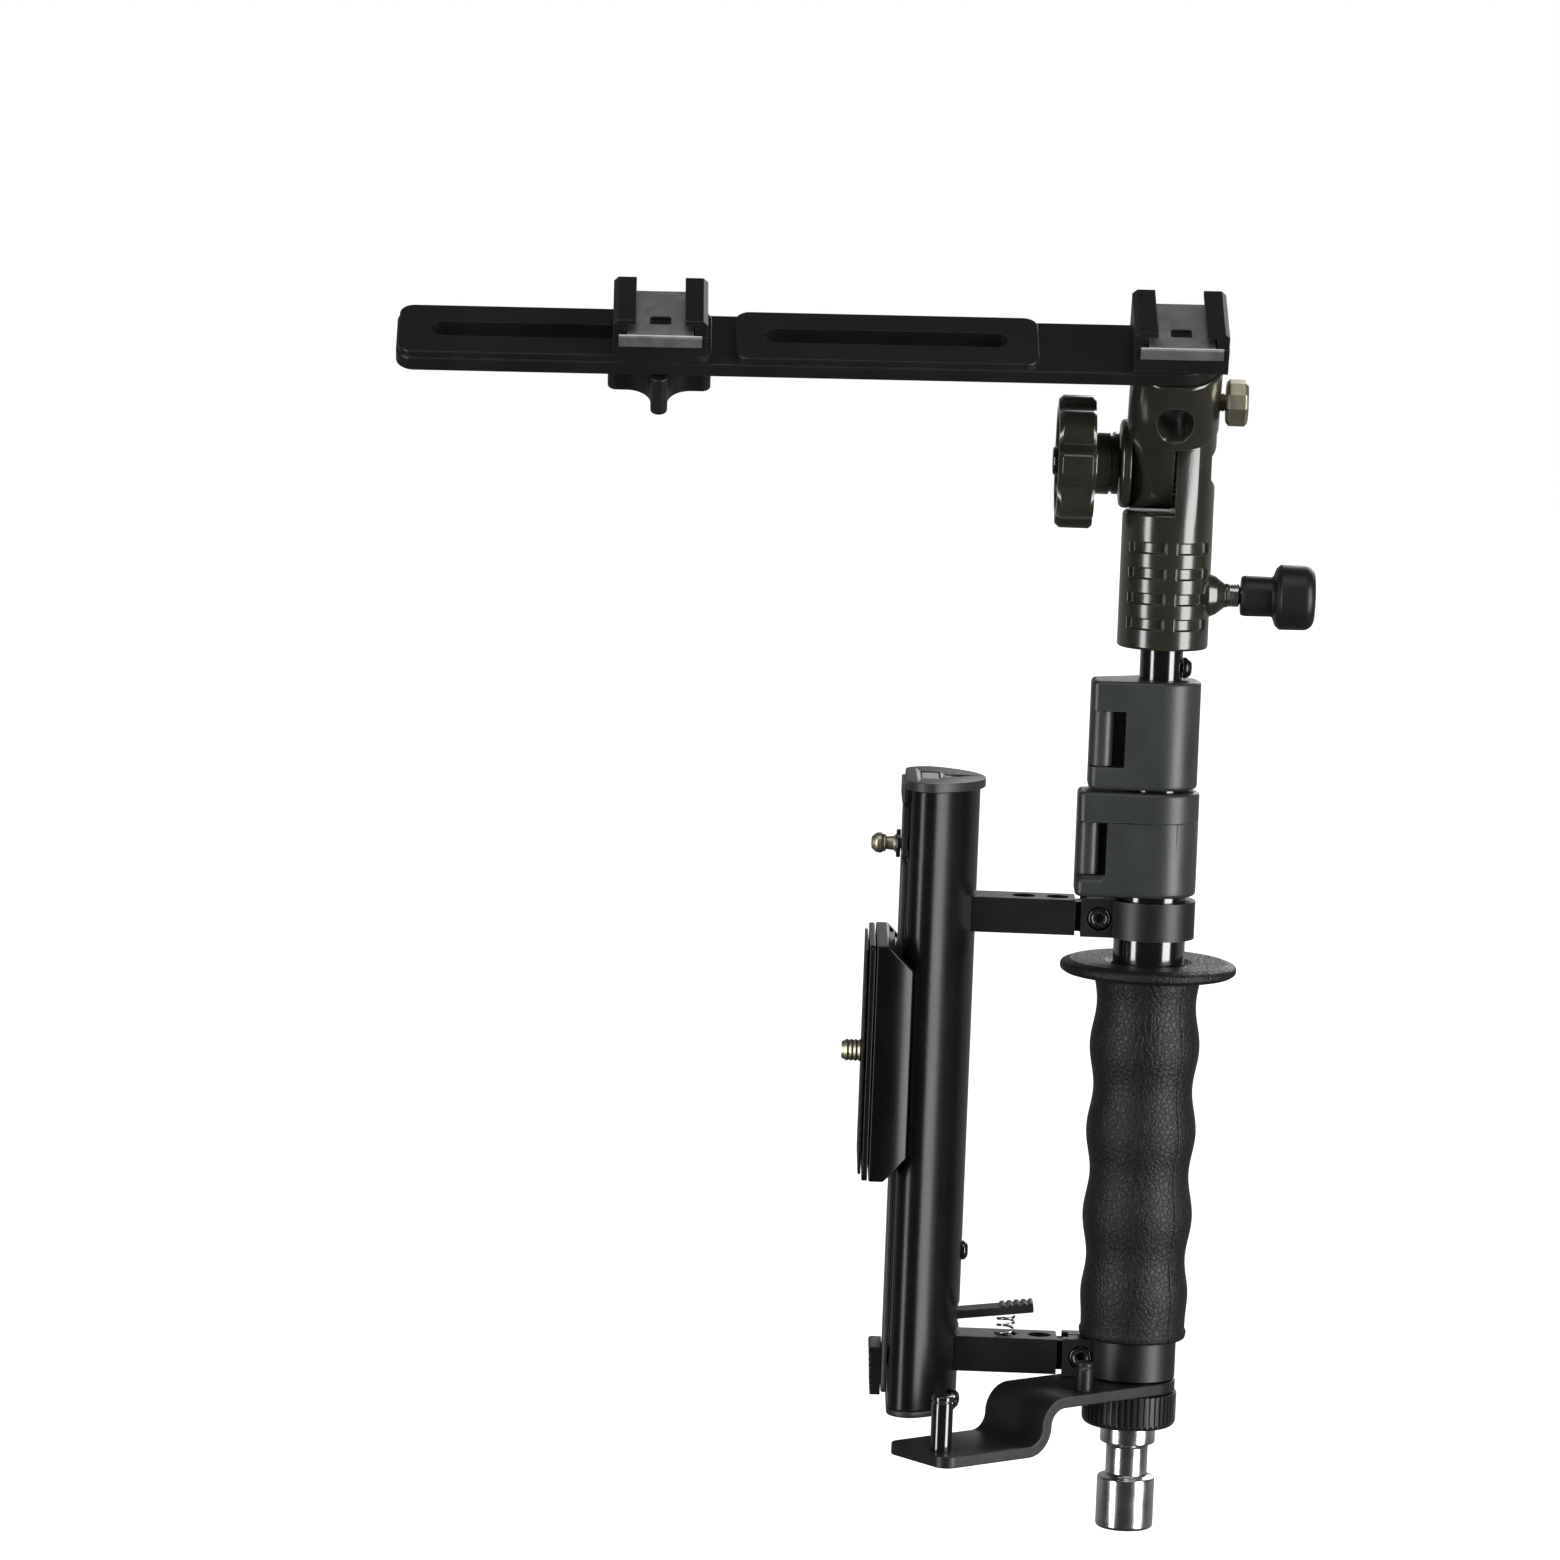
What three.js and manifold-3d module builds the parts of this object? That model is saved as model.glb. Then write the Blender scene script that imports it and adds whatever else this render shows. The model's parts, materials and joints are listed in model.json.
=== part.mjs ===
// Camera flash bracket: a rubber grip on a telescoping pole, with a tilting head and slotted
// flash arm on top, an upright camera column beside the grip and a swinging foot bar below.
// Millimetres. X runs to the right, Y away from the viewer and Z up. The pole stands on Z and
// the origin is the centre of the stud's lower face.

import * as THREE from "three";
import { mergeVertices } from "three/addons/utils/BufferGeometryUtils.js";
import Module from "manifold-3d";

const wasm = await Module();
wasm.setup();

// Clearances
const seat_gap = 0.3;
const slide_gap = 0.5;
const pin_gap = 0.2;
const cut_over = 1;

// Foot stud
const stud_body_radius = 8;
const stud_body_height = 14.4;
const stud_waist_radius = 5.8;
const stud_waist_height = 9.9;
const stud_flange_radius = 7.65;
const stud_flange_height = 4.7;
const stud_chamfer = 0.6;
const stem_radius = 4;
const stem_in_stud = 8;

// Fluted foot nut
const nut_radius = 13.1;
const nut_height = 9.7;
const nut_flute_depth = 0.7;
const nut_edge = 1.2;
const nut_flutes = 28;

// Foot bar
const bar_thickness = 3.3;
const bar_width = 25;
const bar_reach = 77.5;
const bar_riser_reach = 40.6;
const bar_drop = 12.6;
const bar_corner = 4;
const bar_turn_deg = 219;
const tall_pin_radius = 2.95;
const tall_pin_height = 15.4;
const tall_pin_inset = 5.5;
const tall_pin_side = 4.5;
const stub_pin_radius = 2.5;
const stub_pin_height = 8;
const stub_pin_reach = 24.2;
const stub_pin_side = 8;
const pin_tenon_radius = 1.6;
const pin_crown = 0.8;

// Handle tube and its plug
const tube_radius = 9.9;
const tube_wall = 1.4;
const plug_height = 12;

// Hand grip
const grip_lift = 0.4;
const grip_length = 101;
const grip_mean_radius = 14.5;
const grip_swell = 0.72;
const grip_swell_pitch = 23.8;
const grip_first_crest = 10.5;
const grip_lip_height = 3;
const grip_lip_radius = 14.95;
const grip_neck_radius = 14.1;
const flange_radius = 24.6;
const flange_thickness = 3.8;
const flange_rise = 1;
const grip_rings = 22;

// Ring clamps and arms
const clamp_height = 10.4;
const clamp_ring_wall = 2.2;
const clamp_depth = 12.6;
const clamp_left = 19.4;
const clamp_slit = 1.2;
const clamp_lift = 0.4;
const clamp_above_grip = 11.5;
const clamp_screw_reach = 14.3;
const clamp_screw_radius = 1.6;
const clamp_screw_head_radius = 3.1;
const clamp_screw_head_height = 3.2;
const clamp_screw_inset = 0.3;
const clamp_screw_end_wall = 1.2;
const hex_socket_radius = 1.5;
const hex_socket_depth = 1.7;
const arm_height = 9.8;
const arm_depth = 12.8;
const arm_inner_end = 21;
const arm_tang_end = 18;
const arm_tang_depth = 6.4;
const arm_tang_height = 8.2;
const arm_hole_radius = 3.2;
const arm_hole_inset = 4.8;
const arm_hole_pitch = 9.4;
const arm_tenon_radius = 3;
const arm_edge = 0.5;

// Flip locks
const lock_above_clamp = 1.5;
const lower_lock_height = 29;
const lower_lock_radius = 12.15;
const lower_lock_left = 21.6;
const lower_window_low = 6;
const lower_window_high = 8.3;
const lower_window_left = 13.4;
const lock_spacing = 0.7;
const upper_lock_height = 30;
const upper_lock_radius = 11.3;
const upper_lock_left = 19.1;
const upper_window_low = 6.2;
const upper_window_high = 8.2;
const upper_window_left = 9.4;
const lock_edge = 1.2;
const lock_corner = 2.5;
const lock_barrel_radius = 3.3;
const lock_barrel_inset = 1.2;
const lock_pin_radius = 1.2;
const lock_pin_cap = 3;
const lever_wrap_start_deg = 115;
const lever_thickness = 2.4;
const lever_end_deg = 42;
const lever_bend_radius = 5;
const lock_throat_height = 8;

// Telescoping tubes
const mid_tube_radius = 8;
const mid_tube_wall = 1.4;
const mid_tube_lift = 5.6;
const inner_tube_radius = 5.9;
const inner_tube_wall = 1.5;
const inner_tube_lift = 5.6;
const inner_tube_in_socket = 26;
const bush_height = 7;
const spigot_show = 8.9;
const spigot_screw_radius = 2.9;
const spigot_screw_dome = 2.2;
const spigot_screw_drop = 5.6;
const spigot_screw_shank = 1.5;
const spigot_screw_depth = 3;

// Socket of the tilting head
const socket_radius = 12.5;
const socket_groove_depth = 1.2;
const socket_groove_height = 3;
const socket_groove_pitch = 6.25;
const socket_first_groove = 7;
const socket_grooves = 4;
const socket_rib_width = 3;
const socket_edge = 1;
const tilt_axis_rise = 50.2;
const socket_ear_radius = 12.2;
const socket_ear_face = 1.35;
const boss_rise = 14.95;
const boss_reach = 17.5;
const boss_root_radius = 7;
const boss_tip_radius = 3.5;
const socket_screw_radius = 2.2;
const socket_screw_show = 3.5;
const socket_hub_radius = 5.7;
const socket_hub_length = 9.5;
const socket_knob_radius = 9;
const socket_knob_length = 11.5;
const socket_knob_edge = 3;

// Tilting head
const head_tilt_deg = 30;
const head_ear_face = 0.45;
const head_ear_reach = 13.9;
const head_neck_height = 13;
const head_height = 33.7;
const head_edge = 0.9;
const umbrella_hole_height = 21.4;
const umbrella_hole_radius = 4.5;
const umbrella_mouth_radius = 5.65;
const umbrella_mouth_depth = 1.6;
const umbrella_screw_radius = 2.6;
const umbrella_screw_neck = 1.5;
const umbrella_head_radius = 6.4;
const umbrella_head_length = 5.9;
const umbrella_head_sides = 10;
const tilt_bolt_radius = 4;
const tilt_bolt_head_radius = 6.2;
const tilt_bolt_head_length = 2.4;
const tilt_bolt_head_reach = 10.8;
const tilt_bolt_show = 1.1;
const tilt_knob_radius = 18.25;
const tilt_knob_thickness = 10.2;
const tilt_knob_dip = 2.1;
const tilt_knob_lobes = 8;
const tilt_knob_edge = 1;
const tilt_knob_recess_radius = 13.6;
const tilt_knob_recess = 3.4;
const tilt_knob_boss_radius = 7;
const tilt_hub_radius = 8.65;
const tilt_hub_length = 6.7;

// Flash arm
const arm_yaw_deg = 1.6;
const flash_arm_left = 212;
const flash_arm_width = 24;
const flash_arm_thickness = 4;
const flash_arm_corner = 5;
const flash_arm_edge = 0.4;
const plate_raise = 1.9;
const plate_inset = 0.6;
const plate_corner = 4;
const plate_edge = 0.5;
const outer_plate_right = 126.7;
const inner_plate_left = 120.3;
const inner_plate_right = 38;
const slot_width = 6.7;
const slot_end_margin = 9.1;
const outer_slot_right = 132.5;
const inner_slot_left = 112.6;
const inner_slot_right = 46.4;
const arm_screw_radius = 3;
const arm_screw_head_radius = 5.6;
const arm_screw_head_height = 2.6;
const arm_screw_depth = 6.6;

// Accessory shoes
const shoe_width = 25.6;
const shoe_depth = 22.5;
const shoe_front = 12;
const head_shoe_floor = 7.7;
const slide_shoe_floor = 6.3;
const shoe_channel_width = 18.8;
const shoe_channel_height = 2.9;
const shoe_lip_gap = 13.2;
const shoe_lip_thickness = 1.6;
const shoe_chamfer = 1.3;
const spring_plate_thickness = 0.5;
const spring_plate_width = 18;
const spring_lip_width = 22.4;
const spring_lip_height = 3.5;
const spring_hole_width = 5.8;
const spring_hole_depth = 4;
const spring_hole_back = 5;
const slide_shoe_left = 140.7;
const slide_screw_radius = 3;
const slide_screw_head_radius = 5.5;
const slide_screw_head_height = 2.4;
const wing_span_radius = 14;
const wing_thickness = 4.6;
const wing_height = 11.3;
const wing_fillet = 6.5;
const wing_count = 4;
const wing_floor = 2;

// Camera column
const column_reach = 61.6;
const column_nose = 13.3;
const column_half_depth = 18.5;
const column_corner = 6;
const column_wall = 1.8;
const column_foot_drop = 16.4;
const column_top_rise = 37.4;
const bottom_cap_thickness = 1.9;
const top_cap_thickness = 2.5;
const top_cap_overhang = 1.4;
const cap_plug_height = 8;
const cap_lip_height = 4;
const cap_lip_thickness = 2.1;
const cap_lip_half_width = 12;
const window_width = 5.4;
const window_length = 16;
const window_depth = 1.5;
const window_offset = 2.6;
const rail_thickness = 1.6;
const rail_half_width = 9;
const rail_foot_rise = 6.1;
const rail_top_drop = 22.8;
const rail_end_height = 15.6;
const rail_end_half_width = 11;
const ball_rise = 3.5;
const ball_washer_radius = 3.95;
const ball_washer_thickness = 1.2;
const ball_neck_radius = 2.05;
const ball_neck_length = 2.9;
const ball_radius = 2.85;
const ball_length = 4;
const ball_shank_radius = 1.5;
const latch_foot_rise = 2.8;
const latch_height = 15.8;
const latch_top_thickness = 4.1;
const latch_foot_thickness = 2.4;
const latch_half_width = 8;
const latch_ridges = 7;
const latch_ridge_depth = 0.45;
const latch_stem_half_width = 2.4;
const latch_stem_height = 4;
const latch_stem_rise = 9;
const latch_stem_reach = 5;
const latch_travel = 3.5;
const side_screw_radius = 2.7;
const side_screw_dome = 1.7;
const side_screw_shank = 1.4;
const side_screw_depth = 5.5;
const upper_side_screw_drop = 4;
const lower_side_screw_rise = 3.8;
const lower_side_screw_deg = -18;

// Release lever and its spring
const lever_pivot_inset = 6.1;
const lever_pivot_rise = 9.5;
const lever_tip_left = 27.4;
const lever_blade_thickness = 2.2;
const lever_blade_width = 7;
const lever_incline_deg = 6.9;
const lever_eye_radius = 2.6;
const lever_pin_radius = 1;
const lever_pin_half_length = 9;
const lever_serration_length = 10;
const lever_serration_depth = 0.8;
const lever_serrations = 5;
const lever_window_half_height = 3.2;
const carrier_rise = 4.7;
const carrier_height = 27.3;
const spring_radius = 2.3;
const spring_wire = 0.75;
const spring_pitch = 1.95;
const spring_seat_depth = 5.6;
const spring_sides = 5;
const spring_steps_per_turn = 8;

// Camera carriage and platform
const carriage_depth = 47;
const carriage_height = 65.5;
const carriage_rise = 66.8;
const carriage_outer = 13.8;
const carriage_inner = 3.5;
const carriage_side_chamfer = 4.4;
const carriage_top_chamfer = 7;
const carriage_foot_chamfer = 6.3;
const carriage_grooves = 3;
const carriage_groove_pitch = 2.1;
const carriage_groove_depth = 0.8;
const carriage_groove_margin = 5;
const platform_plate_thickness = 1.6;
const platform_pad_thickness = 0.8;
const platform_pad_margin = 1.5;
const camera_screw_radius = 3.1;
const camera_screw_show = 5.5;
const camera_screw_head_radius = 6.6;
const camera_screw_head_height = 2.2;

// Heights worked out from the foot upwards
const stud_height = stud_body_height + stud_waist_height + stud_flange_height;
const nut_z = stud_height + seat_gap;
const bar_z = nut_z + nut_height + seat_gap;
const tube_z = bar_z + bar_thickness + seat_gap;
const tall_pin_reach = bar_reach - tall_pin_inset;
const lower_clamp_mid_z = tube_z + clamp_lift + clamp_height / 2;
const grip_foot_z = lower_clamp_mid_z + clamp_height / 2 + grip_lift;
const upper_clamp_mid_z = grip_foot_z + grip_length + clamp_above_grip + clamp_height / 2;
const arm_hole_near = arm_inner_end + arm_hole_inset;
const arm_hole_far = arm_hole_near + arm_hole_pitch;
const lower_lock_z = upper_clamp_mid_z + clamp_height / 2 + lock_above_clamp;
const tube_top_z = lower_lock_z + lower_lock_height - lock_throat_height - seat_gap;
const stem_hole_radius = stem_radius + seat_gap;
const upper_lock_z = lower_lock_z + lower_lock_height + lock_spacing;
const upper_lock_top_z = upper_lock_z + upper_lock_height;
const socket_z = upper_lock_top_z + spigot_show;
const tilt_z = socket_z + tilt_axis_rise;
const socket_shoulder_z = tilt_z - socket_ear_radius - seat_gap;
const inner_tube_top_z = socket_z + inner_tube_in_socket;
const mid_tube_low_z = tube_z + plug_height + bush_height + 2 * seat_gap + mid_tube_lift;
const mid_tube_top_z = upper_lock_top_z - lock_throat_height - seat_gap;
const inner_tube_low_z = mid_tube_low_z + bush_height + seat_gap + inner_tube_lift;
const spigot_screw_z = socket_z - spigot_screw_drop;
const flash_arm_low = head_height + seat_gap;
const flash_arm_high = flash_arm_low + flash_arm_thickness;
const plate_high = flash_arm_high + plate_raise;
const outer_slot_left = flash_arm_left - slot_end_margin;
const column_flat = column_reach + column_corner;
const column_low_z = lower_clamp_mid_z - column_foot_drop;
const column_high_z = upper_clamp_mid_z + column_top_rise;
const rail_low_z = column_low_z + rail_foot_rise;
const rail_high_z = column_high_z - rail_top_drop;
const ball_z = rail_high_z + ball_rise;
const latch_low_z = column_low_z + latch_foot_rise;
const carrier_low_z = lower_clamp_mid_z + carrier_rise;
const carrier_high_z = carrier_low_z + carrier_height;
const upper_side_screw_z = carrier_high_z - upper_side_screw_drop;
const lower_side_screw_z = column_low_z + lower_side_screw_rise;
const lever_pivot_left = column_reach - lever_pivot_inset;
const lever_pivot_z = lower_clamp_mid_z + lever_pivot_rise;
const carriage_left = column_reach + carriage_outer;
const carriage_right = column_reach + carriage_inner;
const carriage_low_z = column_low_z + carriage_rise;
const rail_face = column_flat + seat_gap + rail_thickness;
const carriage_high_z = carriage_low_z + carriage_height;
const carriage_mid_z = (carriage_low_z + carriage_high_z) / 2;
const lever_slope = Math.tan(THREE.MathUtils.degToRad(lever_incline_deg));
const lever_window_z = lever_pivot_z
  + (lever_pivot_left - column_reach + column_nose) * lever_slope;
const spring_low_z = lower_clamp_mid_z + arm_height / 2 - spring_seat_depth + seat_gap;
const spring_high_z = lever_pivot_z - lever_blade_thickness / 2 - seat_gap
  + (lever_pivot_left - arm_hole_far - spring_radius - spring_wire) * lever_slope;

// Solids and booleans

// Merges shared corners, drops flat triangles and turns the faces outward.
function tidy(geometry) {
  const bare = geometry.clone();
  bare.deleteAttribute("normal");
  bare.deleteAttribute("uv");
  const merged = mergeVertices(bare, 1e-4);
  const index = merged.index.array;
  const kept = [];
  for (let i = 0; i < index.length; i += 3) {
    const [a, b, c] = [index[i], index[i + 1], index[i + 2]];
    if (a !== b && b !== c && c !== a) {
      kept.push(a, b, c);
    }
  }
  if (signedVolume(merged.attributes.position, kept) < 0) {
    kept.reverse();
  }
  merged.setIndex(kept);
  return merged;
}

function signedVolume(position, index) {
  const [a, b, c] = [new THREE.Vector3(), new THREE.Vector3(), new THREE.Vector3()];
  let volume = 0;
  for (let i = 0; i < index.length; i += 3) {
    a.fromBufferAttribute(position, index[i]);
    b.fromBufferAttribute(position, index[i + 1]);
    c.fromBufferAttribute(position, index[i + 2]);
    volume += a.dot(b.cross(c)) / 6;
  }
  return volume;
}

function toSolid(geometry) {
  const clean = tidy(geometry);
  return new wasm.Manifold(new wasm.Mesh({
    numProp: 3,
    vertProperties: new Float32Array(clean.attributes.position.array),
    triVerts: new Uint32Array(clean.index.array),
  }));
}

function toGeometry(solid) {
  const mesh = solid.getMesh();
  const geometry = new THREE.BufferGeometry();
  geometry.setAttribute("position", new THREE.BufferAttribute(mesh.vertProperties, 3));
  geometry.setIndex(Array.from(mesh.triVerts));
  return geometry;
}

function cut(base, ...tools) {
  let solid = toSolid(base);
  for (const tool of tools) {
    solid = solid.subtract(toSolid(tool));
  }
  return toGeometry(solid);
}

function join(base, ...others) {
  let solid = toSolid(base);
  for (const other of others) {
    solid = solid.add(toSolid(other));
  }
  return toGeometry(solid);
}

function common(first, second) {
  return toGeometry(toSolid(first).intersect(toSolid(second)));
}

// Basic shapes

function box(x0, x1, y0, y1, z0, z1) {
  const block = new THREE.BoxGeometry(x1 - x0, y1 - y0, z1 - z0);
  return block.translate((x0 + x1) / 2, (y0 + y1) / 2, (z0 + z1) / 2);
}

// Turns a closed profile of radius and height pairs about Z.
function turn(profile, sides = 24) {
  const points = profile.map(([radius, height]) => new THREE.Vector2(radius, height));
  if (profile[0][0] !== 0 || profile[profile.length - 1][0] !== 0) {
    points.push(points[0].clone());
  }
  return new THREE.LatheGeometry(points, sides).rotateX(Math.PI / 2);
}

function rod(radius, z0, z1, sides = 20) {
  return turn([[0, z0], [radius, z0], [radius, z1], [0, z1]], sides);
}

function pipe(outer, inner, z0, z1, sides = 24) {
  return turn([[inner, z0], [outer, z0], [outer, z1], [inner, z1]], sides);
}

// Lays a shape made about Z along X, its top pointing to positive X.
function alongX(geometry) {
  return geometry.rotateY(Math.PI / 2);
}

// Lays a shape made about Z along Y, its top pointing to negative Y.
function alongY(geometry) {
  return geometry.rotateX(Math.PI / 2);
}

// Raises a flat outline to a slab, with its top and bottom edges bevelled.
function slab(shape, z0, z1, edge = 0, curveSegments = 3) {
  const geometry = new THREE.ExtrudeGeometry(shape, {
    depth: z1 - z0 - 2 * edge,
    bevelEnabled: edge > 0,
    bevelThickness: edge,
    bevelSize: edge,
    bevelOffset: -edge,
    bevelSegments: 1,
    curveSegments,
  });
  return geometry.translate(0, 0, z0 + edge);
}

function polygon(points) {
  return new THREE.Shape(points.map(([x, y]) => new THREE.Vector2(x, y)));
}

function roundedRectangle(x0, x1, y0, y1, radius) {
  const shape = new THREE.Shape();
  shape.moveTo(x0 + radius, y0);
  shape.lineTo(x1 - radius, y0);
  shape.absarc(x1 - radius, y0 + radius, radius, -Math.PI / 2, 0, false);
  shape.lineTo(x1, y1 - radius);
  shape.absarc(x1 - radius, y1 - radius, radius, 0, Math.PI / 2, false);
  shape.lineTo(x0 + radius, y1);
  shape.absarc(x0 + radius, y1 - radius, radius, Math.PI / 2, Math.PI, false);
  shape.lineTo(x0, y0 + radius);
  shape.absarc(x0 + radius, y0 + radius, radius, Math.PI, 1.5 * Math.PI, false);
  return shape;
}

// A side outline extruded along Y and centred on it: the outline's X and Y become X and Z.
function sideSlab(shape, width) {
  const geometry = slab(shape, 0, width);
  return geometry.rotateX(Math.PI / 2).translate(0, width / 2, 0);
}

// Outline of a strip of even thickness along a line of points in the plane.
function stripOutline(line, thickness) {
  const left = [];
  const right = [];
  line.forEach(([x, y], i) => {
    const [px, py] = line[Math.max(i - 1, 0)];
    const [nx, ny] = line[Math.min(i + 1, line.length - 1)];
    const length = Math.hypot(nx - px, ny - py);
    const [ox, oy] = [-(ny - py) / length, (nx - px) / length];
    left.push([x + ox * thickness / 2, y + oy * thickness / 2]);
    right.push([x - ox * thickness / 2, y - oy * thickness / 2]);
  });
  return polygon([...left, ...right.reverse()]);
}

function arcPoints(cx, cy, radius, fromDeg, toDeg, steps) {
  const points = [];
  for (let i = 0; i <= steps; i += 1) {
    const angle = THREE.MathUtils.degToRad(fromDeg + (toDeg - fromDeg) * i / steps);
    points.push([cx + radius * Math.cos(angle), cy + radius * Math.sin(angle)]);
  }
  return points;
}

function evenOutline(radius, sides) {
  return polygon(arcPoints(0, 0, radius, 0, 360, sides).slice(1));
}

// Materials of the pieces
const finishes = {
  satinBlack: { color: 0x17191a, roughness: 0.42, metalness: 0.3 },
  lockPlastic: { color: 0x2b2e2f, roughness: 0.5, metalness: 0 },
  softRubber: { color: 0x18191a, roughness: 0.75, metalness: 0 },
  headPaint: { color: 0x37322a, roughness: 0.28, metalness: 0.4 },
  knobPlastic: { color: 0x1f2122, roughness: 0.45, metalness: 0 },
  glossBlack: { color: 0x121314, roughness: 0.15, metalness: 0.5 },
  chrome: { color: 0xc8cccd, roughness: 0.08, metalness: 1 },
  nickel: { color: 0x9a9385, roughness: 0.3, metalness: 1 },
  springSteel: { color: 0x9ba0a3, roughness: 0.35, metalness: 1 },
  palePlastic: { color: 0xa9adab, roughness: 0.5, metalness: 0 },
};

function piece(name, geometry, finish) {
  const material = new THREE.MeshStandardMaterial(finishes[finish]);
  const mesh = new THREE.Mesh(tidy(geometry), material);
  mesh.name = name;
  return mesh;
}

// Foot

function standStud() {
  const c = stud_chamfer;
  const waist_z = stud_body_height;
  const flange_z = stud_body_height + stud_waist_height;
  const bore_z = stud_height - stem_in_stud - seat_gap;
  return turn([
    [0, 0], [stud_body_radius - c, 0], [stud_body_radius, c],
    [stud_body_radius, waist_z - c], [stud_body_radius - c, waist_z],
    [stud_waist_radius, waist_z + c], [stud_waist_radius, flange_z - c],
    [stud_flange_radius - c, flange_z], [stud_flange_radius, flange_z + c],
    [stud_flange_radius, stud_height - c], [stud_flange_radius - c, stud_height],
    [stem_hole_radius, stud_height], [stem_hole_radius, bore_z], [0, bore_z],
  ]);
}

function footNut() {
  const points = [];
  for (let i = 0; i < nut_flutes * 2; i += 1) {
    const radius = nut_radius - (i % 2) * nut_flute_depth;
    const angle = Math.PI * i / nut_flutes;
    points.push([radius * Math.cos(angle), radius * Math.sin(angle)]);
  }
  const body = slab(polygon(points), nut_z, nut_z + nut_height);
  const crown = turn([
    [0, nut_z], [nut_radius - nut_edge, nut_z], [nut_radius, nut_z + nut_edge],
    [nut_radius, nut_z + nut_height], [0, nut_z + nut_height],
  ], nut_flutes);
  return cut(common(body, crown), rod(stem_hole_radius, nut_z - cut_over, bar_z + cut_over));
}

// Places a shape made along the bar's own length at the bar's resting swing.
function swungByBar(geometry) {
  return geometry.rotateZ(THREE.MathUtils.degToRad(bar_turn_deg));
}

function footBar() {
  const bend = bar_drop / 2;
  const mid_z = bar_z + bar_thickness / 2;
  const line = [
    [-bar_width, mid_z],
    ...arcPoints(bar_riser_reach - bend, mid_z - bend, bend, 90, 0, 5),
    ...arcPoints(bar_riser_reach + bend, mid_z - bend, bend, 180, 270, 5),
    [bar_reach + bar_width, mid_z - bar_drop],
  ];
  const strap = sideSlab(stripOutline(line, bar_thickness), 2 * bar_width);
  const plan = new THREE.Shape();
  const half = bar_width / 2;
  plan.absarc(0, 0, half, Math.PI / 2, 1.5 * Math.PI, false);
  plan.lineTo(bar_reach - bar_corner, -half);
  plan.absarc(bar_reach - bar_corner, -half + bar_corner, bar_corner, -Math.PI / 2, 0, false);
  plan.absarc(bar_reach - bar_corner, half - bar_corner, bar_corner, 0, Math.PI / 2, false);
  const trimmed = common(strap, slab(plan, 0, tube_z + cut_over));
  const tenon_hole = pin_tenon_radius + pin_gap;
  return swungByBar(cut(
    trimmed,
    rod(stem_hole_radius, 0, tube_z + cut_over),
    rod(tenon_hole, 0, tube_z, 16).translate(tall_pin_reach, tall_pin_side, 0),
    rod(tenon_hole, 0, tube_z + cut_over, 16).translate(stub_pin_reach, stub_pin_side, 0),
  ));
}

// A round pin standing on the bar, its thinner tenon held in the bar's hole.
function barPin(radius, height, reach, side, top_z) {
  const foot_z = top_z + seat_gap;
  const tip_z = top_z + height;
  const pin = turn([
    [0, top_z - bar_thickness], [pin_tenon_radius, top_z - bar_thickness],
    [pin_tenon_radius, foot_z], [radius, foot_z], [radius, tip_z - pin_crown],
    [radius - pin_crown, tip_z], [0, tip_z],
  ], 16);
  return swungByBar(pin.translate(reach, side, 0));
}

function tallPin() {
  const top_z = bar_z + bar_thickness - bar_drop;
  return barPin(tall_pin_radius, tall_pin_height, tall_pin_reach, tall_pin_side, top_z);
}

function stubPin() {
  const top_z = bar_z + bar_thickness;
  return barPin(stub_pin_radius, stub_pin_height, stub_pin_reach, stub_pin_side, top_z);
}

// Handle

function handlePlug() {
  const foot_z = stud_height - stem_in_stud;
  const plug_radius = tube_radius - tube_wall - pin_gap;
  return turn([
    [0, foot_z], [stem_radius, foot_z], [stem_radius, tube_z],
    [plug_radius, tube_z], [plug_radius, tube_z + plug_height], [0, tube_z + plug_height],
  ]);
}

function handleTube() {
  return pipe(tube_radius, tube_radius - tube_wall, tube_z, tube_top_z);
}

function gripRadius(height) {
  const phase = 2 * Math.PI * (height - grip_first_crest) / grip_swell_pitch;
  return grip_mean_radius + grip_swell * Math.cos(phase);
}

function handGrip() {
  const bore = tube_radius + seat_gap;
  const lip = grip_lip_height;
  const profile = [
    [bore, 0], [grip_lip_radius - lip / 3, 0], [grip_lip_radius, lip / 3],
    [grip_lip_radius, lip * 2 / 3], [grip_mean_radius, lip],
  ];
  for (let i = 1; i < grip_rings; i += 1) {
    const height = lip + (grip_length - lip) * i / grip_rings;
    profile.push([gripRadius(height), height]);
  }
  const rim = flange_thickness / 2;
  const top = grip_length + flange_rise;
  profile.push(
    [grip_neck_radius, grip_length - flange_rise],
    [grip_neck_radius + rim, top - rim / 2],
    [flange_radius - rim, top],
    [flange_radius - rim / 3, top + rim / 3],
    [flange_radius, top + rim],
    [flange_radius - rim / 3, top + rim * 5 / 3],
    [flange_radius - rim, top + 2 * rim],
    [bore, top + 2 * rim],
  );
  return turn(profile, 26).translate(0, 0, grip_foot_z);
}

// Ring clamps and the arms that they hold

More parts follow.
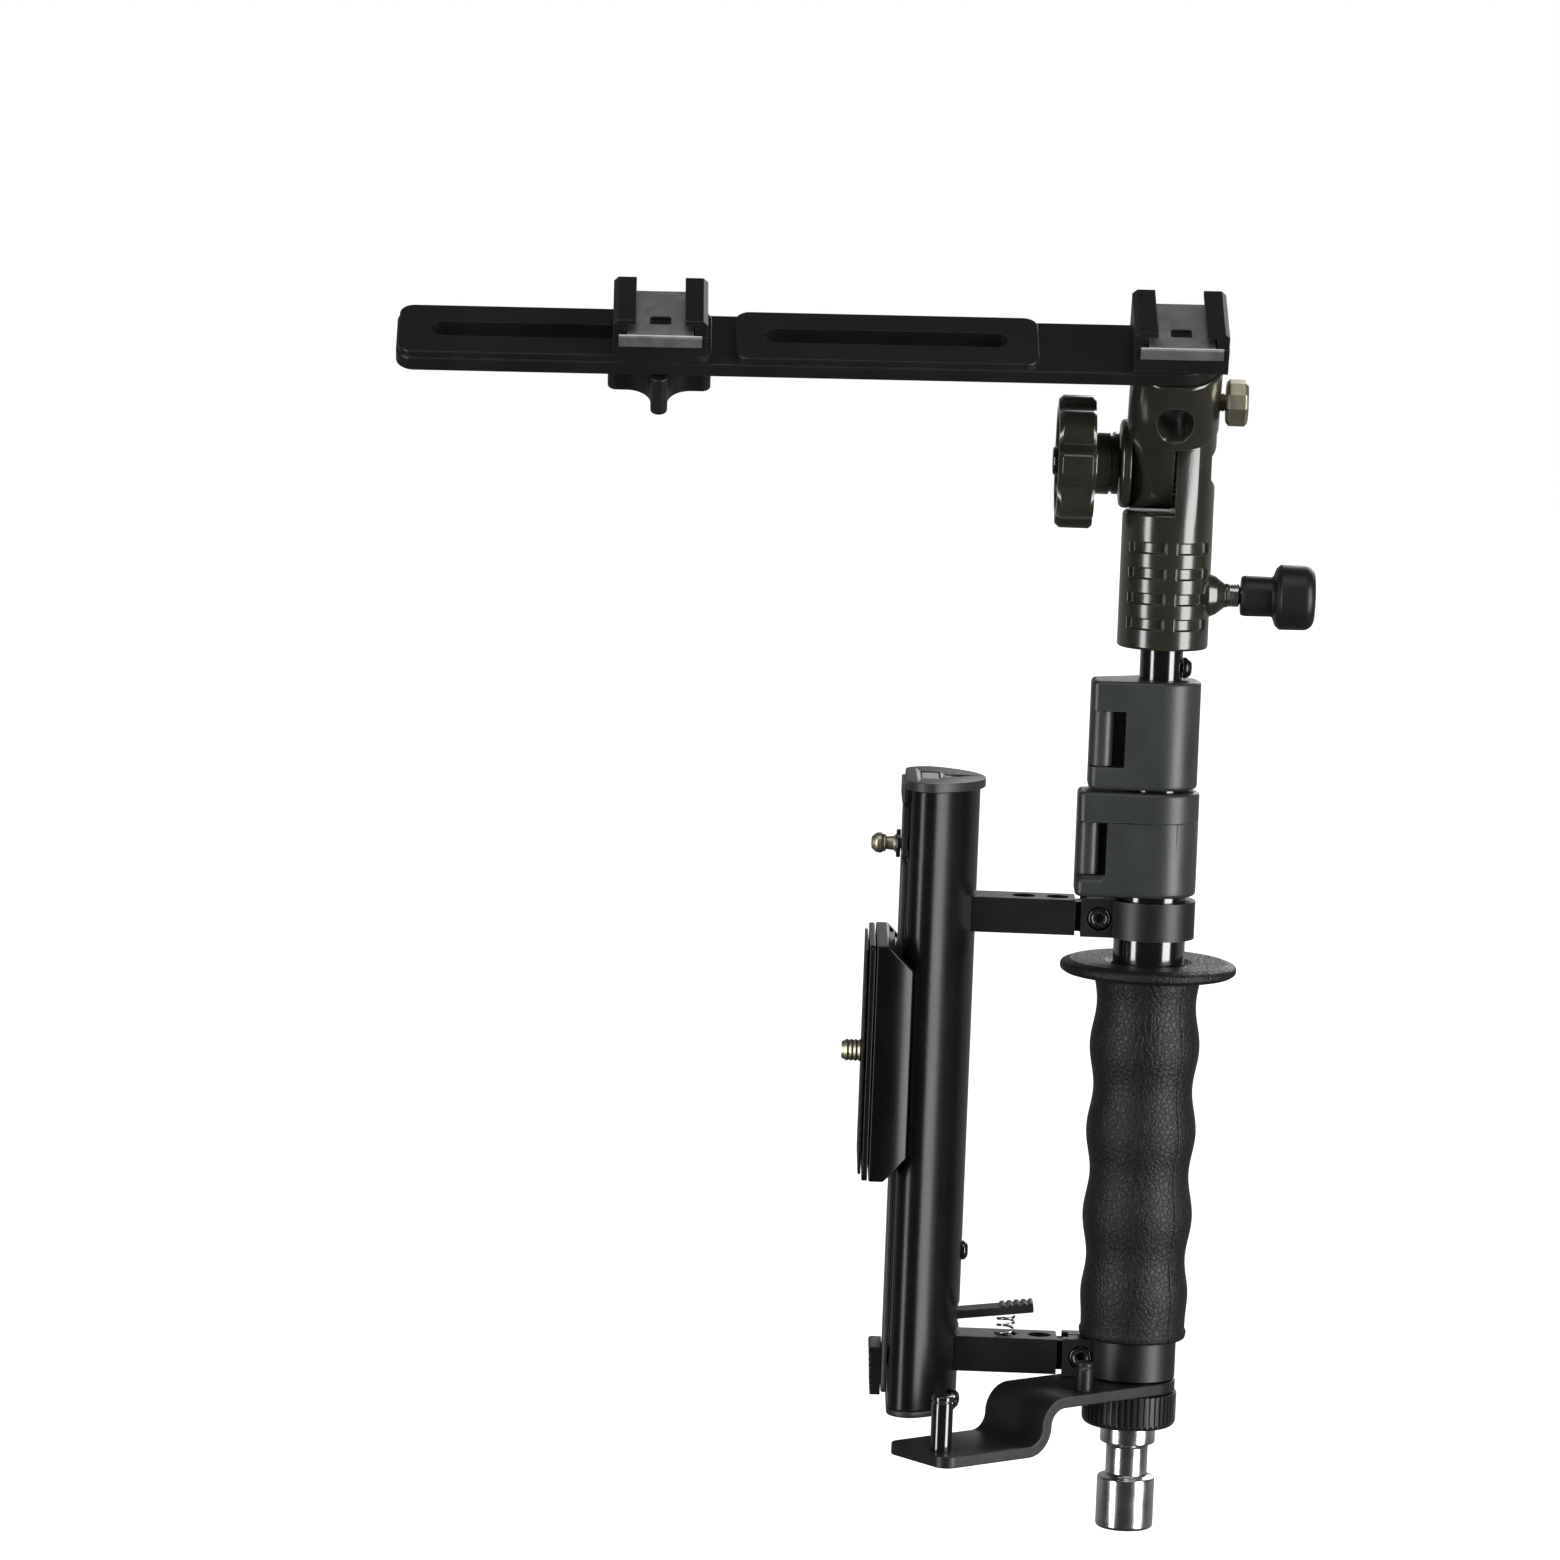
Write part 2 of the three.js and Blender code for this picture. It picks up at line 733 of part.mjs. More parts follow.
function ringClamp(mid_z) {
  const half = clamp_height / 2;
  const bore = tube_radius + pin_gap;
  const outer = bore + clamp_ring_wall;
  const front = clamp_depth / 2;
  const ring = rod(outer, -half, half, 28);
  const block = box(-clamp_left, 0, -front, front, -half, half);
  const slot_end = arm_tang_end - seat_gap;
  const slot_half = arm_tang_depth / 2 + seat_gap;
  const head_seat = front - clamp_screw_inset - clamp_screw_head_height - seat_gap;
  const screw_hole = rod(clamp_screw_radius + seat_gap, -front + clamp_screw_end_wall, front, 16);
  const head_hole = rod(clamp_screw_head_radius + seat_gap, head_seat, front + cut_over, 16);
  return cut(
    join(ring, block),
    rod(bore, -half - cut_over, half + cut_over, 28),
    box(-clamp_left - cut_over, -slot_end, -slot_half, slot_half, -half - cut_over, half + cut_over),
    box(-clamp_left, -bore / 2, -clamp_slit / 2, clamp_slit / 2, -half - cut_over, half + cut_over),
    alongY(screw_hole).translate(-clamp_screw_reach, 0, 0),
    alongY(head_hole).translate(-clamp_screw_reach, 0, 0),
  ).translate(0, 0, mid_z);
}

function clampScrew(mid_z) {
  const front = clamp_depth / 2 - clamp_screw_inset;
  const seat = front - clamp_screw_head_height;
  const dome = clamp_screw_head_height / 3;
  const back = -clamp_depth / 2 + clamp_screw_end_wall + seat_gap;
  const screw = turn([
    [0, back], [clamp_screw_radius, back], [clamp_screw_radius, seat],
    [clamp_screw_head_radius, seat], [clamp_screw_head_radius, front - dome],
    [clamp_screw_head_radius - dome, front], [0, front],
  ], 16);
  const socket = rod(hex_socket_radius, front - hex_socket_depth, front + cut_over, 6);
  return alongY(cut(screw, socket)).translate(-clamp_screw_reach, 0, mid_z);
}

// The square arm from a clamp to the column, with a tenon through the column's wall.
function squareArm(mid_z, spring_seat) {
  const half = arm_height / 2;
  const section = roundedRectangle(-half, half, -arm_depth / 2, arm_depth / 2, arm_edge);
  const bar = slab(section, arm_inner_end, column_reach, 0, 1).rotateY(-Math.PI / 2);
  const tang = box(
    -arm_inner_end - cut_over, -arm_tang_end,
    -arm_tang_depth / 2, arm_tang_depth / 2, -arm_tang_height / 2, arm_tang_height / 2,
  );
  const tenon_end = column_reach - column_nose + column_wall;
  const tenon = alongX(rod(arm_tenon_radius, -tenon_end, -arm_hole_far, 20));
  const seat_z = spring_seat ? half - spring_seat_depth : -half - cut_over;
  return cut(
    join(cut(bar, columnSlab(seat_gap, -arm_height, arm_height)), tang, tenon),
    rod(arm_hole_radius, seat_z, half + cut_over, 20).translate(-arm_hole_far, 0, 0),
    rod(arm_hole_radius, -half - cut_over, half + cut_over, 20).translate(-arm_hole_near, 0, 0),
  ).translate(0, 0, mid_z);
}

// Flip locks. Both are made from one set of sizes each.
const lower_lock = {
  low: lower_lock_z,
  high: lower_lock_z + lower_lock_height,
  radius: lower_lock_radius,
  left: lower_lock_left,
  windowLow: lower_lock_z + lower_window_low,
  windowHigh: lower_lock_z + lower_lock_height - lower_window_high,
  windowLeft: lower_window_left,
  bore: tube_radius + pin_gap,
  throat: mid_tube_radius + pin_gap,
};

const upper_lock = {
  low: upper_lock_z,
  high: upper_lock_top_z,
  radius: upper_lock_radius,
  left: upper_lock_left,
  windowLow: upper_lock_z + upper_window_low,
  windowHigh: upper_lock_top_z - upper_window_high,
  windowLeft: upper_window_left,
  bore: mid_tube_radius + pin_gap,
  throat: inner_tube_radius + pin_gap,
};

function barrelPlace(lock) {
  return [-lock.left + lock_barrel_radius, -lock.radius + lock_barrel_inset + lock_barrel_radius];
}

function lockBody(lock) {
  const [, barrel_y] = barrelPlace(lock);
  const ear_back = barrel_y + lock_barrel_radius + lock_barrel_inset;
  const outline = new THREE.Shape();
  outline.moveTo(-lock.left + lock_corner, -lock.radius);
  outline.absarc(0, 0, lock.radius, -Math.PI / 2, Math.PI * 0.75, false);
  outline.lineTo(-lock.left, ear_back);
  outline.lineTo(-lock.left, -lock.radius + lock_corner);
  outline.absarc(
    -lock.left + lock_corner, -lock.radius + lock_corner,
    lock_corner, Math.PI, Math.PI * 1.5, false,
  );
  const body = slab(outline, lock.low, lock.high, lock_edge, 6);
  const reach = lock.left + cut_over;
  const back = lock.radius + cut_over;
  const behind = cut(
    box(-reach, 0, 0, back, lock.windowLow, lock.windowHigh),
    rod(lock.radius, lock.low, lock.high, 32),
  );
  const [pin_x, pin_y] = barrelPlace(lock);
  const pin_top = lock.windowHigh + lock_pin_cap + seat_gap;
  return cut(
    body,
    box(-reach, -lock.windowLeft, -back, back, lock.windowLow, lock.windowHigh),
    behind,
    rod(lock.bore, lock.low - cut_over, lock.high - lock_throat_height, 28),
    rod(lock.throat, lock.low, lock.high + cut_over, 28),
    rod(lock_pin_radius + pin_gap, lock.low - cut_over, pin_top, 16).translate(pin_x, pin_y, 0),
  );
}

// The lever's knuckle fills the window, and its blade wraps round behind the pole.
function lockLever(lock) {
  const [pin_x, pin_y] = barrelPlace(lock);
  const low = lock.windowLow + seat_gap;
  const high = lock.windowHigh - seat_gap;
  const side_x = -lock.left + lever_thickness / 2;
  const wrap = lock.radius + slide_gap + lever_thickness / 2;
  const angle = THREE.MathUtils.degToRad(lever_wrap_start_deg);
  const [join_x, join_y] = [wrap * Math.cos(angle), wrap * Math.sin(angle)];
  const bend = new THREE.CubicBezierCurve(
    new THREE.Vector2(side_x, 0),
    new THREE.Vector2(side_x, lever_bend_radius * 1.6),
    new THREE.Vector2(
      join_x - Math.sin(angle) * lever_bend_radius,
      join_y + Math.cos(angle) * lever_bend_radius,
    ),
    new THREE.Vector2(join_x, join_y),
  );
  const line = [
    [side_x, pin_y],
    ...bend.getPoints(6).map((point) => [point.x, point.y]),
    ...arcPoints(0, 0, wrap, lever_wrap_start_deg, lever_end_deg, 6).slice(1),
  ];
  const blade = slab(stripOutline(line, lever_thickness), low, high);
  const knuckle = rod(lock_barrel_radius, low, high, 24).translate(pin_x, pin_y, 0);
  const hole = rod(lock_pin_radius + pin_gap, lock.low, lock.high, 16);
  return cut(join(blade, knuckle), hole.translate(pin_x, pin_y, 0));
}

function lockPin(lock) {
  const [pin_x, pin_y] = barrelPlace(lock);
  const top = lock.windowHigh + lock_pin_cap;
  return rod(lock_pin_radius, lock.low + lock_edge, top, 16).translate(pin_x, pin_y, 0);
}

// Telescoping tubes, each with a guide bush under its lower end

function midTube() {
  return pipe(mid_tube_radius, mid_tube_radius - mid_tube_wall, mid_tube_low_z, mid_tube_top_z);
}

function midTubeBush() {
  const outer = tube_radius - tube_wall - pin_gap;
  const inner = mid_tube_radius - mid_tube_wall;
  return pipe(outer, inner, mid_tube_low_z - seat_gap - bush_height, mid_tube_low_z - seat_gap);
}

function innerTube() {
  const side_hole = rod(
    spigot_screw_shank + pin_gap, inner_tube_radius - spigot_screw_depth,
    inner_tube_radius + cut_over, 16,
  );
  return cut(
    turn([
      [0, socket_z - spigot_show], [inner_tube_radius - inner_tube_wall, socket_z - spigot_show],
      [inner_tube_radius - inner_tube_wall, inner_tube_low_z],
      [inner_tube_radius, inner_tube_low_z], [inner_tube_radius, inner_tube_top_z - stud_chamfer],
      [inner_tube_radius - stud_chamfer, inner_tube_top_z], [0, inner_tube_top_z],
    ]),
    alongX(side_hole).translate(0, 0, spigot_screw_z),
  );
}

function innerTubeBush() {
  const outer = mid_tube_radius - mid_tube_wall - pin_gap;
  const inner = inner_tube_radius - inner_tube_wall;
  const top = inner_tube_low_z - seat_gap;
  return pipe(outer, inner, top - bush_height, top);
}

// A low domed screw head on a thin shank, its head on positive Z.
function domeScrew(head_radius, dome, shank_radius, depth) {
  return turn([
    [0, -depth], [shank_radius, -depth], [shank_radius, 0], [head_radius, 0],
    [head_radius, dome / 4], [head_radius * 0.8, dome * 0.7], [head_radius * 0.4, dome], [0, dome],
  ], 16);
}

function spigotScrew() {
  const depth = spigot_screw_depth - seat_gap;
  const screw = domeScrew(spigot_screw_radius, spigot_screw_dome, spigot_screw_shank, depth);
  return alongX(screw).translate(inner_tube_radius + seat_gap, 0, spigot_screw_z);
}

// Socket and its clamp screw

function socketBody() {
  const r = socket_radius;
  const inner = r - socket_groove_depth;
  const shoulder = socket_shoulder_z - socket_z;
  const profile = [[0, 0], [r - socket_edge, 0], [r, socket_edge]];
  for (let i = 0; i < socket_grooves; i += 1) {
    const low = socket_first_groove + i * socket_groove_pitch;
    const high = low + socket_groove_height;
    profile.push([r, low], [inner, low], [inner, high], [r, high]);
  }
  profile.push([r, shoulder - socket_edge], [r - socket_edge, shoulder], [0, shoulder]);
  const ribs_low = socket_first_groove - socket_edge;
  const ribs_high = socket_first_groove + socket_grooves * socket_groove_pitch;
  const half_rib = socket_rib_width / 2;
  const ribs = common(
    rod(r, ribs_low, ribs_high, 28),
    join(
      box(-half_rib, half_rib, -r, r, ribs_low, ribs_high),
      box(-r, r, -socket_rib_width * 1.5, socket_rib_width * 1.5, ribs_low, ribs_high),
    ),
  );
  const ear_high = tilt_axis_rise + socket_ear_radius;
  const ear = common(
    common(
      rod(r, shoulder - socket_edge, ear_high, 28),
      box(socket_ear_face, r, -r, r, 0, ear_high + cut_over),
    ),
    join(
      box(-r, r + cut_over, -r - cut_over, r + cut_over, 0, tilt_axis_rise),
      alongX(rod(socket_ear_radius, -r, r + cut_over, 28)).translate(0, 0, tilt_axis_rise),
    ),
  );
  const boss = alongX(turn([
    [0, inner_tube_radius + seat_gap], [boss_root_radius, inner_tube_radius + seat_gap],
    [boss_root_radius, r - socket_edge],
    [(boss_root_radius + boss_tip_radius) / 2, boss_reach - socket_edge * 2],
    [boss_tip_radius, boss_reach], [0, boss_reach],
  ], 20)).translate(0, 0, boss_rise);
  const bolt_hole = rod(tilt_bolt_radius + seat_gap, 0, r + cut_over, 24);
  const hex_low = tilt_bolt_head_reach - tilt_bolt_head_length - seat_gap;
  const hex_pocket = rod(tilt_bolt_head_radius + seat_gap, hex_low, r + cut_over, 6);
  return cut(
    join(turn(profile, 28), ribs, ear, boss),
    rod(inner_tube_radius + seat_gap, -cut_over, inner_tube_in_socket + seat_gap, 24),
    alongX(rod(socket_screw_radius + pin_gap, 0, boss_reach + cut_over, 16)).translate(0, 0, boss_rise),
    alongX(bolt_hole).translate(0, 0, tilt_axis_rise),
    alongX(hex_pocket).translate(0, 0, tilt_axis_rise),
  ).translate(0, 0, socket_z);
}

function socketScrew() {
  const start = inner_tube_radius + seat_gap + pin_gap;
  const end = boss_reach + socket_screw_show + socket_hub_length / 2;
  return alongX(rod(socket_screw_radius, start, end, 20)).translate(0, 0, socket_z + boss_rise);
}

function socketKnob() {
  const start = boss_reach + socket_screw_show;
  const neck = start + socket_hub_length;
  const end = neck + socket_knob_length;
  const e = socket_knob_edge;
  const hole = socket_screw_radius + pin_gap;
  const hole_end = start + socket_hub_length / 2 + seat_gap;
  return alongX(turn([
    [hole, start], [socket_hub_radius, start], [socket_hub_radius, neck],
    [socket_knob_radius - e / 3, neck], [socket_knob_radius, neck + e / 3],
    [socket_knob_radius, end - e], [socket_knob_radius - e * 0.3, end - e * 0.3],
    [socket_knob_radius - e, end], [0, end], [0, hole_end], [hole, hole_end],
  ], 28)).translate(0, 0, socket_z + boss_rise);
}

// Tilting head. Its own Z runs up its axis from the tilt axis.

function tiltHead() {
  const r = socket_radius;
  const barrel = turn([
    [0, head_neck_height], [r, head_neck_height], [r, head_height - head_edge],
    [r - head_edge, head_height], [0, head_height],
  ], 28);
  const neck = common(
    rod(r, 0, head_neck_height + cut_over, 28),
    box(
      -r - cut_over, head_ear_face, -socket_ear_radius, socket_ear_radius,
      0, head_neck_height + cut_over,
    ),
  );
  const disc = alongX(turn([
    [0, -head_ear_reach], [socket_ear_radius - head_edge, -head_ear_reach],
    [socket_ear_radius, head_edge - head_ear_reach], [socket_ear_radius, head_ear_face],
    [0, head_ear_face],
  ], 28));
  const umbrella = turn([
    [0, -r - cut_over], [umbrella_mouth_radius, -r - cut_over],
    [umbrella_mouth_radius, -r], [umbrella_hole_radius, -r + umbrella_mouth_depth],
    [umbrella_hole_radius, r - umbrella_mouth_depth], [umbrella_mouth_radius, r],
    [umbrella_mouth_radius, r + cut_over], [0, r + cut_over],
  ], 24);
  const screw_hole = rod(umbrella_screw_radius + pin_gap, 0, r + cut_over, 16);
  return cut(
    join(barrel, neck, disc),
    alongY(umbrella).translate(0, 0, umbrella_hole_height),
    alongX(screw_hole).translate(0, 0, umbrella_hole_height),
    alongX(rod(tilt_bolt_radius + seat_gap, -r - 2 * cut_over, r, 24)),
    rod(arm_screw_radius + pin_gap, head_height - arm_screw_depth, head_height + cut_over, 20),
  );
}

function tiltBolt() {
  const knob_face = head_ear_reach + seat_gap + tilt_hub_length + tilt_knob_thickness;
  const tip = -knob_face - tilt_bolt_show;
  const seat = tilt_bolt_head_reach - tilt_bolt_head_length;
  const shank = turn([
    [0, tip], [tilt_bolt_radius - stud_chamfer, tip], [tilt_bolt_radius, tip + stud_chamfer],
    [tilt_bolt_radius, seat + cut_over], [0, seat + cut_over],
  ], 24);
  const head = rod(tilt_bolt_head_radius, seat, tilt_bolt_head_reach, 6);
  return alongX(join(shank, head)).translate(0, 0, tilt_z);
}

function tiltKnob() {
  const points = [];
  const steps = tilt_knob_lobes * 6;
  for (let i = 0; i < steps; i += 1) {
    const angle = 2 * Math.PI * i / steps;
    const valley = (1 - Math.cos(tilt_knob_lobes * angle)) / 2;
    const radius = tilt_knob_radius - tilt_knob_dip * valley ** 2;
    points.push([radius * Math.cos(angle), radius * Math.sin(angle)]);
  }
  const far = -head_ear_reach - seat_gap - tilt_hub_length - tilt_knob_thickness;
  const near = far + tilt_knob_thickness;
  const disc = slab(polygon(points), far, near, tilt_knob_edge);
  const hub = rod(tilt_hub_radius, near - cut_over, near + tilt_hub_length, 28);
  const recess = pipe(
    tilt_knob_recess_radius, tilt_knob_boss_radius, far - cut_over, far + tilt_knob_recess, 32,
  );
  const bore = rod(tilt_bolt_radius + seat_gap, far - cut_over, 0, 24);
  return alongX(cut(join(disc, hub), recess, bore)).translate(0, 0, tilt_z);
}

function umbrellaScrew() {
  const start = umbrella_hole_radius + seat_gap;
  const neck = socket_radius + umbrella_screw_neck;
  const shank = rod(umbrella_screw_radius, start, neck + cut_over, 16);
  const head = slab(
    evenOutline(umbrella_head_radius, umbrella_head_sides),
    neck, neck + umbrella_head_length, head_edge / 2,
  );
  return alongX(join(shank, head)).translate(0, 0, umbrella_hole_height);
}

// Flash arm. Its own Z is the head's axis and its length runs to negative X.

function flashArm() {
  const half = flash_arm_width / 2;
  const left = -flash_arm_left;
  const c = flash_arm_corner;
  const outline = new THREE.Shape();
  outline.moveTo(left + c, -half);
  outline.absarc(0, 0, half, -Math.PI / 2, Math.PI / 2, false);
  outline.absarc(left + c, half - c, c, Math.PI / 2, Math.PI, false);
  outline.absarc(left + c, -half + c, c, Math.PI, 1.5 * Math.PI, false);
  const strip = slab(outline, flash_arm_low, flash_arm_high, flash_arm_edge, 4);
  const raised = (x0, x1) => slab(
    roundedRectangle(x0, x1, -half + plate_inset, half - plate_inset, plate_corner),
    flash_arm_low + cut_over, plate_high, plate_edge, 3,
  );
  const slot = (x0, x1) => slab(
    roundedRectangle(x0, x1, -slot_width / 2, slot_width / 2, slot_width / 2),
    flash_arm_low - cut_over, plate_high + cut_over, 0, 3,
  );
  return cut(
    join(
      strip,
      raised(left + plate_inset, -outer_plate_right),
      raised(-inner_plate_left, -inner_plate_right),
    ),
    slot(-outer_slot_left, -outer_slot_right),
    slot(-inner_slot_left, -inner_slot_right),
    rod(arm_screw_radius + pin_gap, flash_arm_low - cut_over, plate_high, 20),
  );
}

function armScrew() {
  const foot = head_height - arm_screw_depth + seat_gap;
  const seat = flash_arm_high + seat_gap;
  const top = seat + arm_screw_head_height;
  return cut(
    turn([
      [0, foot], [arm_screw_radius, foot], [arm_screw_radius, seat],
      [arm_screw_head_radius, seat], [arm_screw_head_radius, top], [0, top],
    ], 20),
    rod(hex_socket_radius, top - hex_socket_depth, top + cut_over, 6),
  );
}

function accessoryShoe(floor, base_z, head_radius, head_height_inside) {
  const half = shoe_width / 2;
  const channel = shoe_channel_width / 2;
  const lip = shoe_lip_gap / 2;
  const under = floor + shoe_channel_height;
  const top = under + shoe_lip_thickness;
  const c = shoe_chamfer;
  const section = polygon([
    [-half, 0], [half, 0], [half, top - c], [half - c, top], [lip, top], [lip, under],
    [channel, under], [channel, floor], [-channel, floor], [-channel, under],
    [-lip, under], [-lip, top], [-half + c, top], [-half, top - c],
  ]);
  const body = sideSlab(section, shoe_depth).translate(0, shoe_depth / 2 - shoe_front, 0);
  const recess = rod(head_radius + pin_gap, -cut_over, head_height_inside + seat_gap, 16);
  return cut(body, recess).translate(0, 0, base_z);
}

function shoeSpring(floor, base_z) {
  const low = floor + seat_gap;
  const high = low + spring_plate_thickness;
  const lip_back = -shoe_front - seat_gap;
  const lip_front = lip_back - spring_plate_thickness;
  const plate_half = spring_plate_width / 2;
  const lip_half = spring_lip_width / 2;
  const back = shoe_depth - shoe_front - shoe_chamfer;
  return cut(
    join(
      box(-plate_half, plate_half, lip_front, back, low, high),
      box(-lip_half, lip_half, lip_front, lip_back, high - spring_lip_height, high),
    ),
    box(
      -spring_hole_width / 2, spring_hole_width / 2,
      -spring_hole_back - spring_hole_depth / 2, -spring_hole_back + spring_hole_depth / 2,
      low - cut_over, high + cut_over,
    ),
  ).translate(0, 0, base_z);
}

function slideShoeScrew() {
  const seat = plate_high + seat_gap;
  const foot = flash_arm_low - seat_gap - wing_height + wing_floor + seat_gap;
  return turn([
    [0, foot], [slide_screw_radius, foot], [slide_screw_radius, seat],
    [slide_screw_head_radius, seat], [slide_screw_head_radius, seat + slide_screw_head_height],
    [0, seat + slide_screw_head_height],
  ], 16);
}

function wingKnob() {
  const half = wing_thickness / 2;
  const inner = half + wing_fillet;
  const points = [];
  for (let k = 0; k < wing_count; k += 1) {
    const turned = (2 * Math.PI * k) / wing_count;
    const spin = ([x, y]) => [
      x * Math.cos(turned) - y * Math.sin(turned),
      x * Math.sin(turned) + y * Math.cos(turned),
    ];
    points.push(...arcPoints(wing_span_radius - half, 0, half, -90, 90, 5).map(spin));
    points.push(...arcPoints(inner, inner, wing_fillet, 270, 180, 5).map(spin));
  }
  const top = flash_arm_low - seat_gap;
  const low = top - wing_height;
  return cut(
    slab(polygon(points), low, top, stud_chamfer),
    rod(slide_screw_radius + pin_gap, low + wing_floor, top + cut_over, 20),
  );
}

// Camera column. Its own axis stands where the rounded nose meets the straight sides.

function columnOutline(grow) {
  const shape = new THREE.Shape();
  const half = column_half_depth - column_corner;
  const corner = column_corner + grow;
  shape.absellipse(
    0, 0, column_nose + grow, column_half_depth + grow, -Math.PI / 2, Math.PI / 2, false, 0,
  );
  shape.absarc(0, half, corner, Math.PI / 2, Math.PI, false);
  shape.absarc(0, -half, corner, Math.PI, 1.5 * Math.PI, false);
  return shape;
}

function columnSlab(grow, z0, z1) {
  return slab(columnOutline(grow), z0, z1, 0, 5).translate(-column_reach, 0, 0);
}

// Points a shape made about Z out of the column's nose, square to it at the given angle.
function outOfNose(geometry, angle_deg, z) {
  const angle = THREE.MathUtils.degToRad(angle_deg);
  const across = column_nose * Math.cos(angle);
  const along = column_half_depth * Math.sin(angle);
  const reach = Math.hypot(across, along);
  return alongX(geometry).rotateZ(angle).translate(
    column_nose * across / reach - column_reach, column_half_depth * along / reach, z,
  );
}

function columnTube() {
  const low = column_low_z + bottom_cap_thickness + seat_gap;
  const high = column_high_z - top_cap_thickness - seat_gap;
  const side_hole = () => rod(side_screw_shank + pin_gap, -column_wall * 2, column_wall, 16);
  const tenon_hole = (z) => alongX(
    rod(arm_tenon_radius + pin_gap, -column_reach, -arm_hole_far, 20),
  ).translate(0, 0, z);
  const lever_half = lever_blade_width / 2 + slide_gap;
  const wall_x = column_flat - column_wall;
  return cut(
    columnSlab(0, low, high),
    columnSlab(-column_wall, low - cut_over, high + cut_over),
    tenon_hole(lower_clamp_mid_z),
    tenon_hole(upper_clamp_mid_z),
    outOfNose(side_hole(), 0, upper_side_screw_z),
    outOfNose(side_hole(), lower_side_screw_deg, lower_side_screw_z),
    box(
      -column_reach, -arm_hole_far, -lever_half, lever_half,
      lever_window_z - lever_window_half_height, lever_window_z + lever_window_half_height,
    ),
    latchSlot(-column_flat - cut_over, -wall_x + cut_over),
    ballHole(),
  );
}

function latchSlot(x0, x1) {
  const half = latch_stem_half_width + pin_gap;
  const low = latch_low_z + latch_stem_rise - latch_travel - seat_gap;
  const high = latch_low_z + latch_stem_rise + latch_stem_height + seat_gap;
  return box(x0, x1, -half, half, low, high);
}

function columnBottomCap() {
  const plug_high = column_low_z + bottom_cap_thickness + cap_plug_height;
  const hole = rod(side_screw_shank + pin_gap, -side_screw_depth - seat_gap, column_wall, 16);
  return cut(
    join(
      columnSlab(0, column_low_z, column_low_z + bottom_cap_thickness),
      columnSlab(-column_wall - seat_gap, column_low_z + seat_gap, plug_high),
    ),
    outOfNose(hole, lower_side_screw_deg, lower_side_screw_z),
    latchSlot(-column_flat, -column_flat + latch_stem_reach + slide_gap),
  );
}

function windowBox(grow, z0, z1) {
  const left = -column_flat + window_offset;
  return box(
    left - grow, left + window_width + grow,
    -window_length / 2 - grow, window_length / 2 + grow, z0, z1,
  );
}

function columnTopCap() {
  const low = column_high_z - top_cap_thickness;
  const over = top_cap_overhang;
  const rim = slab(columnOutline(over), low, column_high_z, stud_chamfer, 5);
  const lip_right = -column_flat - seat_gap;
  return cut(
    join(
      rim.translate(-column_reach, 0, 0),
      columnSlab(-column_wall - seat_gap, low - cap_plug_height, low + 2 * stud_chamfer),
      box(
        lip_right - cap_lip_thickness, lip_right, -cap_lip_half_width, cap_lip_half_width,
        low - cap_lip_height, low + 2 * stud_chamfer,
      ),
    ),
    windowBox(0, column_high_z - window_depth, column_high_z + cut_over),
  );
}

function capWindow() {
  const low = column_high_z - window_depth + seat_gap;
  return windowBox(-seat_gap, low, column_high_z - seat_gap);
}

function railPlate() {
  const outline = roundedRectangle(
    rail_low_z, rail_high_z, -rail_half_width, rail_half_width, rail_half_width,
  );
  const plate = slab(outline, column_flat + seat_gap, rail_face, 0, 3).rotateY(-Math.PI / 2);
  return cut(plate, latchSlot(-rail_face - cut_over, -column_flat));
}

function railEndBlock() {
  const low = rail_high_z + seat_gap;
  const back = -column_flat - seat_gap;
  return cut(
    box(-rail_face, back, -rail_end_half_width, rail_end_half_width, low, low + rail_end_height),
    ballHole(),
  );
}

function ballHole() {
  const hole = rod(ball_shank_radius + pin_gap, -rail_face - cut_over, -column_reach, 16);
  return alongX(hole).translate(0, 0, ball_z);
}

function ballWasher() {
  const face = rail_face + seat_gap;
  return alongX(pipe(
    ball_washer_radius, ball_neck_radius + pin_gap, -face - ball_washer_thickness, -face, 20,
  )).translate(0, 0, ball_z);
}

function ballStud() {
  const shoulder = -rail_face - seat_gap - ball_washer_thickness;
  const neck = shoulder - ball_neck_length;
  const tip = neck - ball_length;
  const back = -column_flat + column_wall;
  const r = ball_radius;
  return alongX(turn([
    [0, tip], [r * 0.55, tip + r * 0.12], [r * 0.9, tip + r * 0.5], [r, tip + r * 0.95],
    [r * 0.92, neck], [ball_neck_radius, neck], [ball_neck_radius, shoulder + ball_washer_thickness],
    [ball_shank_radius, shoulder + ball_washer_thickness], [ball_shank_radius, back], [0, back],
  ], 20)).translate(0, 0, ball_z);
}

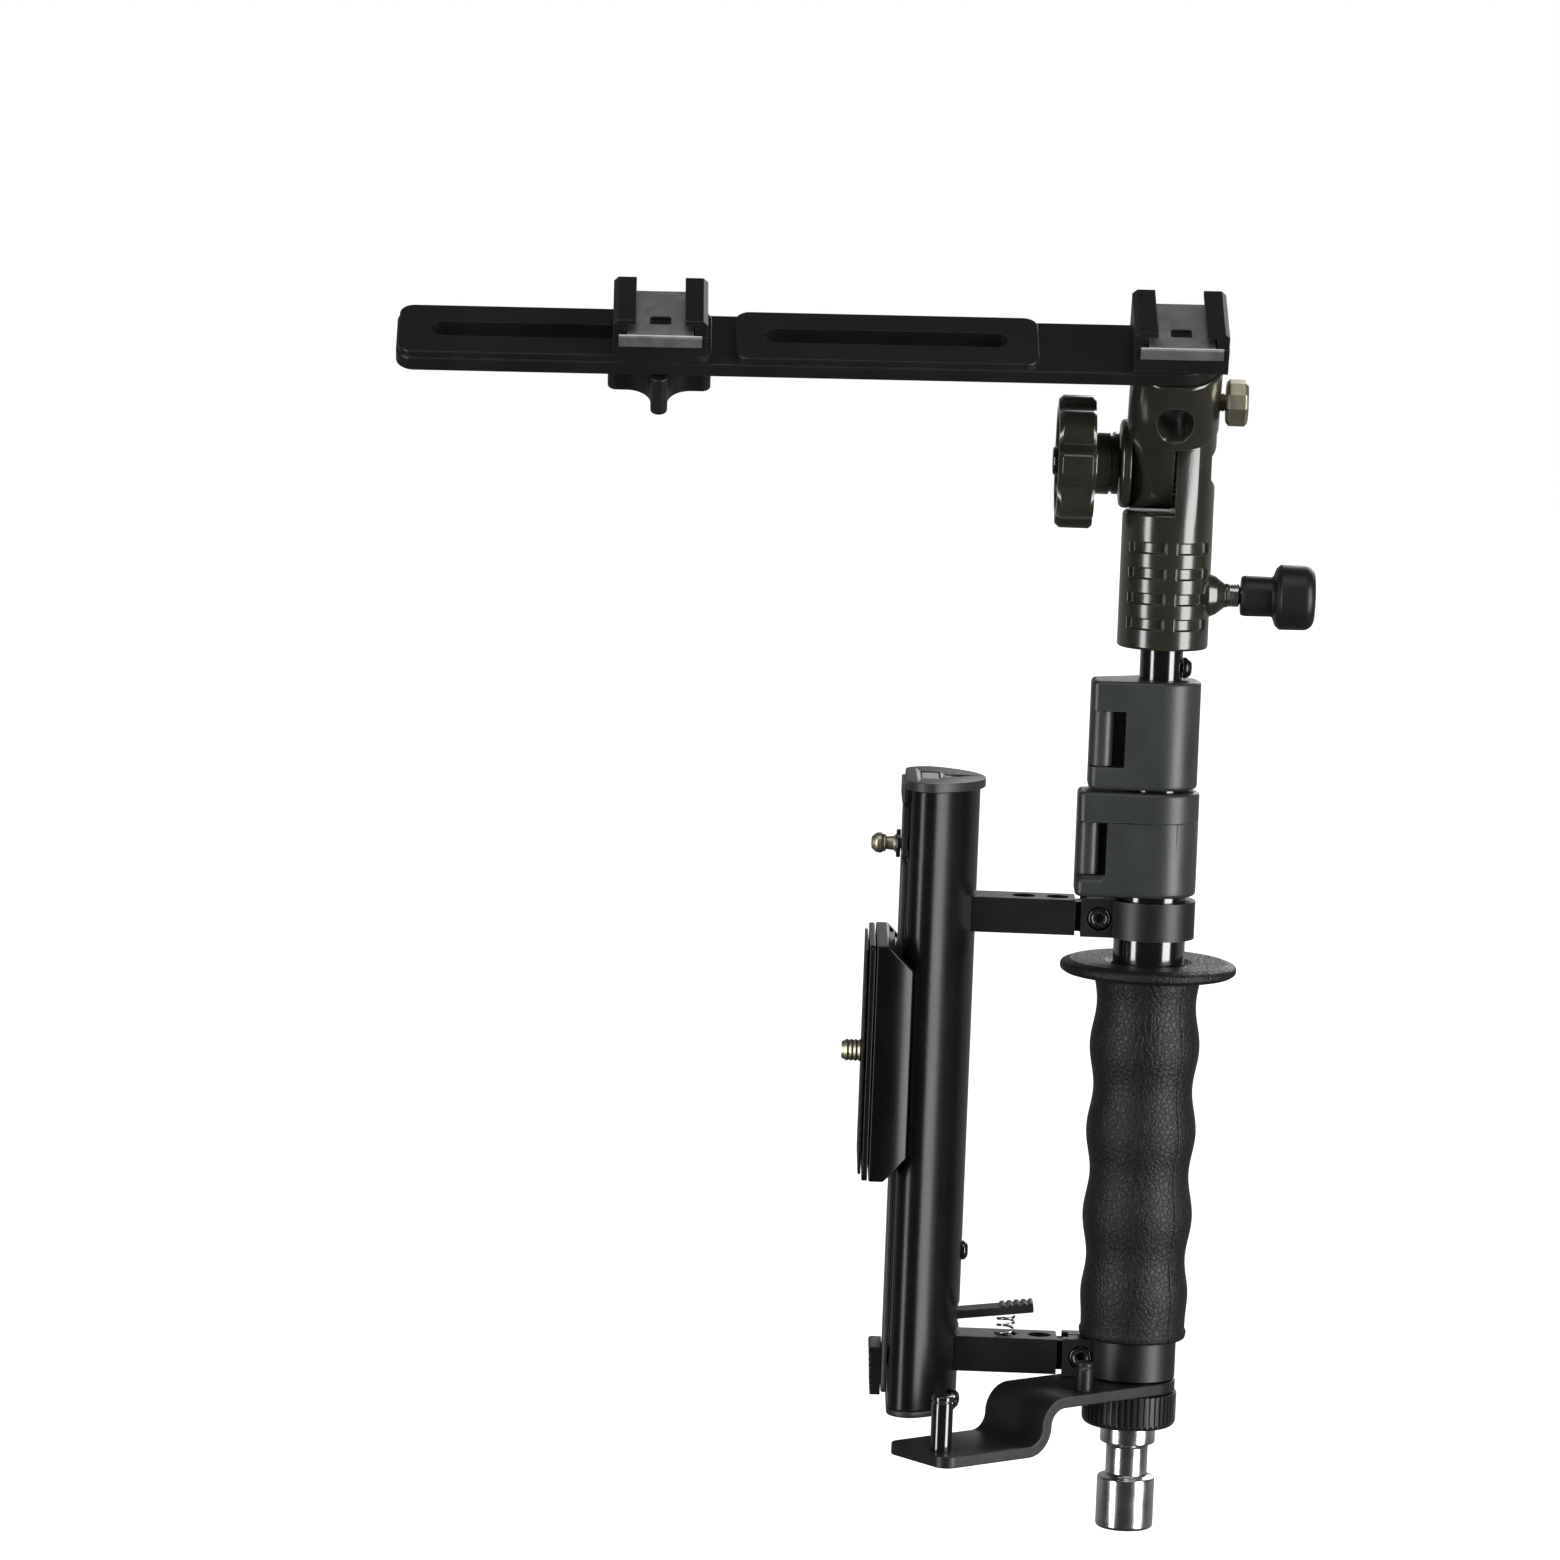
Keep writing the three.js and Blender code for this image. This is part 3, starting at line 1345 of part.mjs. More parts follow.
function thumbLatch() {
  const face = rail_face + seat_gap;
  const low = latch_low_z;
  const high = latch_low_z + latch_height;
  const points = [[-face, low], [-face, high], [-face - latch_top_thickness + seat_gap, high]];
  for (let i = 0; i < latch_ridges * 2; i += 1) {
    const share = (i + 0.5) / (latch_ridges * 2);
    const thickness = latch_top_thickness + (latch_foot_thickness - latch_top_thickness) * share;
    const ridge = (i % 2) * latch_ridge_depth;
    points.push([-face - thickness + ridge, high - stud_chamfer - (latch_height - stud_chamfer) * share]);
  }
  points.push([-face - latch_foot_thickness + latch_ridge_depth, low]);
  const pad = sideSlab(polygon(points), 2 * latch_half_width);
  const stem_low = latch_low_z + latch_stem_rise;
  const stem = box(
    -face - seat_gap, -column_flat + latch_stem_reach,
    -latch_stem_half_width, latch_stem_half_width, stem_low, stem_low + latch_stem_height,
  );
  return join(pad, stem);
}

function sideScrew(angle_deg, z) {
  const screw = domeScrew(side_screw_radius, side_screw_dome, side_screw_shank, side_screw_depth);
  return outOfNose(screw.translate(0, 0, seat_gap), angle_deg, z);
}

// Release lever, the block that carries it and its return spring

function leverCarrier() {
  const half = lever_blade_width / 2 + slide_gap;
  const back = lever_pivot_left + lever_eye_radius + slide_gap;
  const reach = column_reach - column_nose;
  const screw_hole = rod(side_screw_shank + pin_gap, -side_screw_depth - seat_gap, column_wall, 16);
  const pin_reach = lever_pin_half_length + seat_gap;
  const pin_hole = rod(lever_pin_radius + pin_gap, -pin_reach, pin_reach, 16);
  return cut(
    columnSlab(-column_wall - seat_gap, carrier_low_z, carrier_high_z),
    box(
      -back, -reach + cut_over, -half, half,
      carrier_low_z - cut_over, lever_window_z + lever_window_half_height,
    ),
    alongY(pin_hole).translate(-lever_pivot_left, 0, lever_pivot_z),
    outOfNose(screw_hole, 0, upper_side_screw_z),
  );
}

function leverPin() {
  const pin = rod(lever_pin_radius, -lever_pin_half_length, lever_pin_half_length, 16);
  return alongY(pin).translate(-lever_pivot_left, 0, lever_pivot_z);
}

function releaseLever() {
  const length = lever_pivot_left - lever_tip_left;
  const half = lever_blade_thickness / 2;
  const comb_start = length - lever_serration_length;
  const points = [[0, -half], [length, -half], [length, half + lever_serration_depth]];
  const pitch = lever_serration_length / lever_serrations;
  for (let i = 0; i < lever_serrations; i += 1) {
    const x = length - i * pitch;
    points.push([x - pitch * 0.4, half + lever_serration_depth], [x - pitch * 0.5, half]);
    points.push([x - pitch * 0.9, half]);
    if (i < lever_serrations - 1) {
      points.push([x - pitch, half + lever_serration_depth]);
    }
  }
  points.push([comb_start, half], [0, half]);
  const blade = sideSlab(polygon(points), lever_blade_width);
  const eye = alongY(rod(lever_eye_radius, -lever_blade_width / 2, lever_blade_width / 2, 20));
  const hole = alongY(rod(lever_pin_radius + pin_gap, -lever_blade_width, lever_blade_width, 16));
  return cut(join(blade, eye), hole)
    .rotateY(-THREE.MathUtils.degToRad(lever_incline_deg))
    .translate(-lever_pivot_left, 0, lever_pivot_z);
}

// The coil is one unbroken tube.
function releaseSpring() {
  const low = spring_low_z + spring_wire / 2;
  const high = spring_high_z - spring_wire / 2;
  const turns = (high - low) / spring_pitch;
  const steps = Math.round(turns * spring_steps_per_turn);
  const sides = spring_sides;
  const points = [];
  for (let i = 0; i <= steps; i += 1) {
    const angle = 2 * Math.PI * turns * i / steps;
    const out = new THREE.Vector3(Math.cos(angle), Math.sin(angle), 0);
    const centre = out.clone().multiplyScalar(spring_radius).setZ(low + (high - low) * i / steps);
    for (let k = 0; k < sides; k += 1) {
      const around = 2 * Math.PI * k / sides;
      const offset = out.clone().multiplyScalar(Math.cos(around) * spring_wire / 2);
      offset.z = Math.sin(around) * spring_wire / 2;
      points.push(centre.clone().add(offset));
    }
  }
  const index = [];
  for (let i = 0; i < steps; i += 1) {
    for (let k = 0; k < sides; k += 1) {
      const a = i * sides + k;
      const b = i * sides + (k + 1) % sides;
      index.push(a, b, a + sides, b, b + sides, a + sides);
    }
  }
  for (let k = 1; k < sides - 1; k += 1) {
    index.push(0, k + 1, k);
    index.push(steps * sides, steps * sides + k, steps * sides + k + 1);
  }
  printLeastGap(points, sides);
  const geometry = new THREE.BufferGeometry();
  const flat = points.flatMap((point) => [point.x, point.y, point.z]);
  geometry.setAttribute("position", new THREE.BufferAttribute(new Float32Array(flat), 3));
  geometry.setIndex(index);
  return geometry.translate(-arm_hole_far, 0, 0);
}

// Prints the least distance between points that lie at least half a turn apart.
function printLeastGap(points, sides) {
  const half_turn = sides * spring_steps_per_turn / 2;
  let least = Infinity;
  points.forEach((point, i) => {
    for (let j = i + half_turn; j < points.length; j += 1) {
      least = Math.min(least, point.distanceTo(points[j]));
    }
  });
  console.log(`release spring: least gap to itself ${least.toFixed(2)} mm`);
}

// Camera carriage and platform

function carriage() {
  const half = carriage_depth / 2;
  const c = carriage_side_chamfer;
  const high = carriage_high_z;
  const left = -carriage_left;
  const right = -carriage_right;
  const plan = slab(polygon([
    [left, -half], [right - c, -half], [right, -half + c], [right, half - c],
    [right - c, half], [left, half],
  ]), carriage_low_z - cut_over, high + cut_over);
  const side = sideSlab(polygon([
    [left - cut_over, carriage_low_z], [right - carriage_foot_chamfer, carriage_low_z],
    [right, carriage_low_z + carriage_foot_chamfer], [right, high - carriage_top_chamfer],
    [right - carriage_top_chamfer, high], [left - cut_over, high],
  ]), carriage_depth + 2 * cut_over);
  const grooves = [];
  const groove_half = half - carriage_groove_margin;
  for (let i = 0; i < carriage_grooves; i += 1) {
    const along = (i + 0.8) * carriage_groove_pitch / Math.SQRT2;
    const size = carriage_groove_depth;
    const groove = box(-size, size, -groove_half, groove_half, -size, size);
    grooves.push(groove.translate(right - carriage_top_chamfer + along, 0, high - along));
  }
  const head_pocket = rod(
    camera_screw_head_radius + pin_gap, -carriage_left - cut_over,
    -carriage_left + camera_screw_head_height + seat_gap, 24,
  );
  return cut(
    common(plan, side),
    columnSlab(seat_gap, 0, column_high_z),
    box(
      -rail_face - seat_gap, -column_flat, -rail_half_width - seat_gap,
      rail_half_width + seat_gap, 0, column_high_z,
    ),
    alongX(head_pocket).translate(0, 0, carriage_mid_z),
    ...grooves,
  );
}

function platformPlate() {
  const right = -carriage_left - seat_gap;
  return cut(
    box(
      right - platform_plate_thickness, right, -carriage_depth / 2, carriage_depth / 2,
      carriage_low_z, carriage_high_z,
    ),
    alongX(rod(camera_screw_radius + seat_gap, -2 * carriage_left, 0, 20)).translate(0, 0, carriage_mid_z),
  );
}

function platformPad() {
  const right = -carriage_left - 2 * seat_gap - platform_plate_thickness;
  const m = platform_pad_margin;
  return cut(
    box(
      right - platform_pad_thickness, right, -carriage_depth / 2 + m, carriage_depth / 2 - m,
      carriage_low_z + m, carriage_high_z - m,
    ),
    alongX(rod(camera_screw_radius + seat_gap, -2 * carriage_left, 0, 20)).translate(0, 0, carriage_mid_z),
  );
}

function cameraScrew() {
  const pad_face = carriage_left + 2 * seat_gap + platform_plate_thickness + platform_pad_thickness;
  const tip = -pad_face - camera_screw_show;
  const seat = -carriage_left + seat_gap / 2;
  return alongX(turn([
    [0, tip], [camera_screw_radius - stud_chamfer, tip], [camera_screw_radius, tip + stud_chamfer],
    [camera_screw_radius, seat], [camera_screw_head_radius, seat],
    [camera_screw_head_radius, seat + camera_screw_head_height - pin_gap],
    [0, seat + camera_screw_head_height - pin_gap],
  ], 24)).translate(0, 0, carriage_mid_z);
}

// Assembly. Fixed pieces and the pole stand straight in the part's frame.

const bracket = new THREE.Group();

bracket.add(
  piece("stand_stud", standStud(), "chrome"),
  piece("foot_nut", footNut(), "knobPlastic"),
  piece("foot_bar", footBar(), "satinBlack"),
  piece("foot_bar_pin", tallPin(), "glossBlack"),
  piece("foot_bar_stub", stubPin(), "satinBlack"),
  piece("handle_plug", handlePlug(), "satinBlack"),
  piece("handle_tube", handleTube(), "satinBlack"),
  piece("hand_grip", handGrip(), "softRubber"),
);

for (const [side, mid_z] of [["lower", lower_clamp_mid_z], ["upper", upper_clamp_mid_z]]) {
  bracket.add(
    piece(`${side}_clamp`, ringClamp(mid_z), "satinBlack"),
    piece(`${side}_clamp_screw`, clampScrew(mid_z), "glossBlack"),
    piece(`${side}_arm`, squareArm(mid_z, side === "lower"), "satinBlack"),
  );
}

for (const [side, lock] of [["lower", lower_lock], ["upper", upper_lock]]) {
  bracket.add(
    piece(`${side}_lock_body`, lockBody(lock), "lockPlastic"),
    piece(`${side}_lock_lever`, lockLever(lock), "lockPlastic"),
    piece(`${side}_lock_pin`, lockPin(lock), "nickel"),
  );
}

bracket.add(
  piece("mid_tube", midTube(), "satinBlack"),
  piece("mid_tube_bush", midTubeBush(), "knobPlastic"),
  piece("inner_tube", innerTube(), "glossBlack"),
  piece("inner_tube_bush", innerTubeBush(), "knobPlastic"),
  piece("spigot_screw", spigotScrew(), "glossBlack"),
  piece("socket_body", socketBody(), "headPaint"),
  piece("socket_screw", socketScrew(), "nickel"),
  piece("socket_knob", socketKnob(), "knobPlastic"),
  piece("tilt_bolt", tiltBolt(), "nickel"),
  piece("tilt_knob", tiltKnob(), "knobPlastic"),
);

bracket.add(
  piece("column_tube", columnTube(), "satinBlack"),
  piece("column_bottom_cap", columnBottomCap(), "knobPlastic"),
  piece("column_top_cap", columnTopCap(), "knobPlastic"),
  piece("cap_window", capWindow(), "palePlastic"),
  piece("rail_plate", railPlate(), "satinBlack"),
  piece("rail_end_block", railEndBlock(), "knobPlastic"),
  piece("ball_stud", ballStud(), "nickel"),
  piece("ball_stud_washer", ballWasher(), "glossBlack"),
  piece("thumb_latch", thumbLatch(), "knobPlastic"),
  piece("upper_side_screw", sideScrew(0, upper_side_screw_z), "glossBlack"),
  piece("lower_side_screw", sideScrew(lower_side_screw_deg, lower_side_screw_z), "glossBlack"),
  piece("lever_carrier", leverCarrier(), "knobPlastic"),
  piece("lever_pin", leverPin(), "nickel"),
  piece("release_lever", releaseLever(), "satinBlack"),
  piece("release_spring", releaseSpring(), "springSteel"),
  piece("carriage", carriage(), "satinBlack"),
  piece("platform_plate", platformPlate(), "satinBlack"),
  piece("platform_pad", platformPad(), "softRubber"),
  piece("camera_screw", cameraScrew(), "nickel"),
);

// The head leans towards the viewer about the tilt axis, and the arm is turned a little on it.
const head = new THREE.Group();
head.position.z = tilt_z;
head.rotation.x = THREE.MathUtils.degToRad(head_tilt_deg);
head.add(
  piece("tilt_head", tiltHead(), "headPaint"),
  piece("umbrella_screw", umbrellaScrew(), "nickel"),
);

const arm = new THREE.Group();
arm.rotation.z = THREE.MathUtils.degToRad(arm_yaw_deg);
arm.add(
  piece("flash_arm", flashArm(), "satinBlack"),
  piece("arm_screw", armScrew(), "nickel"),
  piece(
    "head_shoe",
    accessoryShoe(
      head_shoe_floor, flash_arm_high + seat_gap, arm_screw_head_radius, arm_screw_head_height,
    ),
    "satinBlack",
  ),
  piece("head_shoe_spring", shoeSpring(head_shoe_floor, flash_arm_high + seat_gap), "springSteel"),
);

// Pieces that slide along the arm
const slide = new THREE.Group();
slide.position.x = -slide_shoe_left;
slide.add(
  piece(
    "slide_shoe",
    accessoryShoe(
      slide_shoe_floor, plate_high + seat_gap, slide_screw_head_radius, slide_screw_head_height,
    ),
    "satinBlack",
  ),
  piece("slide_shoe_spring", shoeSpring(slide_shoe_floor, plate_high + seat_gap), "springSteel"),
  piece("slide_shoe_screw", slideShoeScrew(), "nickel"),
  piece("slide_shoe_knob", wingKnob(), "knobPlastic"),
);

arm.add(slide);
head.add(arm);
bracket.add(head);

export default bracket;
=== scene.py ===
# %% [markdown]
# # A camera flash bracket, piece by piece
# The bracket is a rubber pistol grip on a telescoping pole. A tilting head on the pole carries
# a slotted flash arm, and a camera column stands beside the grip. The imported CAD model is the
# fixed frame: every piece made here goes exactly where the frame has it and moves with it.

# %% Load the fixed frame
import json
import math

import bmesh
import bpy
from mathutils import Matrix, Vector


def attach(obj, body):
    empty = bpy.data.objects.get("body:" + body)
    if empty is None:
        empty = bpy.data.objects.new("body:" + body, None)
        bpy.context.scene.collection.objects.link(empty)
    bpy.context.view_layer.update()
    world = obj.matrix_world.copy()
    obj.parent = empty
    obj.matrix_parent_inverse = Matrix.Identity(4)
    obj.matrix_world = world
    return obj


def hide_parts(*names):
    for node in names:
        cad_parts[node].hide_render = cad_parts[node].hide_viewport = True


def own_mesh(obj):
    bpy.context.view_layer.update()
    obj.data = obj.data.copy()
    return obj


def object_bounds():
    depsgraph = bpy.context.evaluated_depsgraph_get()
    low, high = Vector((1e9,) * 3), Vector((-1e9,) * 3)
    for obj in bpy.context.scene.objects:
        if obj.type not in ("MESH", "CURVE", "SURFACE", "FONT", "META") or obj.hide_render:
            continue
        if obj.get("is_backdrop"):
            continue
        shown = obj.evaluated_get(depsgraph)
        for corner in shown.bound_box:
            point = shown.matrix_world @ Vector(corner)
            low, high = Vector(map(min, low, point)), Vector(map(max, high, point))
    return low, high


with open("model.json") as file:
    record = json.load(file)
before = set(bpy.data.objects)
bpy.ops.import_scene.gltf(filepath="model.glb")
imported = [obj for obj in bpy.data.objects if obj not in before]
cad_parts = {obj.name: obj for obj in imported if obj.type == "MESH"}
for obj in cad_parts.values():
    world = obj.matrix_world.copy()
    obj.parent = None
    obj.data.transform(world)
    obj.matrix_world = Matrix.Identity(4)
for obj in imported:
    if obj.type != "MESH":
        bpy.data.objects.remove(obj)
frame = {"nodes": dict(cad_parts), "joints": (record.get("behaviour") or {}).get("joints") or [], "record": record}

cad_low, cad_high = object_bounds()
joints = {joint["name"]: joint for joint in frame["joints"]}

# %% [markdown]
# ## Camera
# The bracket was seen from about two metres away through a long lens, a little from above and
# with the camera rolled slightly. A long lens keeps the tubes almost parallel. The aim is given
# as three angles and one place, because these can be checked against the leaning pole.

# %% Camera
camera_place = Vector((-0.103700, -2.057500, 0.466130))
camera_pitch = math.radians(7.2)
camera_roll = math.radians(2.15)
focal_pixels = 7516
image_pixels = 1560

forward = Vector((0, math.cos(camera_pitch), -math.sin(camera_pitch)))
level_right = Vector((1, 0, 0))
level_up = level_right.cross(forward)
right = level_right * math.cos(camera_roll) + level_up * math.sin(camera_roll)
up = level_up * math.cos(camera_roll) - level_right * math.sin(camera_roll)

camera_data = bpy.data.cameras.new("camera")
camera_data.sensor_width = 36
camera_data.lens = camera_data.sensor_width * focal_pixels / image_pixels
camera_data.clip_end = 60
camera = bpy.data.objects.new("camera", camera_data)
camera_turn = Matrix((right, up, -forward)).transposed().to_4x4()
camera.matrix_world = Matrix.Translation(camera_place) @ camera_turn
bpy.context.scene.collection.objects.link(camera)
bpy.context.scene.camera = camera
bpy.context.scene.view_settings.view_transform = "Standard"
print("lens:", round(camera_data.lens, 1), "mm")

# %% [markdown]
# ## Node helper
# A Blender material is a tree of nodes. One short helper adds a node and fills its inputs,
# either with a number or with another node's output, so each recipe below reads from top to
# bottom like a list of steps.

# %% Node helper
def add_node(tree, kind, inputs=None, **settings):
    made = tree.nodes.new(kind)
    for name, value in settings.items():
        setattr(made, name, value)
    for name, value in (inputs or {}).items():
        if isinstance(value, bpy.types.NodeSocket):
            tree.links.new(value, made.inputs[name])
        else:
            made.inputs[name].default_value = value
    return made


def camera_sees(tree):
    """1 for rays that look, mirror or pass through, and 0 for rays that light the object."""
    path = add_node(tree, "ShaderNodeLightPath")
    mirrored = add_node(
        tree, "ShaderNodeMath",
        {0: path.outputs["Is Camera Ray"], 1: path.outputs["Is Glossy Ray"]}, operation="ADD",
    )
    passed = add_node(
        tree, "ShaderNodeMath",
        {0: mirrored.outputs[0], 1: path.outputs["Is Transmission Ray"]}, operation="ADD", use_clamp=True,
    )
    return passed.outputs[0]

# %% [markdown]
# ## White surroundings and floor
# Catalogue pictures show such tools on plain white. A white world does that for every ray that
# the camera or a shiny surface follows, while the light that the world sheds stays low, so the
# lamps keep their shape. The bracket is held by its stud, so the floor lies well below it.

# %% World and floor
world_light = 0.28
room_front = 0.03
room_back = 0.26
floor_drop = 0.75
floor_half = 12

world = bpy.data.worlds.new("white_room")
world.use_nodes = True
world.node_tree.nodes.clear()
seen = camera_sees(world.node_tree)
direction = add_node(world.node_tree, "ShaderNodeTexCoord")
split = add_node(world.node_tree, "ShaderNodeSeparateXYZ", {0: direction.outputs["Generated"]})
backdrop = add_node(
    world.node_tree, "ShaderNodeMapRange",
    {
        "Value": split.outputs["Y"], "From Min": 0.3, "From Max": 1.0,
        "To Min": room_front, "To Max": room_back,
    },
)
looked_at = add_node(world.node_tree, "ShaderNodeLightPath")
bright = add_node(
    world.node_tree, "ShaderNodeMath",
    {0: backdrop.outputs["Result"], 1: looked_at.outputs["Is Camera Ray"]}, operation="MAXIMUM",
)
strength = add_node(
    world.node_tree, "ShaderNodeMapRange",
    {"Value": seen, "To Min": world_light, "To Max": bright.outputs[0]},
)
room = add_node(
    world.node_tree, "ShaderNodeBackground",
    {"Color": (1, 1, 1, 1), "Strength": strength.outputs["Result"]},
)
add_node(world.node_tree, "ShaderNodeOutputWorld", {"Surface": room.outputs["Background"]})
bpy.context.scene.world = world

floor_paint = bpy.data.materials.new("floor_white")
floor_paint.use_nodes = True
floor_paint.node_tree.nodes.clear()
shown = camera_sees(floor_paint.node_tree)
spot = add_node(floor_paint.node_tree, "ShaderNodeTexCoord")
away = add_node(
    floor_paint.node_tree, "ShaderNodeVectorMath", {0: spot.outputs["Object"]}, operation="LENGTH",
)
fade = add_node(
    floor_paint.node_tree, "ShaderNodeMapRange",
    {"Value": away.outputs["Value"], "From Min": 0.5, "From Max": 2.0, "To Min": 0.62, "To Max": 1.0},
)
glow = add_node(
    floor_paint.node_tree, "ShaderNodeMath", {0: shown, 1: fade.outputs["Result"]}, operation="MULTIPLY",
)
matt = add_node(floor_paint.node_tree, "ShaderNodeBsdfDiffuse", {"Color": (0.86, 0.86, 0.86, 1)})
lift = add_node(floor_paint.node_tree, "ShaderNodeEmission", {"Strength": glow.outputs[0]})
both = add_node(
    floor_paint.node_tree, "ShaderNodeAddShader",
    {0: matt.outputs["BSDF"], 1: lift.outputs["Emission"]},
)
ground = add_node(floor_paint.node_tree, "ShaderNodeSeparateXYZ", {0: spot.outputs["Object"]})
depth = add_node(
    floor_paint.node_tree, "ShaderNodeMapRange",
    {
        "Value": ground.outputs["Y"], "From Min": -0.2, "From Max": 3.0,
        "To Min": room_front, "To Max": room_back,
    },
)
mirrored = add_node(floor_paint.node_tree, "ShaderNodeLightPath").outputs["Is Glossy Ray"]
dim = add_node(floor_paint.node_tree, "ShaderNodeEmission", {"Strength": depth.outputs["Result"]})
floor_mix = add_node(
    floor_paint.node_tree, "ShaderNodeMixShader",
    {0: mirrored, 1: both.outputs["Shader"], 2: dim.outputs["Emission"]},
)
add_node(floor_paint.node_tree, "ShaderNodeOutputMaterial", {"Surface": floor_mix.outputs["Shader"]})

floor_mesh = bpy.data.meshes.new("floor")
floor_corners = [(-1, -1), (1, -1), (1, 1), (-1, 1)]
floor_mesh.from_pydata(
    [(x * floor_half, y * floor_half, -floor_drop) for x, y in floor_corners], [], [(0, 1, 2, 3)],
)
floor = bpy.data.objects.new("floor", floor_mesh)
floor.data.materials.append(floor_paint)
bpy.context.scene.collection.objects.link(floor)
floor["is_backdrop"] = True
print("floor at", -floor_drop, "m")

# %% [markdown]
# ## Studio lights
# The tubes show two soft upright streaks, one left and one right of the middle. Such streaks
# are reflections of tall soft boxes, so two upright area lights stand to the front left and
# front right, and a wide one hangs above for the upper faces.

# %% Soft boxes
def soft_box(name, azimuth, height, distance, width, tall, power):
    """An area light seen from the bracket at an azimuth, in degrees to the right of the camera."""
    lamp = bpy.data.lights.new(name, "AREA")
    lamp.shape = "RECTANGLE"
    lamp.size = width
    lamp.size_y = tall
    lamp.energy = power
    turn = math.radians(azimuth)
    middle = Vector(((cad_low.x + cad_high.x) / 2, 0, (cad_low.z + cad_high.z) / 2))
    stands = middle + Vector((math.sin(turn) * distance, -math.cos(turn) * distance, height))
    holder = bpy.data.objects.new(name, lamp)
    facing = (middle - stands).to_track_quat("-Z", "Y").to_matrix().to_4x4()
    holder.matrix_world = Matrix.Translation(stands) @ facing
    bpy.context.scene.collection.objects.link(holder)
    print(name, "radiance about", round(power / (math.pi * width * tall), 1))


soft_box("light_right", azimuth=57, height=0.09, distance=1.9, width=0.85, tall=2.05, power=50)
soft_box("light_left", azimuth=-52, height=0.09, distance=1.9, width=0.5, tall=2.05, power=28)
soft_box("light_above", azimuth=-10, height=2.1, distance=0.9, width=1.5, tall=1.2, power=10)
soft_box("light_behind", azimuth=160, height=0.9, distance=2.2, width=1.2, tall=1.2, power=14)

# %% [markdown]
# ## Making solids
# Nearly every piece here was turned on a lathe, cut from an extruded bar or moulded with soft
# edges. So four small makers are enough: turn a profile, push an outline up, cut one solid with
# another, and round the edges. Sizes are in millimetres, and the mesh is stored in metres.

# %% Sizes from the frame
MM = 0.001
IN_PLACE = Matrix.Identity(4)


def extent(node, placed=IN_PLACE):
    """Lowest and highest corner of a frame node in millimetres, measured in a local frame."""
    inverse = placed.inverted()
    points = [(inverse @ vertex.co) / MM for vertex in frame["nodes"][node].data.vertices]
    low = Vector([min(point[i] for point in points) for i in range(3)])
    high = Vector([max(point[i] for point in points) for i in range(3)])
    return low, high

# %% Solid from points and faces
def solid(name, points, faces):
    mesh = bpy.data.meshes.new(name)
    mesh.from_pydata([Vector(point) * MM for point in points], [], faces)
    build = bmesh.new()
    build.from_mesh(mesh)
    bmesh.ops.remove_doubles(build, verts=build.verts, dist=MM / 500)
    bmesh.ops.recalc_face_normals(build, faces=build.faces)
    build.to_mesh(mesh)
    build.free()
    made = bpy.data.objects.new(name, mesh)
    bpy.context.scene.collection.objects.link(made)
    return made

# %% Turned solid
def turned(name, profile, steps=96, shape=None):
    """Turns pairs of radius and height about Z. shape(angle, radius, height) may move a radius."""
    points, rings, faces = [], [], []
    for radius, height in profile:
        if radius == 0:
            rings.append([len(points)] * steps)
            points.append((0, 0, height))
            continue
        rings.append(list(range(len(points), len(points) + steps)))
        for step in range(steps):
            angle = 2 * math.pi * step / steps
            reach = shape(angle, radius, height) if shape else radius
            points.append((reach * math.cos(angle), reach * math.sin(angle), height))
    pairs = list(zip(rings, rings[1:]))
    if profile[0][0] > 0 and profile[-1][0] > 0:
        pairs.append((rings[-1], rings[0]))
    for lower, upper in pairs:
        for step in range(steps):
            after = (step + 1) % steps
            corners = [lower[step], lower[after], upper[after], upper[step]]
            face = list(dict.fromkeys(corners))
            if len(face) > 2:
                faces.append(face)
    return solid(name, points, faces)

# %% Rounded outline
def rounded(corners, closed=True, steps=6):
    """Rounds the corners of a flat line. Each corner is x, y and, where it is round, a radius."""
    line = []
    count = len(corners)
    for i, corner in enumerate(corners):
        at_end = not closed and i in (0, count - 1)
        if len(corner) < 3 or corner[2] <= 0 or at_end:
            line.append((corner[0], corner[1]))
            continue
        here = Vector(corner[:2])
        back = Vector(corners[i - 1][:2]) - here
        ahead = Vector(corners[(i + 1) % count][:2]) - here
        half = back.angle(ahead) / 2
        reach = min(corner[2] / math.tan(half), back.length / 2, ahead.length / 2)
        radius = reach * math.tan(half)
        centre = here + (back.normalized() + ahead.normalized()).normalized() * radius / math.sin(half)
        first = here + back.normalized() * reach - centre
        last = here + ahead.normalized() * reach - centre
        start = math.atan2(first.y, first.x)
        sweep = math.atan2(last.y, last.x) - start
        sweep = (sweep + math.pi) % (2 * math.pi) - math.pi
        for step in range(steps + 1):
            angle = start + sweep * step / steps
            line.append((centre.x + radius * math.cos(angle), centre.y + radius * math.sin(angle)))
    return line


def arc(x, y, radius, start, end, steps=24):
    """Points on a circle between two angles in degrees."""
    angles = [math.radians(start + (end - start) * step / steps) for step in range(steps + 1)]
    return [(x + radius * math.cos(angle), y + radius * math.sin(angle)) for angle in angles]

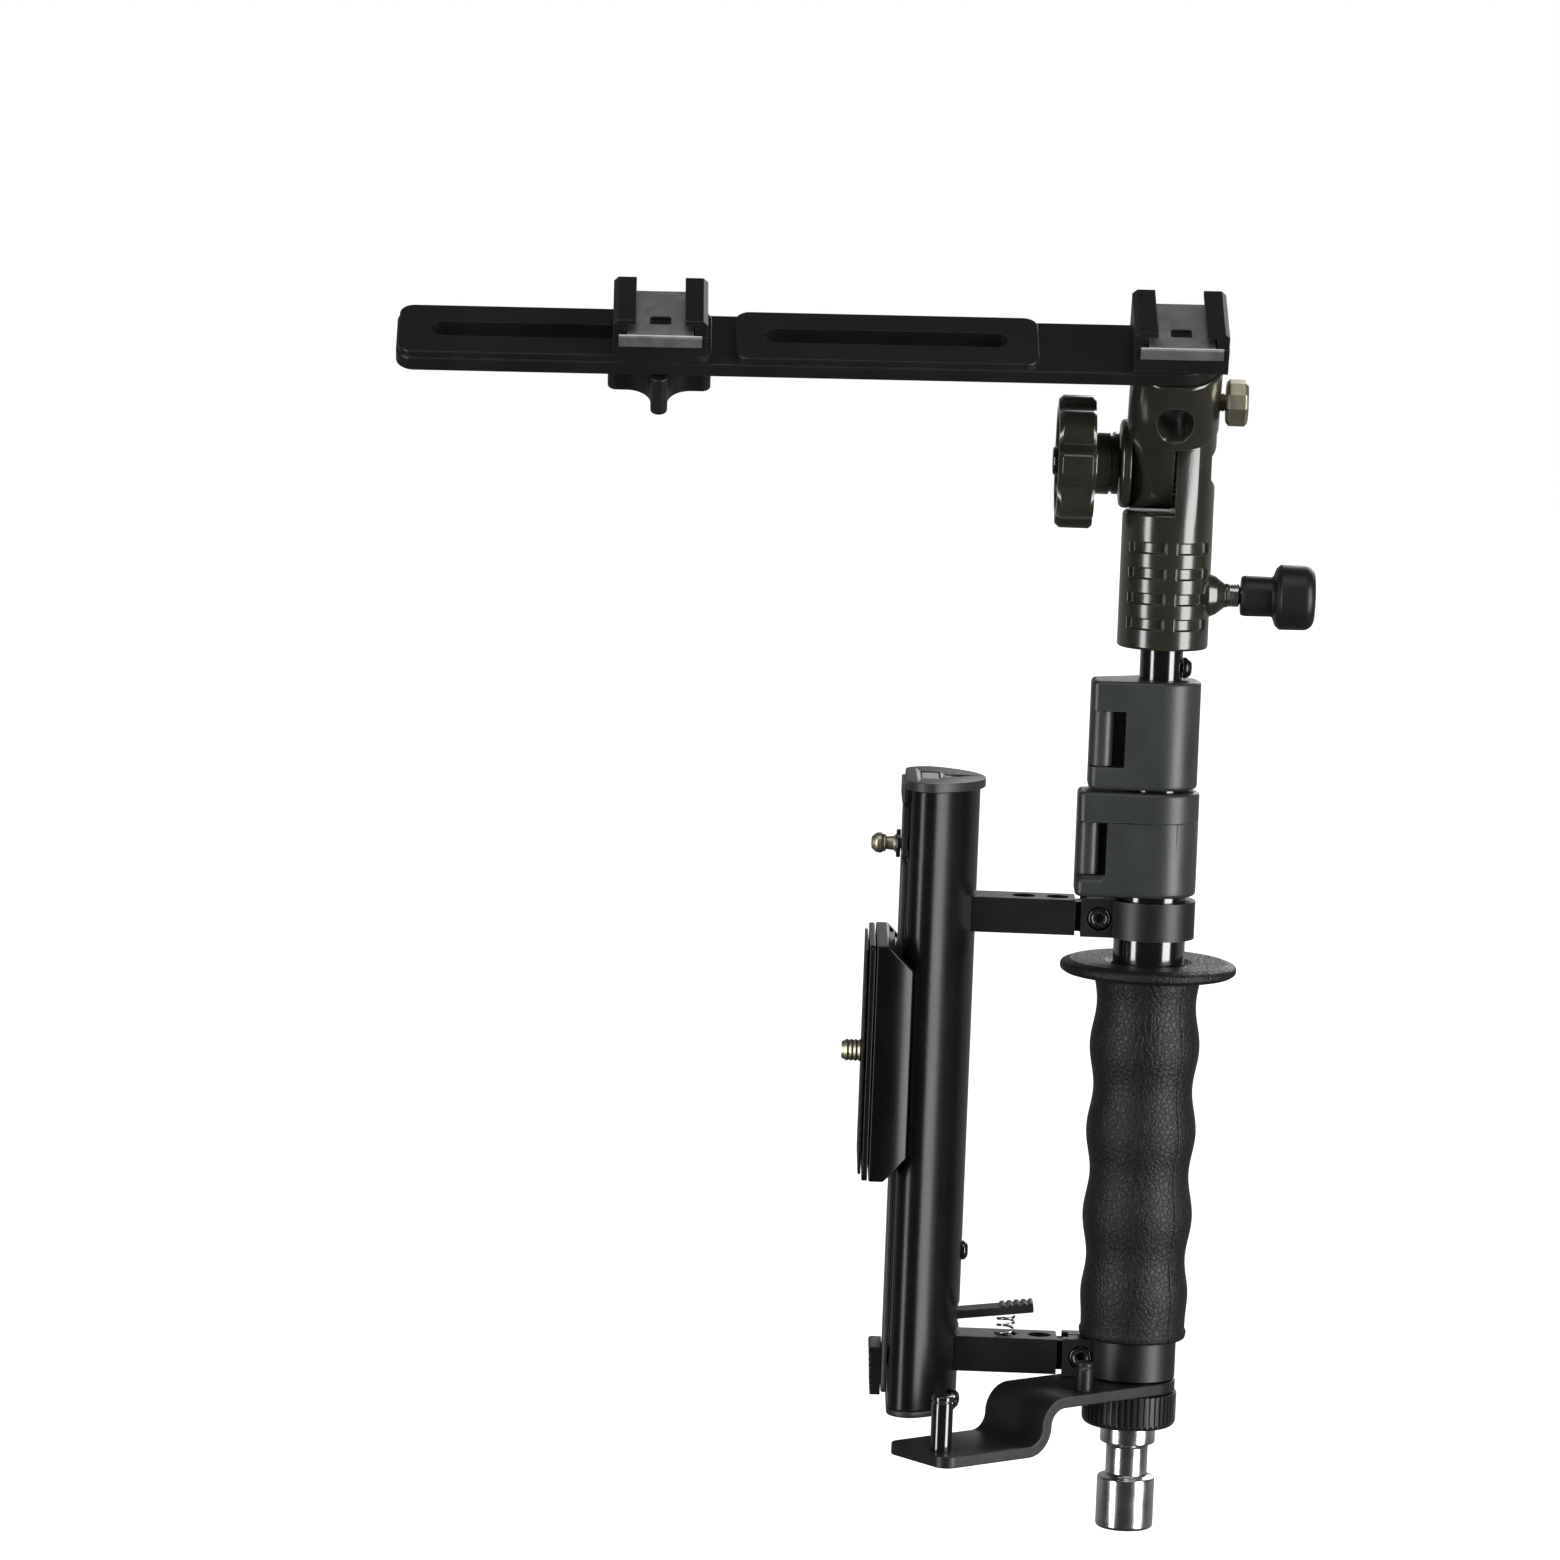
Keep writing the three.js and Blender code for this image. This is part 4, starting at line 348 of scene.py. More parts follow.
# %% Raised outline
def raised(name, outline, low, high):
    """Pushes a flat outline up from one height to another."""
    count = len(outline)
    points = [(x, y, low) for x, y in outline] + [(x, y, high) for x, y in outline]
    faces = [list(range(count)), list(range(count, 2 * count))]
    for i in range(count):
        after = (i + 1) % count
        faces.append([i, after, after + count, i + count])
    return solid(name, points, faces)


def block(name, low, high):
    """A box between two corners, for cutting and joining."""
    corners = [(low[0], low[1]), (high[0], low[1]), (high[0], high[1]), (low[0], high[1])]
    return raised(name, corners, low[2], high[2])


def rod(name, radius, low, high, steps=64):
    return turned(name, [(0, low), (radius, low), (radius, high), (0, high)], steps)

# %% Moving, cutting and rounding
along_x = Matrix.Rotation(math.pi / 2, 4, "Y")
along_y = Matrix.Rotation(math.pi / 2, 4, "X")


def moved(piece, x=0, y=0, z=0, turn=IN_PLACE):
    piece.data.transform(Matrix.Translation(Vector((x, y, z)) * MM) @ turn)
    return piece


def bake(piece):
    """Makes the result of the modifiers the piece's own mesh."""
    bpy.context.view_layer.update()
    graph = bpy.context.evaluated_depsgraph_get()
    finished = bpy.data.meshes.new_from_object(piece.evaluated_get(graph))
    piece.modifiers.clear()
    piece.data = finished
    return piece


def combine(piece, tools, operation):
    for tool in tools:
        modifier = piece.modifiers.new("boolean", "BOOLEAN")
        modifier.operation = operation
        modifier.solver = "EXACT"
        modifier.object = tool
        bake(piece)
        bpy.data.objects.remove(tool)
    return piece


def carve(piece, *tools):
    return combine(piece, tools, "DIFFERENCE")


def join(piece, *tools):
    return combine(piece, tools, "UNION")


def smooth(piece, angle=30):
    piece.data.shade_smooth()
    piece.data.set_sharp_from_angle(angle=math.radians(angle))
    return piece


def even_light(piece, angle=50):
    """Smooths the shading, but lets each large flat face keep its own direction."""
    smooth(piece, angle)
    weights = piece.modifiers.new("weights", "WEIGHTED_NORMAL")
    weights.keep_sharp = True
    return bake(piece)


def soften(piece, width, segments=3, angle=32):
    """Rounds every edge sharper than the angle, and keeps the flat faces flat in the light."""
    bevel = piece.modifiers.new("bevel", "BEVEL")
    bevel.width = width * MM
    bevel.segments = segments
    bevel.limit_method = "ANGLE"
    bevel.angle_limit = math.radians(angle)
    bevel.miter_outer = "MITER_ARC"
    bake(piece)
    return even_light(piece)

# %% [markdown]
# ## Dressing a piece
# A finished mesh gets its material and its place, rides on the body that carries it, and
# hides the frame node that it stands for. The count of pieces is kept and printed at the end.

# %% Dressing
record_slots = {part["node"]: part["material_slot"] for part in frame["record"]["subparts"]}
node_bodies = {}
for body, members in frame["record"]["behaviour"]["bodies"].items():
    for member in members:
        node_bodies[member] = body
dressed = []


def dress(piece, finish, node, placed=IN_PLACE, replaces=True):
    """Gives a piece its finish, its place and the body it moves with, and hides the node it stands for."""
    piece.data.materials.clear()
    piece.data.materials.append(finish)
    piece.matrix_world = placed
    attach(piece, node_bodies[node])
    if replaces:
        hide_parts(node)
    dressed.append(piece.name)
    print(piece.name, "in", finish.name, "rides on", node_bodies[node])
    return piece

# %% [markdown]
# ## Detail shared by the finishes
# Real surfaces differ at three scales: a fine grain, soft clouds where hands have rubbed, and
# brighter edges where the coat is thin. Each helper makes one of these from noise or from the
# mesh's own edges, and each finish below mixes them in its own way.

# %% Grain, clouds and edges
def place_on_piece(tree):
    return add_node(tree, "ShaderNodeTexCoord").outputs["Object"]


def noise(tree, place, size, detail=3.0, roughness=0.55):
    """Noise whose spots are about the given size in millimetres."""
    made = add_node(
        tree, "ShaderNodeTexNoise",
        {"Vector": place, "Scale": 1 / (size * MM), "Detail": detail, "Roughness": roughness},
    )
    return made.outputs["Fac"]


def span(tree, value, low, high, to_low, to_high):
    made = add_node(
        tree, "ShaderNodeMapRange",
        {"Value": value, "From Min": low, "From Max": high, "To Min": to_low, "To Max": to_high},
    )
    return made.outputs["Result"]


def math_node(tree, operation, first, second):
    made = add_node(tree, "ShaderNodeMath", {0: first, 1: second}, operation=operation)
    return made.outputs[0]


def tint(tree, share, first, second):
    """A colour between two colours."""
    made = add_node(tree, "ShaderNodeMix", data_type="RGBA")
    tree.links.new(share, made.inputs[0])
    for socket, colour in ((made.inputs[6], first), (made.inputs[7], second)):
        if isinstance(colour, bpy.types.NodeSocket):
            tree.links.new(colour, socket)
        else:
            socket.default_value = (*colour, 1)
    return made.outputs[2]


def worn_edges(tree, radius, low=0.99, high=0.88):
    """1 on edges sharper than the radius in millimetres, and 0 on open faces."""
    eased = add_node(tree, "ShaderNodeBevel", {"Radius": radius * MM}, samples=4)
    plain = add_node(tree, "ShaderNodeNewGeometry")
    agree = add_node(
        tree, "ShaderNodeVectorMath",
        {0: eased.outputs["Normal"], 1: plain.outputs["Normal"]}, operation="DOT_PRODUCT",
    )
    return span(tree, agree.outputs["Value"], low, high, 0, 1)


def bump(tree, height, depth, strength=1.0, below=None):
    """Raises the shading by a height from 0 to 1 times a depth in millimetres."""
    inputs = {"Height": height, "Distance": depth * MM, "Strength": strength}
    if below is not None:
        inputs["Normal"] = below
    return add_node(tree, "ShaderNodeBump", inputs).outputs["Normal"]


def new_finish(name):
    finish = bpy.data.materials.new(name)
    finish.use_nodes = True
    finish.node_tree.nodes.clear()
    return finish, finish.node_tree


def surface(tree, inputs):
    shader = add_node(tree, "ShaderNodeBsdfPrincipled", inputs)
    add_node(tree, "ShaderNodeOutputMaterial", {"Surface": shader.outputs["BSDF"]})
    return shader

# %% [markdown]
# ## Satin black anodising
# The column, clamps, arms and carriage are aluminium with a thin dyed oxide coat. It keeps the
# fine drawing lines of the bar under it, looks a little cloudy, and thins to grey on corners.
# Noise squeezed across the bar gives the drawing lines, and the bevel node finds the corners.
# The carriage gets a darker copy of the coat, which is painted shade.

# %% Satin black
def satin_coat(name, drawn, dark, light, rough, level):
    """Satin coat. drawn scales the noise, so that its lines run along the longest direction."""
    finish, tree = new_finish(name)
    place = place_on_piece(tree)
    stretched = add_node(tree, "ShaderNodeMapping", {"Vector": place, "Scale": drawn})
    lines = noise(tree, stretched.outputs["Vector"], 0.9, detail=4)
    grain = noise(tree, place, 0.16, detail=2)
    clouds = noise(tree, place, 22, detail=4, roughness=0.6)
    edges = worn_edges(tree, 0.35)
    scuffed = math_node(tree, "MULTIPLY", edges, span(tree, noise(tree, place, 2.6), 0.42, 0.66, 0.1, 1))
    body = tint(tree, span(tree, clouds, 0.3, 0.7, 0, 1), dark, light)
    coat = tint(tree, span(tree, scuffed, 0, 1, 0, 0.7), body, (0.060, 0.064, 0.062))
    rub = span(tree, clouds, 0.25, 0.75, rough - 0.02, rough + 0.025)
    rough_value = math_node(tree, "ADD", rub, span(tree, lines, 0.3, 0.7, -0.015, 0.015))
    drawn_bump = bump(tree, lines, 0.004)
    surface(tree, {
        "Base Color": coat,
        "Roughness": rough_value,
        "Specular IOR Level": level,
        "Normal": bump(tree, grain, 0.005, below=drawn_bump),
    })
    return finish


lines_upright = (1, 1, 0.05)
lines_across = (0.05, 1, 1)
lines_everywhere = (1, 1, 1)

satin_black = satin_coat(
    "satin_black_upright", lines_upright,
    dark=(0.0030, 0.0038, 0.0034), light=(0.0050, 0.0062, 0.0055), rough=0.24, level=0.26,
)
satin_black_arm = satin_coat(
    "satin_black_across", lines_across,
    dark=(0.0042, 0.0050, 0.0045), light=(0.0068, 0.0080, 0.0070), rough=0.38, level=0.4,
)
satin_turned = satin_coat(
    "satin_black_turned", lines_everywhere,
    dark=(0.0034, 0.0042, 0.0038), light=(0.0056, 0.0068, 0.0061), rough=0.42, level=0.5,
)
# Partly the rail's own grey coat and partly painted highlight: this copy is far lighter than the other satins.
satin_rail_grey_and_highlight = satin_coat(
    "satin_grey_rail_and_painted_highlight", lines_upright,
    dark=(0.0340, 0.0370, 0.0350), light=(0.0460, 0.0500, 0.0470), rough=0.42, level=0.5,
)
# Painted shade: a darker copy of the satin coat for the carriage, so that its flat faces look shaded.
satin_painted_shade = satin_coat(
    "satin_black_painted_shade", lines_upright,
    dark=(0.0012, 0.0016, 0.0014), light=(0.0022, 0.0027, 0.0024), rough=0.28, level=0.32,
)
print("satin coats made for the column, arms, clamps, rail and carriage")

# %% [markdown]
# ## Painted steel, gloss black and enamel
# The foot bar is bent steel with a thin satin paint that has rubbed through on its rim. The
# pins and tubes are gloss black. The head is die cast and sprayed with thick olive enamel, whose
# surface has the faint waves known as orange peel under a glassy skin.

# %% Painted steel
steel_black, tree = new_finish("painted_steel")
place = place_on_piece(tree)
clouds = noise(tree, place, 14, detail=4)
specks = noise(tree, place, 0.45, detail=3)
chips = span(tree, noise(tree, place, 1.8, detail=5, roughness=0.7), 0.5, 0.62, 0, 1)
rim = math_node(tree, "MULTIPLY", worn_edges(tree, 0.5), chips)
paint = tint(tree, span(tree, clouds, 0.3, 0.7, 0, 1), (0.0045, 0.0052, 0.0048), (0.0085, 0.0092, 0.0084))
surface(tree, {
    "Base Color": tint(tree, rim, paint, (0.17, 0.165, 0.15)),
    "Roughness": math_node(
        tree, "ADD", span(tree, clouds, 0.2, 0.8, 0.34, 0.47),
        span(tree, specks, 0.3, 0.7, -0.03, 0.05),
    ),
    "Specular IOR Level": 0.45,
    "Normal": bump(tree, specks, 0.02),
})

# %% Gloss black
gloss_black, tree = new_finish("gloss_black")
place = place_on_piece(tree)
clouds = noise(tree, place, 9, detail=3)
scratches = add_node(tree, "ShaderNodeMapping", {"Vector": place, "Scale": (1, 1, 0.04)})
fine = noise(tree, scratches.outputs["Vector"], 0.5, detail=3)
edge = worn_edges(tree, 0.3)
black = tint(tree, span(tree, clouds, 0.3, 0.7, 0, 1), (0.0028, 0.0032, 0.0030), (0.0055, 0.0062, 0.0058))
surface(tree, {
    "Base Color": tint(tree, span(tree, edge, 0, 1, 0, 0.7), black, (0.11, 0.112, 0.11)),
    "Roughness": math_node(
        tree, "ADD", span(tree, clouds, 0.2, 0.8, 0.10, 0.15),
        span(tree, fine, 0.35, 0.65, 0, 0.03),
    ),
    "Specular IOR Level": 0.75,
    "Coat Weight": 0.9,
    "Coat Roughness": 0.1,
    "Normal": bump(tree, fine, 0.0012),
})

# %% Olive black enamel
head_paint, tree = new_finish("olive_black_enamel")
place = place_on_piece(tree)
peel = noise(tree, place, 1.7, detail=2, roughness=0.45)
clouds = noise(tree, place, 12, detail=3)
dust = span(tree, noise(tree, place, 0.35, detail=1), 0.66, 0.74, 0, 1)
edge = worn_edges(tree, 0.4)
olive = tint(tree, span(tree, clouds, 0.3, 0.7, 0, 1), (0.0125, 0.0120, 0.0080), (0.0190, 0.0180, 0.0125))
lit = tint(tree, span(tree, edge, 0, 1, 0, 0.5), olive, (0.10, 0.096, 0.080))
surface(tree, {
    "Base Color": tint(tree, span(tree, dust, 0, 1, 0, 0.2), lit, (0.09, 0.09, 0.085)),
    "Roughness": span(tree, clouds, 0.2, 0.8, 0.19, 0.26),
    "Specular IOR Level": 0.55,
    "Coat Weight": 0.7,
    "Coat Roughness": 0.13,
    "Normal": bump(tree, peel, 0.02),
})

# %% [markdown]
# ## Moulded plastics
# The two pole locks are dark grey glass-filled nylon: matt, finely pitted, with faint flow marks.
# The knobs are black plastic, a little smoother. The same recipe serves both, with its own
# colour, pit size and roughness.

# %% Plastics
def moulded(name, dark, light, edge_colour, rough, pit_size, pit_depth, level):
    finish, tree = new_finish(name)
    place = place_on_piece(tree)
    pits = noise(tree, place, pit_size, detail=3, roughness=0.6)
    flow = add_node(
        tree, "ShaderNodeMapping",
        {"Vector": place, "Rotation": (0.2, 0.1, 0.6), "Scale": (1, 0.35, 0.6)},
    )
    marks = noise(tree, flow.outputs["Vector"], 11, detail=5, roughness=0.55)
    edges = worn_edges(tree, 0.4)
    shade = tint(tree, span(tree, marks, 0.3, 0.7, 0, 1), dark, light)
    pitted = tint(tree, span(tree, pits, 0.35, 0.6, 0.22, 0), shade, (0.004, 0.004, 0.004))
    rough_value = math_node(
        tree, "ADD", span(tree, marks, 0.2, 0.8, rough - 0.05, rough + 0.05),
        span(tree, pits, 0.3, 0.7, 0.04, -0.04),
    )
    surface(tree, {
        "Base Color": tint(tree, span(tree, edges, 0, 1, 0, 0.5), pitted, edge_colour),
        "Roughness": rough_value,
        "Specular IOR Level": level,
        "Normal": bump(tree, pits, pit_depth),
    })
    return finish


lock_plastic = moulded(
    "lock_nylon", dark=(0.0200, 0.0235, 0.0208), light=(0.0275, 0.0320, 0.0282),
    edge_colour=(0.080, 0.088, 0.080), rough=0.37, pit_size=0.3, pit_depth=0.016, level=0.5,
)
knob_plastic = moulded(
    "knob_plastic", dark=(0.0048, 0.0062, 0.0053), light=(0.0080, 0.0098, 0.0086),
    edge_colour=(0.045, 0.050, 0.046), rough=0.40, pit_size=0.4, pit_depth=0.012, level=0.4,
)
cap_plastic = moulded(
    "cap_plastic", dark=(0.014, 0.0165, 0.0148), light=(0.020, 0.023, 0.0205),
    edge_colour=(0.06, 0.065, 0.06), rough=0.42, pit_size=0.3, pit_depth=0.014, level=0.45,
)
print("plastics made for the locks, the knobs and the caps")

# %% [markdown]
# ## Leather-grained rubber
# The grip is soft rubber from a mould etched like leather: small rounded pebbles with thin
# valleys between them. Distance to the nearest Voronoi cell edge gives just that, at two sizes,
# and skin grease makes some patches smoother than others.

# %% Rubber
warp_reach = 0.0011
pebbles_per_metre = 640.0
crazing_per_metre = 1500.0

soft_rubber, tree = new_finish("grained_rubber")
place = place_on_piece(tree)
warp = add_node(tree, "ShaderNodeTexNoise", {"Vector": place, "Scale": 500.0, "Detail": 2.0})
shift = add_node(
    tree, "ShaderNodeVectorMath",
    {0: warp.outputs["Color"], 1: (0.5, 0.5, 0.5)}, operation="SUBTRACT",
)
shift_small = add_node(
    tree, "ShaderNodeVectorMath",
    {0: shift.outputs["Vector"], 3: warp_reach}, operation="SCALE",
)
bent = add_node(
    tree, "ShaderNodeVectorMath",
    {0: place, 1: shift_small.outputs["Vector"]}, operation="ADD",
)
pebbles = add_node(
    tree, "ShaderNodeTexVoronoi",
    {"Vector": bent.outputs["Vector"], "Scale": pebbles_per_metre}, feature="DISTANCE_TO_EDGE",
)
crazing = add_node(
    tree, "ShaderNodeTexVoronoi",
    {"Vector": bent.outputs["Vector"], "Scale": crazing_per_metre}, feature="DISTANCE_TO_EDGE",
)
domes = span(tree, pebbles.outputs["Distance"], 0, 0.22, 0, 1)
fine_domes = span(tree, crazing.outputs["Distance"], 0, 0.2, 0, 1)
handled = noise(tree, place, 17, detail=4, roughness=0.6)
skin = tint(tree, span(tree, handled, 0.3, 0.7, 0, 1), (0.0024, 0.0030, 0.0027), (0.0050, 0.0060, 0.0053))
surface(tree, {
    "Base Color": tint(tree, domes, (0.0024, 0.0028, 0.0025), skin),
    "Roughness": math_node(
        tree, "ADD", span(tree, handled, 0.25, 0.75, 0.36, 0.50),
        span(tree, domes, 0, 1, 0.12, 0),
    ),
    "Specular IOR Level": 0.38,
    "Normal": bump(tree, fine_domes, 0.025, below=bump(tree, domes, 0.085)),
})

# %% [markdown]
# ## Bright metals
# The stud is polished chrome with the lathe's fine rings. The ball stud, knurled screws and pins
# are nickel plated, warmer and duller. Springs are drawn or rolled steel, brushed along their
# length. A bright metal is mostly what it mirrors, so its rings and brush lines do the work.

# %% Metals
def bright_metal(name, dark, light, rough, ring_size, ring_depth, stretch):
    finish, tree = new_finish(name)
    place = place_on_piece(tree)
    pulled = add_node(tree, "ShaderNodeMapping", {"Vector": place, "Scale": stretch})
    rings = noise(tree, pulled.outputs["Vector"], ring_size, detail=4, roughness=0.65)
    haze = noise(tree, place, 5, detail=4)
    tone = math_node(
        tree, "MULTIPLY", span(tree, haze, 0.3, 0.7, 0.35, 1), span(tree, rings, 0.3, 0.7, 0.7, 1),
    )
    surface(tree, {
        "Base Color": tint(tree, tone, dark, light),
        "Metallic": 1.0,
        "Roughness": math_node(
            tree, "ADD", span(tree, haze, 0.2, 0.8, rough - 0.03, rough + 0.05),
            span(tree, rings, 0.3, 0.7, -0.02, 0.04),
        ),
        "Normal": bump(tree, rings, ring_depth),
    })
    return finish


chrome = bright_metal(
    "turned_chrome", dark=(0.58, 0.58, 0.56), light=(0.86, 0.87, 0.86),
    rough=0.19, ring_size=0.5, ring_depth=0.003, stretch=(0.02, 0.02, 1),
)
nickel = bright_metal(
    "nickel_plate", dark=(0.34, 0.32, 0.23), light=(0.60, 0.57, 0.43),
    rough=0.40, ring_size=0.5, ring_depth=0.005, stretch=(1, 0.05, 0.05),
)
spring_steel = bright_metal(
    "brushed_steel", dark=(0.46, 0.48, 0.45), light=(0.72, 0.75, 0.71),
    rough=0.40, ring_size=0.35, ring_depth=0.006, stretch=(1, 0.03, 1),
)
spring_wire_steel = bright_metal(
    "drawn_wire", dark=(0.34, 0.35, 0.34), light=(0.66, 0.68, 0.66),
    rough=0.28, ring_size=0.3, ring_depth=0.003, stretch=(1, 1, 1),
)
print("metals made for the stud, the screws, the spring plates and the coil")

# %% [markdown]
# The window in the column's cap is a piece of pale plastic. It is a little cloudy and very
# finely grained, so two noises are enough: one for its colour and one for its skin.

# %% Pale plastic
pale_plastic, tree = new_finish("pale_plastic")
place = place_on_piece(tree)
mottle = noise(tree, place, 3.5, detail=4)
fine = noise(tree, place, 0.25, detail=2)
surface(tree, {
    "Base Color": tint(tree, span(tree, mottle, 0.3, 0.7, 0, 1), (0.30, 0.315, 0.30), (0.40, 0.415, 0.395)),
    "Roughness": span(tree, fine, 0.3, 0.7, 0.32, 0.44),
    "Normal": bump(tree, fine, 0.01),
})

# %% [markdown]
# ## Foot: stud, lock nut and stepped bar
# The stud is a turned steel spigot with a waist, so that a clamp screw can hold it. Its profile
# is drawn as one line from the axis out and back, with rounded corners, and turned about Z.

# %% Chrome stud
stud_high = extent("stand_stud")[1]
stud_radius, stud_height = stud_high.x, stud_high.z
body_top = 14.4
waist_top = body_top + 9.9
waist_radius = 5.8
flange_radius = stud_radius - 0.35
stem_hole = 4.3
stem_depth = 6
stud_line = rounded([
    (0, 0), (stud_radius, 0, 1.0), (stud_radius, body_top, 0.6), (waist_radius, body_top + 0.6, 1.1),
    (waist_radius, waist_top - 0.6, 1.1), (flange_radius, waist_top, 0.5),
    (flange_radius, stud_height, 0.6), (stem_hole, stud_height),
    (stem_hole, stud_height - stem_depth), (0, stud_height - stem_depth),
], closed=False)
stud = smooth(turned("stand_stud_turned", stud_line, 128))
dress(stud, chrome, "stand_stud")
print("stud:", round(stud_radius * 2, 1), "mm across,", round(stud_height, 1), "mm tall")

# %% [markdown]
# The nut under the bar has flutes for the fingers. On the lathe it is a plain ring, so the
# turned maker gets a shape rule that pulls the surface in at each flute, and lets the flutes
# run out where the lower edge is rounded.

# %% Fluted nut
nut_low, nut_high = extent("foot_nut")
nut_radius = nut_high.x
nut_flutes = 48
flute_depth = 0.5
nut_round = 2.0


def fluted(angle, radius, height):
    """Sinks a groove at each flute. The grooves fade out towards the rounded lower edge."""
    wave = 0.5 + 0.5 * math.cos(nut_flutes * angle)
    groove = min(max((wave - 0.38) / 0.3, 0), 1)
    groove = groove * groove * (3 - 2 * groove)
    fade = min(max((height - nut_low.z - 0.9) / 0.9, 0), 1)
    return radius - flute_depth * groove * fade if radius > nut_radius - nut_round else radius


nut_line = rounded([
    (stem_hole, nut_low.z), (nut_radius, nut_low.z, nut_round),
    (nut_radius, nut_high.z, 0.3), (stem_hole, nut_high.z),
], closed=False, steps=10)
nut = smooth(turned("foot_nut_fluted", nut_line, nut_flutes * 12, fluted), 28)
dress(nut, knob_plastic, "foot_nut")
print("nut:", round(2 * nut_radius, 1), "mm across,", nut_flutes, "flutes")

# %% [markdown]
# The bar is a strip of steel bent twice in a press, like a step. Its side view is drawn with the
# two bends as arcs, pushed to the full width, and trimmed to the plan: a round end about the
# pole and two rounded corners at the tip. The swing of the bar is read from where its pin is.

# %% Stepped foot bar
bar_width = 25.0
bar_thickness = 3.3
bar_reach = 77.5
riser_reach = 40.6
bar_corner = 4.0
tall_pin_side = 4.5
pin_low, pin_high = extent("foot_bar_pin")
pin_middle = (pin_low + pin_high) / 2
pin_turn = math.atan2(pin_middle.y, pin_middle.x)
bar_turn = pin_turn - math.asin(tall_pin_side / math.hypot(pin_middle.x, pin_middle.y))
bar_placed = Matrix.Rotation(bar_turn, 4, "Z")
bar_low, bar_high = extent("foot_bar", bar_placed)
bar_drop = bar_high.z - bar_low.z - bar_thickness
bend = bar_drop / 2
bar_middle = bar_high.z - bar_thickness / 2
step_middle = bar_middle - bend
half_thick = bar_thickness / 2

bar_side = [(-bar_width, bar_high.z)]
bar_side += arc(riser_reach - bend, step_middle, bend + half_thick, 90, 0)
bar_side += arc(riser_reach + bend, step_middle, bend - half_thick, 180, 270)
bar_side += [(bar_reach + bar_width, bar_low.z + bar_thickness), (bar_reach + bar_width, bar_low.z)]
bar_side += arc(riser_reach + bend, step_middle, bend + half_thick, 270, 180)
bar_side += arc(riser_reach - bend, step_middle, bend - half_thick, 0, 90)
bar_side += [(-bar_width, bar_high.z - bar_thickness)]
foot_bar = moved(raised("foot_bar_bent", bar_side, -bar_width, bar_width), turn=along_y)

half_bar = bar_width / 2
plan = arc(0, 0, half_bar, 90, 270, 48)
plan += arc(bar_reach - bar_corner, bar_corner - half_bar, bar_corner, -90, 0, 12)
plan += arc(bar_reach - bar_corner, half_bar - bar_corner, bar_corner, 0, 90, 12)
combine(foot_bar, [raised("plan", plan, 0, 60)], "INTERSECT")
carve(foot_bar, rod("stem", stem_hole, 0, 60))
soften(foot_bar, 0.45, angle=40)
dress(foot_bar, steel_black, "foot_bar", bar_placed)
print("bar swung to", round(math.degrees(bar_turn), 1), "degrees")

# %% [markdown]
# Two round pins stand on the bar. Each is turned, with a rounded crown and a shallow ring under
# it, and its thin tenon goes into the bar and is riveted there.

# %% Bar pins
tenon_radius = 1.6
rivet_share = 0.72


def bar_pin(name, node, radius, crown, finish, ring):
    low, high = extent(node, bar_placed)
    middle = (low + high) / 2
    foot = low.z + bar_thickness
    rivet = radius * rivet_share
    groove = high.z - ring
    line = rounded([
        (0, low.z - 0.2), (rivet, low.z - 0.2, 0.4), (rivet, low.z, 0.1),
        (tenon_radius, low.z + 0.1), (tenon_radius, foot), (radius, foot, 0.2), (radius, groove - 0.7),
        (radius - 0.3, groove - 0.45, 0.1), (radius - 0.3, groove - 0.15, 0.1), (radius, groove + 0.1),
        (radius, high.z, crown), (0, high.z),
    ], closed=False)
    pin = smooth(turned(name, line, 64), 35)
    moved(pin, middle.x, middle.y)
    return dress(pin, finish, node, bar_placed)


bar_pin("foot_bar_tall_pin", "foot_bar_pin", 2.95, 0.9, gloss_black, 1.3)
bar_pin("foot_bar_stop_pin", "foot_bar_stub", 2.5, 0.8, steel_black, 1.1)

# %% [markdown]
# ## Handle: tube, grip and clamps
# The handle tube is a plain gloss tube, but its edges are chamfered, so it is turned as a closed
# ring. The grip is moulded over it. Its waves fit four fingers, so the radius follows a cosine
# of the height between a plain foot lip and the round guard flange. The mould had two halves,
# and a thin line runs down each side of the rubber where they met.

# %% Handle tube
def tube(name, node, wall, finish):
    low, high = extent(node)
    line = rounded([
        (high.x - wall, low.z, 0.3), (high.x, low.z, 0.4),
        (high.x, high.z, 0.4), (high.x - wall, high.z, 0.3),
    ])
    return dress(smooth(turned(name, line, 128)), finish, node)


tube("handle_tube_turned", "handle_tube", 1.4, gloss_black)

# %% [markdown]
# The line of the grip starts with the foot lip, takes sixty steps up the waves, and ends with
# the guard flange. The waves grow from nothing over the first steps, so the lip runs into them
# without a kink. The mould line is cut by a shape rule, one step of the round wide.

# %% Hand grip
grip_low, grip_high = extent("hand_grip")
guard_radius = grip_high.x
guard_thickness = 3.8
grip_mean = 14.5
grip_swell = 0.74
swell_pitch = 23.8
first_crest = 10.5
lip_height = 3.0
lip_radius = 14.95
grip_bore = 10.2
grip_top = grip_high.z - guard_thickness
grip_steps = 60
ease_steps = 8

